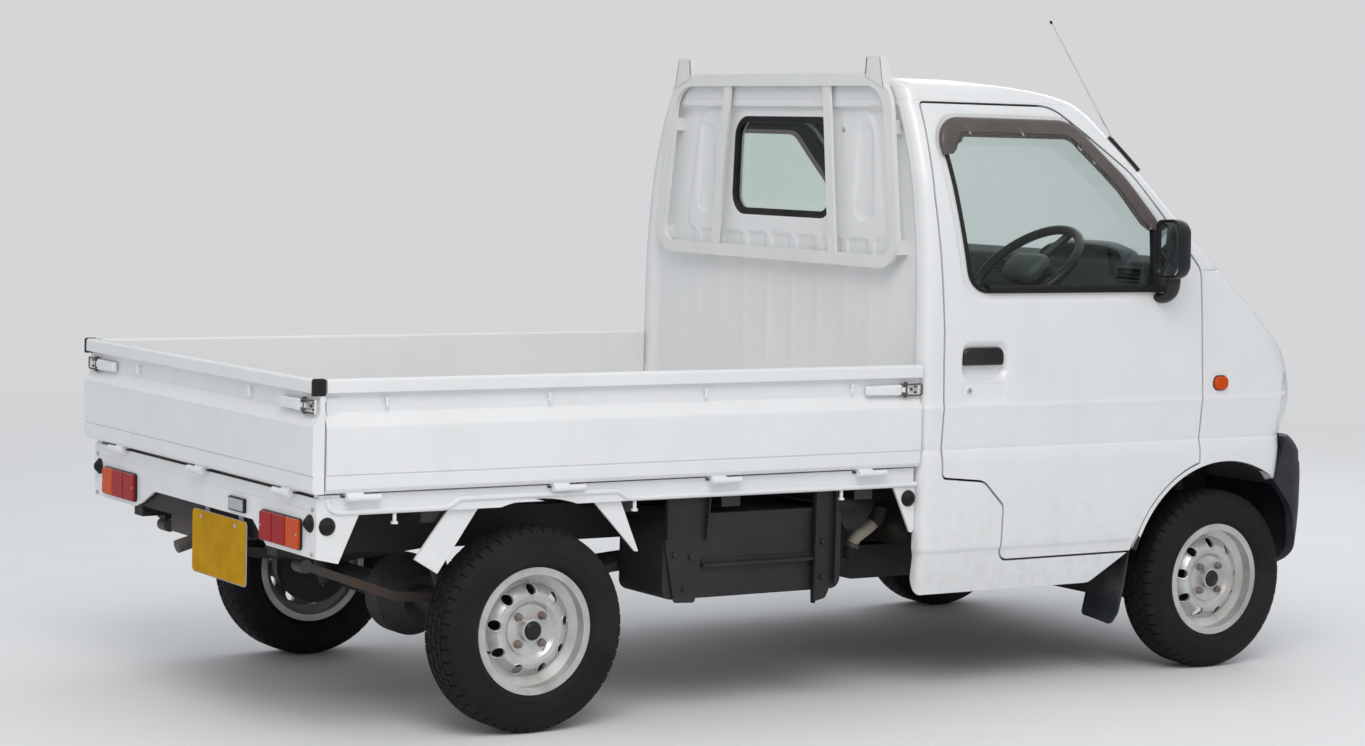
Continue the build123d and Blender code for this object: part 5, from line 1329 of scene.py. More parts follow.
def wheel_parts(centre):
    """Vent lips, nuts, hub cap and valve on the outer face of a right wheel."""
    cx, cy, cz = centre
    parts = []
    angles = np.arange(28) * 2 * math.pi / 28
    for index in range(VENT_COUNT):
        radial = VENT_CIRCLE + VENT_LIP_RADIUS * np.cos(angles)
        around = VENT_LIP_RADIUS * np.sin(angles)
        reach = np.hypot(radial, around)
        bearing = math.radians(90 + index * 360 / VENT_COUNT) + np.arctan2(around, radial)
        path = columns(cx + reach * np.cos(bearing), cy - DISC(reach)[:, 0], cz + reach * np.sin(bearing))
        parts.append((*tube(path, 2.4, closed=True), 0))
    for index in range(NUT_COUNT):
        turn = math.radians(45 + index * 360 / NUT_COUNT)
        seat = (cx + NUT_CIRCLE * math.cos(turn), cy - NUT_SEAT, cz + NUT_CIRCLE * math.sin(turn))
        parts.append((*turned([(12.0, 0), (10.0, 3.0)], 3.0, seat, OUTWARD, 24), 1))
        parts.append((*hexagon(seat, OUTWARD, 17.0, 15.0, 2.2), 1))
        parts.append((*turned([(5.0, 10), (5.0, 19.0), (4.0, 20.0)], 20.0, seat, OUTWARD, 16), 1))
    parts.append((*turned(HUB_CAP, 55.5, centre, OUTWARD, 40), 2))
    parts.append((*lathe(HUB_RING, centre, OUTWARD, 40), 0))
    stem = [(cx + r * math.cos(VALVE_TURN), cy - out, cz + r * math.sin(VALVE_TURN)) for r, out in VALVE]
    parts.append((*tube(curve(stem), 3.8), 2))
    parts.append((*lathe(RIM_BEAD, centre, OUTWARD, 72), 0))
    return parts


for end_name, axle_x in (("front", FRONT_AXLE_X), ("rear", REAR_AXLE_X)):
    for side_name, side in SIDES:
        wheel = f"{end_name}_{side_name}"
        centre = (axle_x, -WHEEL_Y, AXLE_Z)
        build(f"tyre_tread_{wheel}", sided([(*tyre_parts(centre), 0)], side), ["tyre"], f"wheel_{wheel}",
              "tyre", f"tyre_{wheel}")
        build(f"wheel_fittings_{wheel}", sided(wheel_parts(centre), side),
              ["silver", "nuts", "black_plastic"], f"wheel_{wheel}", "wheel_silver")


# Doors: seals, window rubbers, visors, handles, locks and side markers

# Sections: out from the skin, sideways
WINDOW_RUBBER = [(-13.0, -11.0), (-4.0, -11.0), (1.0, -8.5), (2.2, -5.0), (2.0, 0.0), (1.0, 2.5), (-3.0, 3.0),
                 (-13.0, -2.0)]
SILL_RUBBER = [(-9.0, 3.0), (4.5, 3.0), (6.5, 0.0), (5.0, -13.0), (-1.0, -19.0), (-10.0, -19.0)]
VISOR_RIM = [(1.0, 0.0), (5.0, 0.3), (9.0, 1.8), (12.0, 4.6), (14.2, 9.0), (15.8, 15.0), (17.0, 27.0),
             (18.0, 51.0), (16.0, 51.0), (15.0, 27.0), (12.0, 10.0), (6.5, 4.0), (1.0, 4.0)]
VISOR_SKIRT = [(18.0, 51.0), (18.5, 66.0), (16.5, 66.0), (16.0, 51.0)]
VISOR_GROW = 14.0
# Heights at which the visor ends, at the front and at the rear of the window
VISOR_ENDS = (1318.0, 1508.0)
HANDLE = [(313.0, 927.0), (456.0, 927.0), (456.0, 977.0), (313.0, 977.0)]
HANDLE_RADII = [7.0, 7.0, 24.0, 24.0]
HANDLE_HALF = np.array([71.5, 25.0])
DISH_FLOOR_Y = -BODY_HALF_WIDTH + 14.0
LOCK_CENTRE = (336.0, 856.0)
LOCK_FLOOR_Y = -BODY_HALF_WIDTH + 3.0
MARKER_X = (1252.0, 1304.0)
MARKER_Z = (838.0, 878.0)
MARKER_RADIUS = 17.0


def window_parts():
    """Rubber round the side window and the strip along its sill."""
    sill = CAB.to_u([(x, WINDOW_OUTLINE[0][1]) for x in np.linspace(396.0, 1064.0, 60)])
    return [(*strip(*skin_frame(CAB, window_loop), WINDOW_RUBBER), 0),
            (*strip(*skin_frame(CAB, sill), SILL_RUBBER, closed=False), 0)]


def visor_parts():
    """Smoked visor over the top and front of the side window."""
    edge = ringed(WINDOW_OUTLINE, WINDOW_RADII, VISOR_GROW, 8.0)
    edge = edge[edge[:, 1] > np.where(edge[:, 0] > 700.0, *VISOR_ENDS)][::-1]
    path, normals = skin_frame(CAB, CAB.to_u(edge))
    steps = np.arange(len(path))
    ease_in = np.minimum(1, np.minimum(steps, steps[::-1]) / 7.0) ** 0.6
    parts = []
    for finish, section in enumerate((VISOR_RIM, VISOR_SKIRT)):
        points, faces = strip(path, normals, section, closed=False)
        root = np.repeat(path, len(section), axis=0)
        share = np.repeat(0.5 + 0.5 * ease_in, len(section))[:, None]
        parts.append((root + (points - root) * share, faces, finish))
    return parts


def handle_parts():
    """Pull flap in its dish, the dark well behind it, and the key lock on its boss."""
    flap = rounded(HANDLE, HANDLE_RADII, step=5.0)
    centre = flap.mean(axis=0)
    rings = []
    for level, shrink in ((4.0, 0.0), (10.0, 0.0), (13.5, 2.5), (15.0, 7.0)):
        ring = centre + (flap - centre) * (1 - shrink / HANDLE_HALF)
        bow = 2.5 * (1 - ((ring[:, 0] - centre[0]) / HANDLE_HALF[0]) ** 2) * (level > 5)
        rings.append(columns(ring[:, 0], DISH_FLOOR_Y - level - bow, ring[:, 1]))
    well = box_loop((320.0, 449.0), (948.0, 989.0), 14.0, step=5.0)
    x, z = LOCK_CENTRE
    lock = (x, LOCK_FLOOR_Y, z)
    slot = box_loop((x - 1.0, x + 1.0), (z - 4.2, z + 4.2), 0.8, step=2.0)
    return [
        (*solid(rings), 0),
        (*slab("side", well, DISH_FLOOR_Y - 0.8, DISH_FLOOR_Y + 6.0), 1),
        (*turned([(19.0, -3.0), (17.5, 0.8), (14.0, 1.6)], 1.6, lock, OUTWARD, 40), 2),
        (*lathe([(9.8, 1.0), (9.6, 3.4), (8.4, 4.2), (7.0, 3.6), (7.0, 1.0)], lock, OUTWARD, 36), 3),
        (*turned([(7.0, 1.0), (7.0, 3.0)], 3.3, lock, OUTWARD, 30), 3),
        (*slab("side", slot, LOCK_FLOOR_Y - 3.8, LOCK_FLOOR_Y - 2.0), 1),
    ]


def marker_parts():
    """Amber side marker on a dark base."""
    centre = np.array([sum(MARKER_X) / 2, sum(MARKER_Z) / 2])
    parts = []
    for finish, grow, levels in ((1, 3.0, (-3.0, 1.5, 3.0)), (0, 0.0, (2.0, 8.0, 11.0))):
        spans = [(low - grow, high + grow) for low, high in (MARKER_X, MARKER_Z)]
        outline = box_loop(*spans, MARKER_RADIUS + grow, step=4.0)
        rings = []
        for level, shrink in zip(levels, (0.0, 0.5, 4.0)):
            ring = centre + (outline - centre) * (1 - shrink / np.array([25.0, 19.0]))
            path, normals = skin_frame(CAB, CAB.to_u(ring))
            rings.append(path + normals * level)
        parts.append((*solid(rings), finish))
    return parts


for side_name, side in SIDES:
    door = f"door_{side_name}"
    build(f"window_rubber_{side_name}", sided(window_parts(), side), ["rubber"], door, "rubber")
    build(f"window_visor_{side_name}", sided(visor_parts(), side), ["visor_rim", "smoked"], door, "glass")
    build(f"door_handle_{side_name}", sided(handle_parts(), side),
          ["black_plastic", "rubber", "white", "chrome"], door, "black_plastic", edge=0.8)
    build(f"side_marker_{side_name}", sided(marker_parts(), side), ["amber_lens", "rubber"], "root",
          "lamp_red")


# Rear: lamps, plate, buffers and the gates' rubber caps and press lines

REAR_PANEL_X = -1665.0
TAILGATE_X = -1690.0
GATE_Y = 735.0
RAIL_OUTER_Y = 711.0
LAMP_Z = (499.0, 578.0)
LAMP_SPLITS = (404.0, 481.0, 558.0, 635.0)
LENS_INSET = 2.2
LENS_GAP = 0.7
REVERSE_Y = (-306.0, -209.0)
REVERSE_Z = (553.0, 590.0)
PLATE_Y = (-318.0, 12.0)
PLATE_Z = (366.0, 531.0)


def tail_lamp_parts():
    """Right tail lamp: dark housing, two red lenses, an amber one and two screws."""
    place = facing_back(REAR_PANEL_X)
    near, far = LAMP_SPLITS[0], LAMP_SPLITS[-1]
    housing = box_loop((-far, -near), LAMP_Z, 12.0, step=6.0)
    parts = [(*stacked(housing, [(-1.0, 0.0), (5.0, 0.0), (7.0, 1.5)], place), 0)]
    low_z, high_z = LAMP_Z[0] + LENS_INSET, LAMP_Z[1] - LENS_INSET
    for index, (low, high) in enumerate(zip(LAMP_SPLITS, LAMP_SPLITS[1:])):
        low_y = -high + (LENS_INSET if index == 2 else LENS_GAP)
        high_y = -low - (LENS_INSET if index == 0 else LENS_GAP)
        far_radius, near_radius = (9.0 if index == end else 1.0 for end in (2, 0))
        lens_loop = rounded([(low_y, low_z), (high_y, low_z), (high_y, high_z), (low_y, high_z)],
                            [far_radius, near_radius, near_radius, far_radius], step=6.0)
        rows = [(4.0, 0.0), (9.0, 0.0), (11.5, 1.0), (12.5, 3.5)]
        parts.append((*stacked(lens_loop, rows, place), 1 + (index == 2)))
    for y in (-near - 12.0, -far + 12.0):
        seat = (REAR_PANEL_X, y, sum(LAMP_Z) / 2)
        parts.append((*turned([(3.6, 11.0), (3.2, 13.2)], 13.4, seat, REARWARD, 16), 3))
    return parts


def reverse_lamp_parts():
    """Clear reversing lamp in its dark frame."""
    place = facing_back(REAR_PANEL_X)
    frame_loop = box_loop(REVERSE_Y, REVERSE_Z, 4.0, step=5.0)
    lens_y, lens_z = (REVERSE_Y[0] + 5, REVERSE_Y[1] - 5), (REVERSE_Z[0] + 4, REVERSE_Z[1] - 4)
    lens_loop = box_loop(lens_y, lens_z, 3.0, step=5.0)
    return [(*stacked(frame_loop, [(-1.0, 0.0), (6.0, 0.0), (8.0, 1.5)], place), 0),
            (*stacked(lens_loop, [(5.0, 0.0), (9.0, 0.0), (10.5, 2.0)], place), 4)]


build("tail_lamp_set", both_sides(tail_lamp_parts()) + reverse_lamp_parts(),
      ["black_plastic", "red_lens", "amber_lens", "hardware", "clear_lens"], "root", "lamp_red", "tail_lamps",
      edge=0.5)


def plate_parts():
    """Blank yellow plate with a rolled border, its bolts and brackets."""
    place = facing_back(REAR_PANEL_X + 1.0)
    outline = box_loop(PLATE_Y, PLATE_Z, 12.0)
    rim_loop = box_loop((PLATE_Y[0] - 2, PLATE_Y[1] + 2), (PLATE_Z[0] - 3, PLATE_Z[1] + 1), 13.0)
    rows = [(6.5, 0.0), (8.6, 0.0), (9.0, 1.4), (8.4, 3.0), (8.2, 4.5)]
    parts = [(*stacked(outline, rows, place), 0), (*stacked(rim_loop, [(4.0, 0.0), (6.8, 0.0)], place), 1)]
    for y in (-258.0, -48.0):
        parts.append((*hexagon((REAR_PANEL_X - 7.0, y, 515.0), REARWARD, 10.0, 5.0), 1))
        for top_z, low_x, high_x in ((570.0, 7.0, 11.0), (525.0, -4.0, 8.0)):
            bracket = box_loop((y - 12.0, y + 12.0), (505.0, top_z), 3.0)
            parts.append((*slab("back", bracket, REAR_PANEL_X + low_x, REAR_PANEL_X + high_x), 1))
    return parts


build("plate_blank", plate_parts(), ["yellow", "hardware"], "root", "plate_yellow", "licence_plate", edge=0.3)

BUFFER = [(23.0, -1.0), (22.0, 3.0), (16.5, 8.0), (12.5, 12.5), (10.5, 14.6), (6.0, 15.0), (5.0, 13.0)]
BUFFER_TOP = 13.0


def buffer_parts():
    """Rubber buffers that the right gate and the tailgate fall on, and two bolts."""
    parts = [(*turned(BUFFER, BUFFER_TOP, (REAR_PANEL_X, -RAIL_OUTER_Y + 36.0, 572.0), REARWARD, 28), 0)]
    for x, z in ((-1636.0, 567.0), (152.0, 560.0)):
        parts.append((*turned(BUFFER, BUFFER_TOP, (x, -RAIL_OUTER_Y, z), OUTWARD, 28), 0))
    for z in (607.0, 497.0):
        parts.append((*hexagon((REAR_PANEL_X, -690.0, z), REARWARD, 10.0, 4.0), 1))
    return parts


build("bed_buffers", both_sides(buffer_parts()), ["rubber", "hardware"], "root", "rubber", angle=50.0)

# Rubber caps on the ends of the gates' top rails, and beads pressed near the ends
TAILGATE_BEADS = (-715.0, -681.0, 681.0, 715.0)
GATE_BEADS = (-1633.0, 152.0)
BEAD_SECTION = [(-0.6, -2.6), (0.9, -1.0), (0.9, 1.0), (-0.6, 2.6)]
# Outer face of a gate: height, distance out
GATE_FACE = monotone([(650.0, -8.0), (660.0, -1.0), (691.0, -1.0), (694.0, -4.0), (697.0, 0.0), (806.0, 0.0),
                      (814.0, -1.5), (848.0, -18.6)])
# Heights of the points up a bead: from, to, step
BEAD_RUNS = [(654.0, 690.0, 4.0), (690.0, 700.0, 1.5), (700.0, 806.0, 10.0), (806.0, 846.0, 4.0)]


def gate_line(side, at):
    """Fine pressed bead up the outer face of a side gate, or of the tailgate where side is 0."""
    levels = np.concatenate([np.arange(*run) for run in BEAD_RUNS])
    out = GATE_FACE(levels)[:, 0] - 0.4
    if side:
        path = columns(at, side * (GATE_Y + out), levels)
    else:
        path = columns(TAILGATE_X - out, at, levels)
    return (*strip(path, (0, side, 0) if side else REARWARD, BEAD_SECTION, closed=False), 0)


cap_x = (TAILGATE_X - 1.5, TAILGATE_X + 33.0)
cap = [(cap_x[0], 891.0), (cap_x[1], 891.0), (cap_x[1], 933.5), (cap_x[0], 933.5)]
cap = (*slab("side", rounded(cap, [2.0, 2.0, 7.0, 7.0], step=4.0), -736.5, -725.0), 1)
for side_name, side in SIDES:
    build(f"gate_trim_{side_name}", [gate_line(side, x) for x in GATE_BEADS], ["white", "rubber"],
          f"gate_{side_name}", "rubber", edge=0.6)
build("tailgate_trim", [gate_line(0, y) for y in TAILGATE_BEADS] + both_sides([cap]), ["white", "rubber"],
      "tailgate", "rubber", edge=0.6)


# Back panel with its pressed field, dimples and flutes, and the seal of its window

RECESS_FLANGE = 52.0
PANEL_SET = 20.0
BACK_LOW_Z = 420.0
FIELD = [(-510.0, 1262.0), (510.0, 1262.0), (440.0, 1643.0), (-440.0, 1643.0)]
FIELD_RADII = [40.0, 40.0, 90.0, 90.0]
DIMPLE = [(357.0, 1318.0), (453.0, 1318.0), (443.0, 1592.0), (366.0, 1592.0)]
DIMPLE_RADII = [34.0] * 4
REAR_WINDOW = [(-250.0, 1330.0), (250.0, 1330.0), (238.0, 1600.0), (-238.0, 1600.0)]
REAR_WINDOW_RADII = [55.0] * 4
BOSS = (306.0, 1575.0)
RIB_COUNT = 4
RIB_PITCH = 127.0
RIB_FOOT_Z = (1205.0, 1225.0)
RIB_TOP_Z = (1262.0, 1268.0)
WINDOW_SEAL = [(-10.0, -3.0), (-10.0, 16.0), (-1.0, 17.0), (6.0, 13.0), (8.0, 7.0), (9.0, -1.0), (7.0, -7.0),
               (0.0, -8.0)]


def back_place(u, z, depth=0.0):
    """Point of the cab's back, with u from left to right."""
    return columns(REAR_WALL_X + depth, -np.asarray(u, float), z)


def half_line(inset, low, high):
    """Outline between the cab's sides, set in by an amount."""
    levels = np.linspace(low, high, 60)
    half = CAB.shape(levels)[0] - inset
    right = columns(half, levels)
    return np.concatenate([right * np.array([-1, 1]), right[::-1]])[::-1]


back_loop = half_line(40.0, BACK_LOW_Z, ROOF_SEAM_Z)
recess_loops = [half_line(RECESS_FLANGE + g, 641.0 + g, ROOF_SEAM_Z - 18.0 - g) for g in (0.0, 9.0, 18.0)]
field_loops = [ringed(FIELD, FIELD_RADII, g, 10.0) for g in (4.0, -2.0, -8.0)]
dimple_loops = [ringed(DIMPLE, DIMPLE_RADII, g, 7.0) for g in (2.0, -5.0, -13.0)]
dimple_loops += [loop * np.array([-1, 1]) for loop in dimple_loops]
rear_hole, *window_rings = (ringed(REAR_WINDOW, REAR_WINDOW_RADII, g, 10.0) for g in (0.0, 22.0, 34.0))


def back_form(u, z):
    """Pressed forms of the cab's back."""
    across = np.abs(u)
    dimple = off_edge(dimple_loops[0], across, z)
    boss = np.hypot(across - BOSS[0], z - BOSS[1])
    rise = -PANEL_SET * ease(-off_edge(recess_loops[0], u, z), 0.0, 17.0)
    rise = rise + 6.0 * ease(-off_edge(field_loops[0], u, z), 0.0, 11.0)
    rise = rise + 3.0 * (1 - ease(np.abs(off_edge(window_rings[0], u, z) - 6.0), 1.0, 9.0))
    rise = rise - 6.0 * (1 - ease(dimple, -15.0, 0.0))
    rise = rise + 3.0 * (1 - ease(np.abs(dimple + 22.0), 3.0, 10.0)) * (1 - ease(z, 1370.0, 1420.0))
    rise = rise + 2.5 * (1 - ease(boss, 12.0, 18.0))
    for index in range(RIB_COUNT):
        off = np.abs(across - (index + 0.5) * RIB_PITCH)
        rise = rise + 6.0 * (1 - ease(off, 13.0, 21.0)) * ease(z, *RIB_FOOT_Z) * (1 - ease(z, *RIB_TOP_Z))
        low = 700.0 + 40.0 * index
        flute = ease(z, low, low + 330.0) * (1 - ease(z, *RIB_FOOT_Z))
        rise = rise + (3.6 - 0.5 * index) * np.exp(-(off / 19.0) ** 2) * flute
    return rise


def in_back(u, z):
    """Whether a point belongs to the back panel."""
    return within(back_loop, u, z) & ~within(rear_hole, u, z)


rib_columns = [sign * ((index + 0.5) * RIB_PITCH + step) for sign in (-1, 1) for index in range(RIB_COUNT)
               for step in (-20.0, -14.0, 0.0, 14.0, 20.0)]
back = panel(
    "back_skin", [back_loop, rear_hole] + recess_loops + field_loops + dimple_loops + window_rings, in_back,
    (-700.0, 700.0, BACK_LOW_Z, ROOF_SEAM_Z), 15.0, back_place, 40.0,
    rows=(1206.0, 1215.0, 1224.0, *RIB_TOP_Z), uprights=rib_columns, relief=back_form, bevel=2.0)
finish_piece(back, ["cab_back", "liner"], "root", "body_white", "back_panel")

seal_parts = [(*strip(back_place(*rear_hole.T, PANEL_SET), REARWARD, WINDOW_SEAL), 0)]
for side_name, side in SIDES:
    for z, y in ((1585.0, 582.0), (1252.0, 671.0)):
        seal_parts.append((*hexagon((REAR_WALL_X + PANEL_SET - 2.0, side * y, z), REARWARD, 12.0, 7.0), 1))
    seat = (REAR_WALL_X + PANEL_SET - 8.0, side * BOSS[0], BOSS[1])
    seal_parts.append((*turned([(7.5, -1.0), (7.0, 2.5)], 3.4, seat, REARWARD, 20), 1))
build("rear_window_seal", seal_parts, ["rubber", "hardware"], "root", "rubber", angle=50.0)
pane_loop = ringed(REAR_WINDOW, REAR_WINDOW_RADII, -4.0, 10.0) * np.array([-1, 1])
pane = slab("back", pane_loop, REAR_WALL_X + PANEL_SET + 5.0, REAR_WALL_X + PANEL_SET + 9.0)
build("rear_window_pane", [(*pane, 0)], ["glass"], "root", "glass", "rear_window")


# Mirrors, antenna and mud flaps

MIRROR_X = 982.0
MIRROR_OUTLINE = [(-868.0, 1172.0), (-759.0, 1168.0), (-757.0, 1340.0), (-862.0, 1344.0)]
MIRROR_ROWS = [
    # distance behind the plane, shrinkage
    (-9.0, 7.5), (0.0, 6.5), (0.5, 3.0), (-1.5, 0.8), (-6.0, 0.0), (-26.0, 0.6), (-42.0, 5.0), (-53.0, 13.0),
    (-60.0, 26.0), (-62.0, 40.0),
]
MIRROR_ARM = [(1030.0, -728.0, 1112.0), (1032.0, -752.0, 1112.0), (1030.0, -782.0, 1128.0),
              (1022.0, -800.0, 1158.0), (1018.0, -804.0, 1182.0)]
MIRROR_SAIL = [(1002.0, 1129.0), (1071.0, 1129.0), (1070.0, 1264.0), (1006.0, 1338.0)]


def mirror_parts():
    """Right mirror: rounded shell with its glass set in, and a bent arm on a foot."""
    outline = rounded(MIRROR_OUTLINE, [34.0, 30.0, 26.0, 36.0], step=6.0)
    forward = facing_back(MIRROR_X)
    turns = np.arange(16) * math.pi / 8
    oval = np.stack([15.0 * np.cos(turns), 21.0 * np.sin(turns)], axis=1)
    sail = rounded(MIRROR_SAIL, [4.0, 12.0, 20.0, 6.0])
    path, normals = skin_frame(CAB, CAB.to_u(sail))
    rings = [path + normals * level for level in (-12.0, 2.0, 4.0)]
    middle = rings[-1].mean(axis=0)
    rings.append(middle + (rings[-1] - middle) * 0.95 + np.array([0, -1.2, 0]))
    return [
        (*stacked(outline, MIRROR_ROWS, forward), 0),
        (*stacked(outline, [(-8.0, 8.5), (-5.0, 8.5), (-4.2, 9.5)], forward), 1),
        (*strip(curve(MIRROR_ARM, step=5.0), (0.0, -0.6, -0.8), oval, closed=False), 0),
        (*solid(rings), 0),
    ]


for side_name, side in SIDES:
    build(f"door_mirror_{side_name}", sided(mirror_parts(), side), ["black_plastic", "mirror"],
          f"door_{side_name}", "black_plastic", f"mirror_{side_name}")


def on_pillar(z, out):
    """Point at the outer corner of the right windscreen pillar."""
    centre, radius = CAB.shape(np.array([z]))[1:3]
    place, normal = skin_frame(CAB, np.array([[centre[0] + radius[0] * math.pi / 4, z]]))
    return place[0] + normal[0] * out


# The mast ends a little inside the far corner of the box of the solid that it replaces
antenna_low, antenna_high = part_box("antenna")
tip = np.array([antenna_low[0] / MM + 3.0, antenna_low[1] / MM + 3.0, antenna_high[2] / MM - 2.0])
foot = on_pillar(1560.0, 7.0)
holder = curve([on_pillar(z, 3.0) for z in (1476.0, 1500.0, 1530.0, 1560.0, 1570.0)], step=8.0)
mast = [foot + (tip - foot) * t for t in np.linspace(0, 1, 12)]
socket = [foot + (mast[1] - foot) * t for t in (0.0, 0.04, 0.08)]
antenna = [
    (*tube(holder, 8.0, 12), 0), (*tube(socket, 4.5, 12), 0), (*tube(mast, 2.2, 10), 1),
    (*turned([(3.6, -5.0), (4.0, 0.0), (3.0, 3.5)], 4.0, tip, mast[1] - foot, 14), 0),
]
build("antenna_mast", antenna, ["black_plastic", "chrome"], "root", "black_plastic", "antenna")

FLAP_TOP_Z = 376.0
MUD_FLAP = [(-712.0, FLAP_TOP_Z), (-560.0, FLAP_TOP_Z), (-560.0, 165.0), (-690.0, 152.0), (-712.0, 190.0)]
FLAP_MIDDLE_Y = -636.0


def flap_parts():
    """Front mud flap: shaped plate behind the right front wheel, with its screws."""
    outline = rounded(MUD_FLAP, [6.0, 6.0, 14.0, 24.0, 24.0], step=10.0)

    def place(points, level):
        hang = (FLAP_TOP_Z - points[:, 1]) / 226.0
        x = 966.0 - 43.0 * hang ** 1.3 - level + 6.0 * np.cos((points[:, 0] - FLAP_MIDDLE_Y) / 76.0 * 1.5)
        return columns(x, *points.T)

    parts = [(*stacked(outline, [(-4.0, 1.0), (-3.0, 0.0), (3.0, 0.0), (4.0, 1.0)], place), 0)]
    for y in (FLAP_MIDDLE_Y - 54.0, FLAP_MIDDLE_Y, FLAP_MIDDLE_Y + 54.0):
        parts.append((*hexagon((959.0, y, FLAP_TOP_Z - 14.0), REARWARD, 10.0, 5.0), 1))
    return parts


build("front_mud_flaps", both_sides(flap_parts()), ["flap", "hardware"], "root", "rubber", "mud_flaps",
      edge=0.6)


# Front: headlamps and wipers

lamp_low, lamp_high = lamp_hole.min(axis=0), lamp_hole.max(axis=0)
lamp_area = (lamp_low[0], lamp_high[0], lamp_low[1], lamp_high[1])
BULBS = [
    # u from the outer edge, z, radius, finish
    (46.0, 800.0, 17.0, 1), (150.0, 796.0, 24.0, 0),
]
BULB_DEPTH = 44.0


def bowl_place(u, z, depth=0.0):
    """Reflector of a headlamp, deepest in its middle."""
    across = (u - (lamp_low[0] + lamp_high[0]) / 2) / (lamp_high[0] - lamp_low[0]) * 2
    up = (z - sum(HEADLAMP_Z) / 2) / (HEADLAMP_Z[1] - HEADLAMP_Z[0]) * 2
    deep = 12.0 + 38.0 * np.clip(1 - (across ** 4 + up ** 4), 0, 1) ** 0.5
    return CAB.place(u, z, deep + depth)


def bulb_parts():
    """Bulbs in front of the right headlamp's reflector."""
    parts = []
    for u, z, radius, finish in BULBS:
        path, normals = skin_frame(CAB, np.array([[lamp_low[0] + u, z]]))
        dome = [(radius * math.cos(t), 14.0 + radius * 0.9 * math.sin(t)) for t in np.linspace(0, 1.5, 8)]
        seat = path[0] - normals[0] * BULB_DEPTH
        bulb = turned([(radius * 0.7, -4.0), *dome], 14.0 + radius * 0.9, seat, normals[0], 28)
        parts.append((*bulb, finish))
    return parts


for side_name, side in SIDES:
    cover = panel(f"headlamp_lens_{side_name}", [headlamp_loop(-1.5)], None, lamp_area, 14.0, CAB.sunk(0.5),
                  4.0, side=side, back_slot=0, bevel=1.5)
    finish_piece(cover, ["lamp_glass"], "root", "lamp_clear", *(["headlamps"] if side < 0 else []))
    bowl = panel(f"headlamp_bowl_{side_name}", [headlamp_loop(2.0)], None, lamp_area, 9.0, bowl_place, 3.0,
                 side=side, back_slot=0, bevel=0.5)
    finish_piece(bowl, ["reflector"], "root", "lamp_clear")
    build(f"headlamp_bulbs_{side_name}", sided(bulb_parts(), side), ["chrome", "amber_lens"], "root",
          "lamp_clear")


WIPER_Z = 1128.0
WIPER_ARM = [(-2.0, -6.0), (2.0, -5.0), (3.0, 0.0), (2.0, 5.0), (-2.0, 6.0)]
WIPER_BLADE = [(-6.5, -1.2), (-1.0, -4.0), (4.0, -3.0), (4.0, 3.0), (-1.0, 4.0), (-6.5, 1.2)]
SCREEN_SEAL = [(-10.0, 12.0), (-1.0, 12.0), (1.6, 6.0), (1.6, 0.0), (0.0, -6.0), (-5.5, -9.0), (-10.0, -2.0)]


def on_screen(y, z, out):
    """Point on the windscreen, with the direction out of it."""
    place, normal = skin_frame(CAB, np.array([[CAB.u_at(abs(y), z), z]]))
    turn = np.array([1, -1 if y > 0 else 1, 1])
    return (place[0] + normal[0] * out) * turn, normal[0] * turn


def wiper_parts(pivot_y, tip_y, tip_z):
    """Wiper: cap, tapered arm and blade lying near the foot of the screen."""
    base, normal = on_screen(pivot_y, WIPER_Z, 6.0)
    reach = tip_y - pivot_y
    arm = [on_screen(pivot_y + reach * t * 0.62, WIPER_Z + (tip_z + 8 - WIPER_Z) * t, 18.0 - 4 * t)[0]
           for t in np.linspace(0, 1, 14)]
    start = pivot_y + reach * 0.16
    blade = [on_screen(start + (tip_y - start) * t, tip_z - 24.0 + 34.0 * t, 9.0)
             for t in np.linspace(0, 1, 26)]
    return [
        (*turned([(13.0, -8.0), (13.0, 6.0), (10.0, 12.0)], 13.0, base, normal, 24), 0),
        (*strip(arm, normal, WIPER_ARM, closed=False), 0),
        (*strip(*zip(*blade), WIPER_BLADE, closed=False), 1),
    ]


wipers = wiper_parts(60.0, -440.0, 1176.0) + wiper_parts(560.0, 70.0, 1180.0)
build("screen_wipers", wipers, ["black_plastic", "rubber"], "root", "black_plastic", angle=45.0)
halves = skin_frame(CAB, screen_edge(-1.0)[:-2])
border, border_normals = (np.concatenate([half, (half * MIRROR)[::-1][1:-1]]) for half in halves)
seal = strip(border, border_normals, SCREEN_SEAL)
build("screen_seal", [(*seal, 0)], ["rubber"], "root", "rubber", angle=50.0)


# Bed details: rolled lip of the side rails, wire bails of the latches and the guard's hooks

RAIL_LIP = [
    # x, z of the rolled lower edge of the side rail, front to rear
    (176.0, 599.0), (-752.0, 600.0), (-768.0, 602.0), (-794.0, 619.0), (-806.0, 621.0), (-1258.0, 621.0),
    (-1270.0, 619.0), (-1296.0, 602.0), (-1312.0, 600.0), (-1606.0, 600.0), (-1624.0, 606.0),
    (-1634.0, 618.0), (-1636.0, 636.0),
]
LIP_SECTION = [(-1.0, -8.0), (3.0, -7.0), (6.0, -3.5), (7.0, 0.0), (6.0, 3.5), (3.0, 7.0), (-1.0, 8.0)]
REAR_BEAD = [(-690.0, 630.0), (-690.0, 612.0), (-684.0, 606.0), (684.0, 606.0), (690.0, 612.0),
             (690.0, 630.0)]
REAR_BEAD_SECTION = [(-0.6, -3.0), (1.2, -1.2), (1.2, 1.2), (-0.6, 3.0)]
LATCH_Z = 864.0
RECESS_Y = 716.0


def spaced(points, step=14.0):
    """Both coordinates of points along a polyline, no further apart than a step."""
    points = np.asarray(points, float)
    result = [points[0]]
    for start, finish in zip(points, points[1:]):
        parts = max(1, int(np.linalg.norm(finish - start) / step))
        result += [start + (finish - start) * t / parts for t in range(1, parts + 1)]
    return np.array(result).T


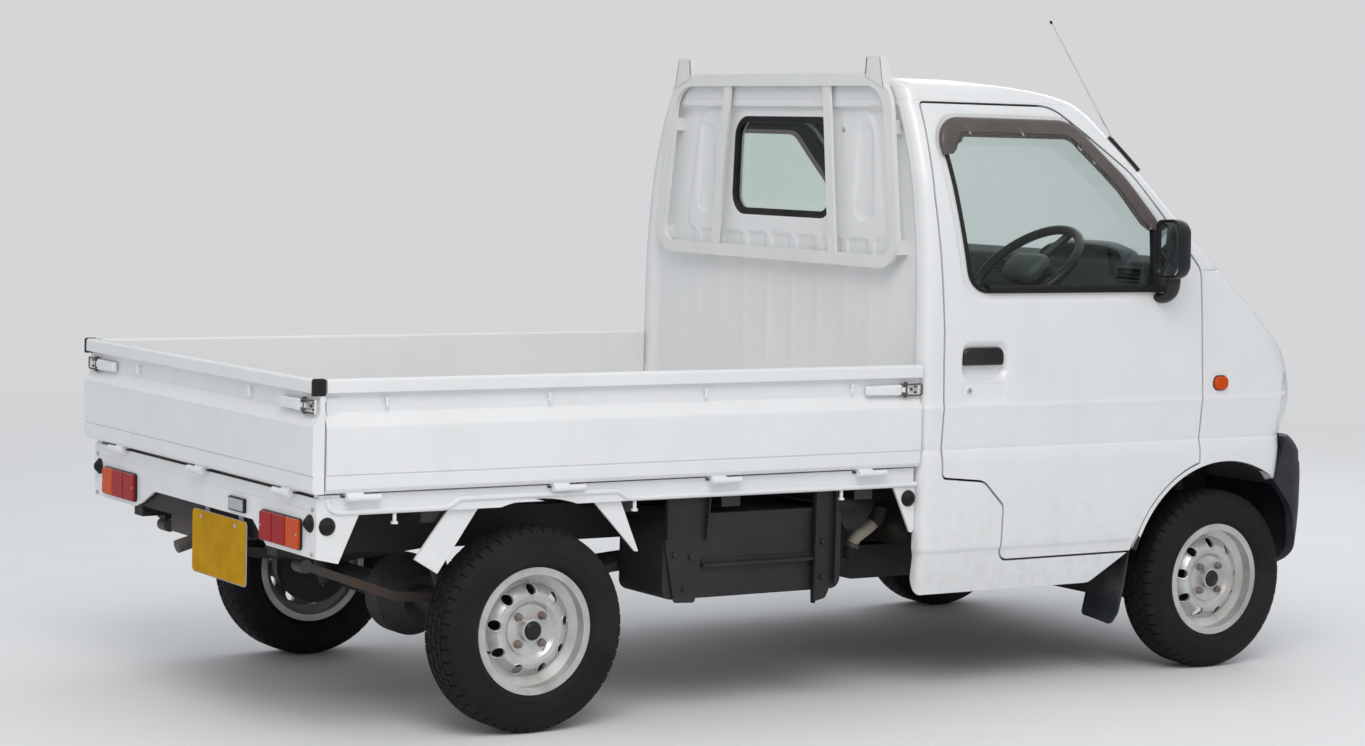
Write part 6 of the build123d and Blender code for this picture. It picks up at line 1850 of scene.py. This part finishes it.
lip_parts = []
for side_name, side in SIDES:
    x, z = spaced(RAIL_LIP)
    path = columns(x, side * RAIL_OUTER_Y, z)
    lip_parts.append((*strip(path, (0, side, 0), LIP_SECTION, closed=False), 0))
y, z = spaced(REAR_BEAD)
path = columns(REAR_PANEL_X, y, z)
lip_parts.append((*strip(path, REARWARD, REAR_BEAD_SECTION, closed=False), 0))
build("rail_lips", lip_parts, ["white"], "root", "body_white", angle=60.0)

BAIL = [
    # along the gate, up from the wire's level, out
    (-22.0, 0.0, 8.0), (6.0, 0.0, 15.0), (30.0, 0.0, 15.0), (52.0, 0.0, 11.0),
]
LEVER = [(-136.0, -13.0), (-18.0, -15.0), (-18.0, 15.0), (-136.0, 13.0)]
LEVER_CENTRE = np.array([-77.0, 0.0])
LEVER_HALF = np.array([59.0, 14.0])


def bail_parts(place):
    """Sprung wire bail, pivot and rivets of a latch; place maps along, up and out to the gate."""
    origin = place(0.0, 0.0, 0.0)
    upward, out = place(0.0, 1.0, 0.0) - origin, place(0.0, 0.0, 1.0) - origin
    parts = []
    for up in (-15.0, 15.0):
        wire = [place(a, up + b, c) for a, b, c in [*BAIL, (56.0, -up * 0.4, 10.0), (56.0, -up, 10.0)]]
        parts.append((*tube(curve(wire, step=4.0), 2.3, 8), 0))
    parts.append((*turned([(5.5, -21.0), (5.5, 21.0)], 21.0, place(0.0, 0.0, 10.0), upward, 16), 0))
    for ahead, up in ((24.0, 0.0), (38.0, 9.0), (38.0, -9.0)):
        parts.append((*turned([(4.0, -1.0), (3.8, 2.0), (2.4, 3.4)], 3.8, place(ahead, up, 4.0), out, 14), 0))
    lever = rounded(LEVER, [6.0, 3.0, 3.0, 6.0], step=5.0)
    rings = []
    for level, shrink in ((6.0, 0.0), (14.0, 0.0), (17.0, 1.5), (18.0, 4.5)):
        ring = (lever - LEVER_CENTRE) * (1 - shrink / LEVER_HALF) + LEVER_CENTRE
        rings.append(np.array([place(a, b, level) for a, b in ring]))
    return parts + [(*solid(rings), 1)]


gate_bails = bail_parts(lambda a, b, c: np.array([120.0 + a, -RECESS_Y - c, LATCH_Z + b]))
tail_bails = bail_parts(lambda a, b, c: np.array([TAILGATE_X + 19.0 - c, -668.0 - a, LATCH_Z + b]))
for side_name, side in SIDES:
    build(f"gate_latch_wire_{side_name}", sided(gate_bails, side), ["old_steel", "white"],
          f"gate_{side_name}", "spring_steel", angle=45.0)
build("tailgate_latch_wires", both_sides(tail_bails), ["old_steel", "white"], "tailgate", "spring_steel",
      angle=45.0)

HOOK_FOOT_Z = 1694.0
HOOK_TOP_Z = 1784.0
HOOK_X = (155.0, 186.0)
HOOK_FACE = [(-534.0, HOOK_FOOT_Z), (-444.0, 1730.0), (-452.0, HOOK_TOP_Z), (-514.0, HOOK_TOP_Z)]
HOOK_CHEEK = [(HOOK_X[0], HOOK_FOOT_Z), (HOOK_X[1], HOOK_FOOT_Z + 6.0), (HOOK_X[1] - 6.0, 1770.0),
              (HOOK_X[1] - 14.0, HOOK_TOP_Z - 2.0), (HOOK_X[0], HOOK_TOP_Z - 2.0)]
HOOK_INNER_FOOT_Z = 1732.0


def hook_parts():
    """Right rope hook on the guard's corner: a tapered channel, open towards the cab."""
    face = rounded(HOOK_FACE, [2.0, 2.0, 10.0, 10.0], step=5.0)
    cheek = rounded(HOOK_CHEEK, [2.0, 6.0, 10.0, 8.0, 2.0], step=5.0)
    outer, faces = slab("side", cheek, -536.0, -532.0)
    lean = (outer[:, 2] - HOOK_FOOT_Z) / (HOOK_TOP_Z - HOOK_FOOT_Z)
    inner = outer.copy()
    outer[:, 1] += 20.0 * lean
    inner[:, 1] += 88.0 - 8.0 * lean
    inner[:, 2] = np.maximum(inner[:, 2], HOOK_INNER_FOOT_Z)
    return [(*slab("back", face, HOOK_X[0], HOOK_X[0] + 4.0), 0), (outer, faces, 0), (inner, faces, 0)]


build("guard_hooks", both_sides(hook_parts()), ["guard_white"], "root", "guard_white", edge=1.2)


# Fuel filler behind the guard frame, and the seals in the door gaps

FILLER = [(176.0, -560.0, 520.0), (168.0, -552.0, 486.0), (142.0, -545.0, 458.0), (104.0, -540.0, 432.0),
          (88.0, -538.0, 404.0), (84.0, -536.0, 372.0)]
pipe = curve(FILLER, step=6.0)
filler = [(*tube(pipe, 17.0, 20), 0), (*tube(pipe[:9], 23.0, 20), 1), (*tube(pipe[-8:], 20.0, 20), 1)]
for index in (7, len(pipe) - 7):
    clip = [(19.0, -5.0), (22.5, -5.0), (22.5, 5.0), (19.0, 5.0)]
    filler.append((*lathe(clip, pipe[index], pipe[index + 1] - pipe[index], 24), 2))
build("filler_pipe", filler, ["cream", "rubber", "old_steel"], "root", "black_plastic")

DOOR_SEAL = [(-27.0, 2.0), (-27.0, 9.0), (-40.0, 10.0), (-43.0, 2.0), (-43.0, -9.0), (-38.5, -11.0),
             (-38.0, -1.0)]
SEAL_OFF_ARCH = 30.0
# Round the opening except at the wheel arch, starting behind the widest break
path, normals = skin_frame(CAB, opening_loop[off_arch(*opening_loop.T) > DOOR_ARCH + SEAL_OFF_ARCH])
start = int(np.argmax(np.linalg.norm(np.diff(path, axis=0), axis=1))) + 1
path, normals = (np.roll(rows, -start, axis=0) for rows in (path, normals))
door_seal = [(*strip(path, normals, DOOR_SEAL, closed=False), 0)]
for side_name, side in SIDES:
    build(f"door_seal_{side_name}", sided(door_seal, side), ["rubber"], "root", "rubber")


# Inside the cab: dash, steering wheel and the seats

DASH_FACE_X = 1060.0
DRIVER_Y = -330.0
VENTS = [
    # y, z, width, height
    (-560.0, 1166.0, 120.0, 56.0), (-60.0, 1166.0, 110.0, 52.0), (62.0, 1166.0, 110.0, 52.0),
    (560.0, 1166.0, 120.0, 56.0),
]
HOOD_ARCHES = [
    # x, half width, height, level of the feet
    (1200.0, 120.0, 20.0, 1205.0), (1160.0, 165.0, 42.0, 1208.0), (1110.0, 190.0, 58.0, 1206.0),
    (1078.0, 196.0, 62.0, 1196.0), (1070.0, 194.0, 58.0, 1194.0), (1072.0, 184.0, 50.0, 1192.0),
    (1100.0, 176.0, 40.0, 1188.0),
]
HOOD_SKIRT = 60.0
DIALS = [
    # y from the driver's middle, radius
    (-70.0, 42.0), (42.0, 52.0), (128.0, 26.0),
]


def vent_parts(y, z, width, height):
    """Air vent in the dash: a frame with louvres."""
    outer = box_loop((y - width / 2, y + width / 2), (z - height / 2, z + height / 2), 9.0, step=5.0)
    rows = [(-6.0, 0.0), (4.0, 0.0), (6.5, 2.0), (6.5, 7.0), (1.0, 8.0)]
    parts = [(*stacked(outer, rows, facing_back(DASH_FACE_X + 8.0)), 0)]
    low_x, high_x = DASH_FACE_X + 2.0, DASH_FACE_X + 9.0
    for step in (-0.3, -0.1, 0.1, 0.3):
        level = z + step * height
        blade = [(low_x, level - 3.0), (high_x, level + 3.0), (high_x, level + 5.0), (low_x, level - 1.0)]
        parts.append((*slab("side", blade, y - width / 2 + 7, y + width / 2 - 7), 1))
    return parts


def hood_parts():
    """Hood over the instruments, as arches that grow towards the driver, and the dials under it."""
    rings = []
    turns = np.linspace(0, math.pi, 33)
    for x, wide, high, base in HOOD_ARCHES:
        y = DRIVER_Y + wide * np.sign(np.cos(turns)) * np.abs(np.cos(turns)) ** 0.6
        z = base + high * np.sin(turns) ** 0.7
        ring = columns(x, y, z)
        rings.append(np.concatenate([ring, ring[[-1, 0]] - np.array([0, 0, HOOD_SKIRT])]))
    parts = [(*solid(rings), 0)]
    for offset, radius in DIALS:
        y, z = DRIVER_Y + offset, 1172.0 + radius * 0.4
        dial = [(radius, -6.0), (radius, 3.0), (radius - 3.0, 3.0), (radius - 4.0, 1.0)]
        parts.append((*turned(dial, 1.0, (1094.0, y, z), (-1, 0, 0.2), 36), 1))
        needle = [(y - 1.2, z), (y + 1.2, z), (y + radius * 0.5, 1172.0 + radius)]
        parts.append((*slab("back", needle, 1088.0, 1090.0), 2))
    return parts


dash_parts = hood_parts()
for vent in VENTS:
    dash_parts += vent_parts(*vent)
radio = stacked(box_loop((-90.0, 90.0), (1040.0, 1100.0), 6.0, step=6.0),
                [(-12.0, 0.0), (4.0, 0.0), (6.0, 2.0)], facing_back(DASH_FACE_X + 4.0))
glove = stacked(box_loop((150.0, 590.0), (1020.0, 1130.0), 18.0),
                [(-10.0, 0.0), (1.0, 0.0), (4.0, 3.0)], facing_back(DASH_FACE_X + 6.0))
knob = [(17.0, -2.0), (17.0, 4.0), (13.0, 6.0), (12.0, 18.0)]
knobs = [turned(knob, 19.0, (DASH_FACE_X, y, 1018.0), REARWARD, 28) for y in (-55.0, 0.0, 55.0)]
dash_parts += [(*part, 1) for part in (radio, *knobs)] + [(*glove, 0)]
build("dash_details", dash_parts, ["dash", "black_plastic", "amber_lens"], "root", "dash_plastic", edge=0.8)

WHEEL_TILT = math.radians(40.0)
STEER_CENTRE = np.array([865.0, DRIVER_Y, 1180.0])
STEER_AXIS = np.array([-math.sin(WHEEL_TILT), 0.0, math.cos(WHEEL_TILT)])
STEER_UP = np.array([math.cos(WHEEL_TILT), 0.0, math.sin(WHEEL_TILT)])
STEER_PAD = [(-70.0, -58.0), (70.0, -58.0), (84.0, 46.0), (-84.0, 46.0)]
STEER_ROWS = [(-14.0, 4.0), (0.0, 0.0), (14.0, 1.0), (24.0, 8.0), (30.0, 20.0), (32.0, 36.0)]


def on_wheel(points, level):
    """Place of a y, up outline on the steering wheel's face."""
    across = points[:, :1] * np.array([0, 1.0, 0])
    return STEER_CENTRE + across + points[:, 1:] * STEER_UP + STEER_AXIS * level


pad = stacked(rounded(STEER_PAD, [40.0, 40.0, 30.0, 30.0], step=8.0), STEER_ROWS, on_wheel)
build("steering_pad", [(*pad, 0)], ["dash"], "steering_wheel", "dash_plastic")

SEAT_BASE = [(345.0, 641.0), (802.0, 641.0), (812.0, 690.0), (352.0, 690.0)]
SEAT_SHELL = [(346.0, 690.0), (372.0, 690.0), (262.0, 1290.0), (244.0, 1282.0)]
SEAT_PADS = [
    # name, side profile in x and z, y range, axis across the sewn channels, where they lie
    ("seat_cushion", [(372.0, 684.0), (798.0, 688.0), (806.0, 752.0), (760.0, 770.0), (392.0, 734.0)],
     (92.0, 588.0), 0, (480.0, 575.0, 670.0)),
    ("seat_back", [(352.0, 716.0), (440.0, 744.0), (333.0, 1322.0), (264.0, 1334.0), (254.0, 1286.0)],
     (100.0, 580.0), 2, (860.0, 960.0, 1060.0, 1180.0)),
]
PAD_RADIUS = 24.0
PAD_EDGE = [
    # distance from the pad's side, shrinkage
    (0.0, 26.0), (8.0, 12.0), (26.0, 2.0), (60.0, 0.0),
]
SIDE_SEAMS = (170.0, 510.0)
PAD_VOXEL = 0.006
PAD_PRESSURE = 4.0
PAD_CAP = 0.014
PAD_FRAMES = 20
SEAM_DEPTH = 0.006
SEAM_WIDTH = 0.006


def remeshed(obj):
    """Replace a mesh by evenly spaced quads."""
    change = obj.modifiers.new("even", "REMESH")
    change.mode = "VOXEL"
    change.voxel_size = PAD_VOXEL
    apply_modifiers(obj)


def apply_modifiers(obj):
    """Keep the evaluated mesh and take its modifiers off."""
    graph = bpy.context.evaluated_depsgraph_get()
    mesh = bpy.data.meshes.new_from_object(obj.evaluated_get(graph))
    obj.modifiers.clear()
    obj.data = mesh


def inflated(obj):
    """Swell a closed pad by cloth simulation, with each point's travel capped."""
    start = np.array([v.co for v in obj.data.vertices])
    cloth = obj.modifiers.new("swell", "CLOTH")
    cloth.settings.use_pressure = True
    cloth.settings.uniform_pressure_force = PAD_PRESSURE
    cloth.settings.effector_weights.gravity = 0.0
    cloth.settings.quality = 4
    cloth.point_cache.frame_start = 1
    cloth.point_cache.frame_end = PAD_FRAMES
    scene = bpy.context.scene
    for step in range(1, PAD_FRAMES + 1):
        scene.frame_set(step)
    apply_modifiers(obj)
    scene.frame_set(1)
    travel = np.array([v.co for v in obj.data.vertices]) - start
    length = np.linalg.norm(travel, axis=1)
    travel *= np.minimum(1.0, PAD_CAP / np.maximum(length, 1e-9))[:, None]
    obj.data.vertices.foreach_set("co", (start + travel).ravel())
    obj.data.update()


def sewn(obj, axis, channels):
    """Press sewn channels and side seams into a swollen pad."""
    points = np.array([v.co for v in obj.data.vertices])
    normals = np.array([v.normal for v in obj.data.vertices])
    sink = np.zeros(len(points))
    for across, places in ((axis, channels), (1, SIDE_SEAMS)):
        for place in places:
            sink += np.exp(-((points[:, across] - place * MM) / SEAM_WIDTH) ** 2)
    points -= normals * (np.minimum(sink, 1.0) * SEAM_DEPTH)[:, None]
    obj.data.vertices.foreach_set("co", points.ravel())
    obj.data.update()


def at_width(points, level):
    """Place of an x, z outline at a distance from the middle of the cab."""
    return columns(points[:, 0], level, points[:, 1])


for name, profile, (low_y, high_y), axis, channels in SEAT_PADS:
    rows = [(low_y + inset, shrink) for inset, shrink in PAD_EDGE]
    rows += [(high_y - inset, shrink) for inset, shrink in reversed(PAD_EDGE)]
    made = stacked(rounded(profile, PAD_RADIUS, step=10.0), rows, at_width)
    pad = build(f"{name}_left", [(*made, 0)], ["seat"], "root", "seat_vinyl", "seats")
    remeshed(pad)
    inflated(pad)
    sewn(pad, axis, channels)
    pad.data.polygons.foreach_set("use_smooth", [True] * len(pad.data.polygons))
    twin = pad.copy()
    twin.data = pad.data.copy()
    twin.name = f"{name}_right"
    points = np.array([v.co for v in twin.data.vertices]) * MIRROR
    twin.data.vertices.foreach_set("co", points.ravel())
    twin.data.flip_normals()
    bpy.context.scene.collection.objects.link(twin)
    finish_piece(twin, ["seat"], "root", "seat_vinyl")
bases = [(*slab("side", rounded(SEAT_BASE, 10.0), -592.0, -88.0), 0),
         (*slab("side", rounded(SEAT_SHELL, 8.0), -570.0, -110.0), 0)]
build("seat_bases", both_sides(bases), ["black_plastic"], "root", "black_plastic", edge=3.0)


# Steel that carries the fuel tank: two hanging plates and the rail between them

TANK_FACE_Y = float(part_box("fuel_tank")[0][1]) / MM
TANK_PLATES = [
    # outline in x and z, corner radius
    ([(-640.0, 598.0), (-640.0, 484.0), (-606.0, 312.0), (-540.0, 309.0), (-516.0, 478.0), (-508.0, 598.0)],
     9.0),
    ([(-160.0, 598.0), (-160.0, 286.0), (-112.0, 296.0), (-93.0, 336.0), (-93.0, 598.0)], 14.0),
]
TANK_BOLTS = [(-608.0, 440.0), (-556.0, 432.0), (-574.0, 346.0), (-126.0, 452.0), (-126.0, 356.0)]
# Section of the rail: distance behind the tank's face, z
TANK_RAIL = [(6.0, 404.0), (-16.0, 404.0), (-16.0, 412.0), (-4.0, 412.0), (-4.0, 424.0), (6.0, 424.0)]
FLANGE = 4.0
steel_parts = []
for outline, radius in TANK_PLATES:
    plate = rounded(outline, radius, step=5.0)
    steel_parts.append((*slab("side", plate, TANK_FACE_Y - 7.0, TANK_FACE_Y - 4.0), 0))
    for start, finish in (outline[:2], outline[-2:]):
        flange = [start, finish, (finish[0] + FLANGE, finish[1]), (start[0] + FLANGE, start[1])]
        steel_parts.append((*slab("side", flange, TANK_FACE_Y - 22.0, TANK_FACE_Y - 5.0), 0))
for x, z in TANK_BOLTS:
    steel_parts.append((*hexagon((x, TANK_FACE_Y - 7.0, z), OUTWARD, 14.0, 7.0), 0))
rail = [(TANK_FACE_Y + y, z) for y, z in TANK_RAIL]
steel_parts.append((*slab("back", rail, -520.0, -158.0), 0))
build("tank_steel", steel_parts, ["chassis"], "root", "chassis_black", edge=0.8)


# Armrest, window winder and latch lever inside the doors

INWARD = (0, 1, 0)
DOOR_FACE_Y = -BODY_HALF_WIDTH + DOOR_THICK
ARMREST = [(400.0, 800.0), (740.0, 816.0), (752.0, 852.0), (560.0, 846.0), (400.0, 836.0)]
WINDER = np.array([650.0, DOOR_FACE_Y, 905.0])
WINDER_KNOB = np.array([560.0, DOOR_FACE_Y, 868.0])


def door_inside_parts():
    """Right door's armrest, winder with its knob, and the latch lever in its cup."""
    arm = curve([WINDER + (0, 16.0, 0), WINDER + (-45.0, 24.0, -18.0), WINDER_KNOB + (0, 26.0, 0)])
    cup = box_loop((838.0, 930.0), (900.0, 948.0), 12.0)
    lever = box_loop((846.0, 908.0), (911.0, 937.0), 9.0)
    knob = [(6.0, 20.0), (11.0, 28.0), (12.0, 42.0), (9.0, 50.0)]
    return [
        (*slab("side", rounded(ARMREST, 12.0, step=5.0), DOOR_FACE_Y - 6.0, DOOR_FACE_Y + 46.0), 0),
        (*turned([(24.0, -6.0), (24.0, 4.0), (20.0, 10.0), (13.0, 20.0)], 21.0, WINDER, INWARD, 28), 1),
        (*tube(arm, 5.5, 12), 1),
        (*turned(knob, 52.0, WINDER_KNOB, INWARD, 24), 0),
        (*slab("side", cup, DOOR_FACE_Y - 6.0, DOOR_FACE_Y + 7.0), 0),
        (*slab("side", lever, DOOR_FACE_Y + 6.0, DOOR_FACE_Y + 15.0), 1),
    ]


for side_name, side in SIDES:
    build(f"door_fittings_{side_name}", sided(door_inside_parts(), side), ["black_plastic", "chrome"],
          f"door_{side_name}", "black_plastic", edge=2.5)
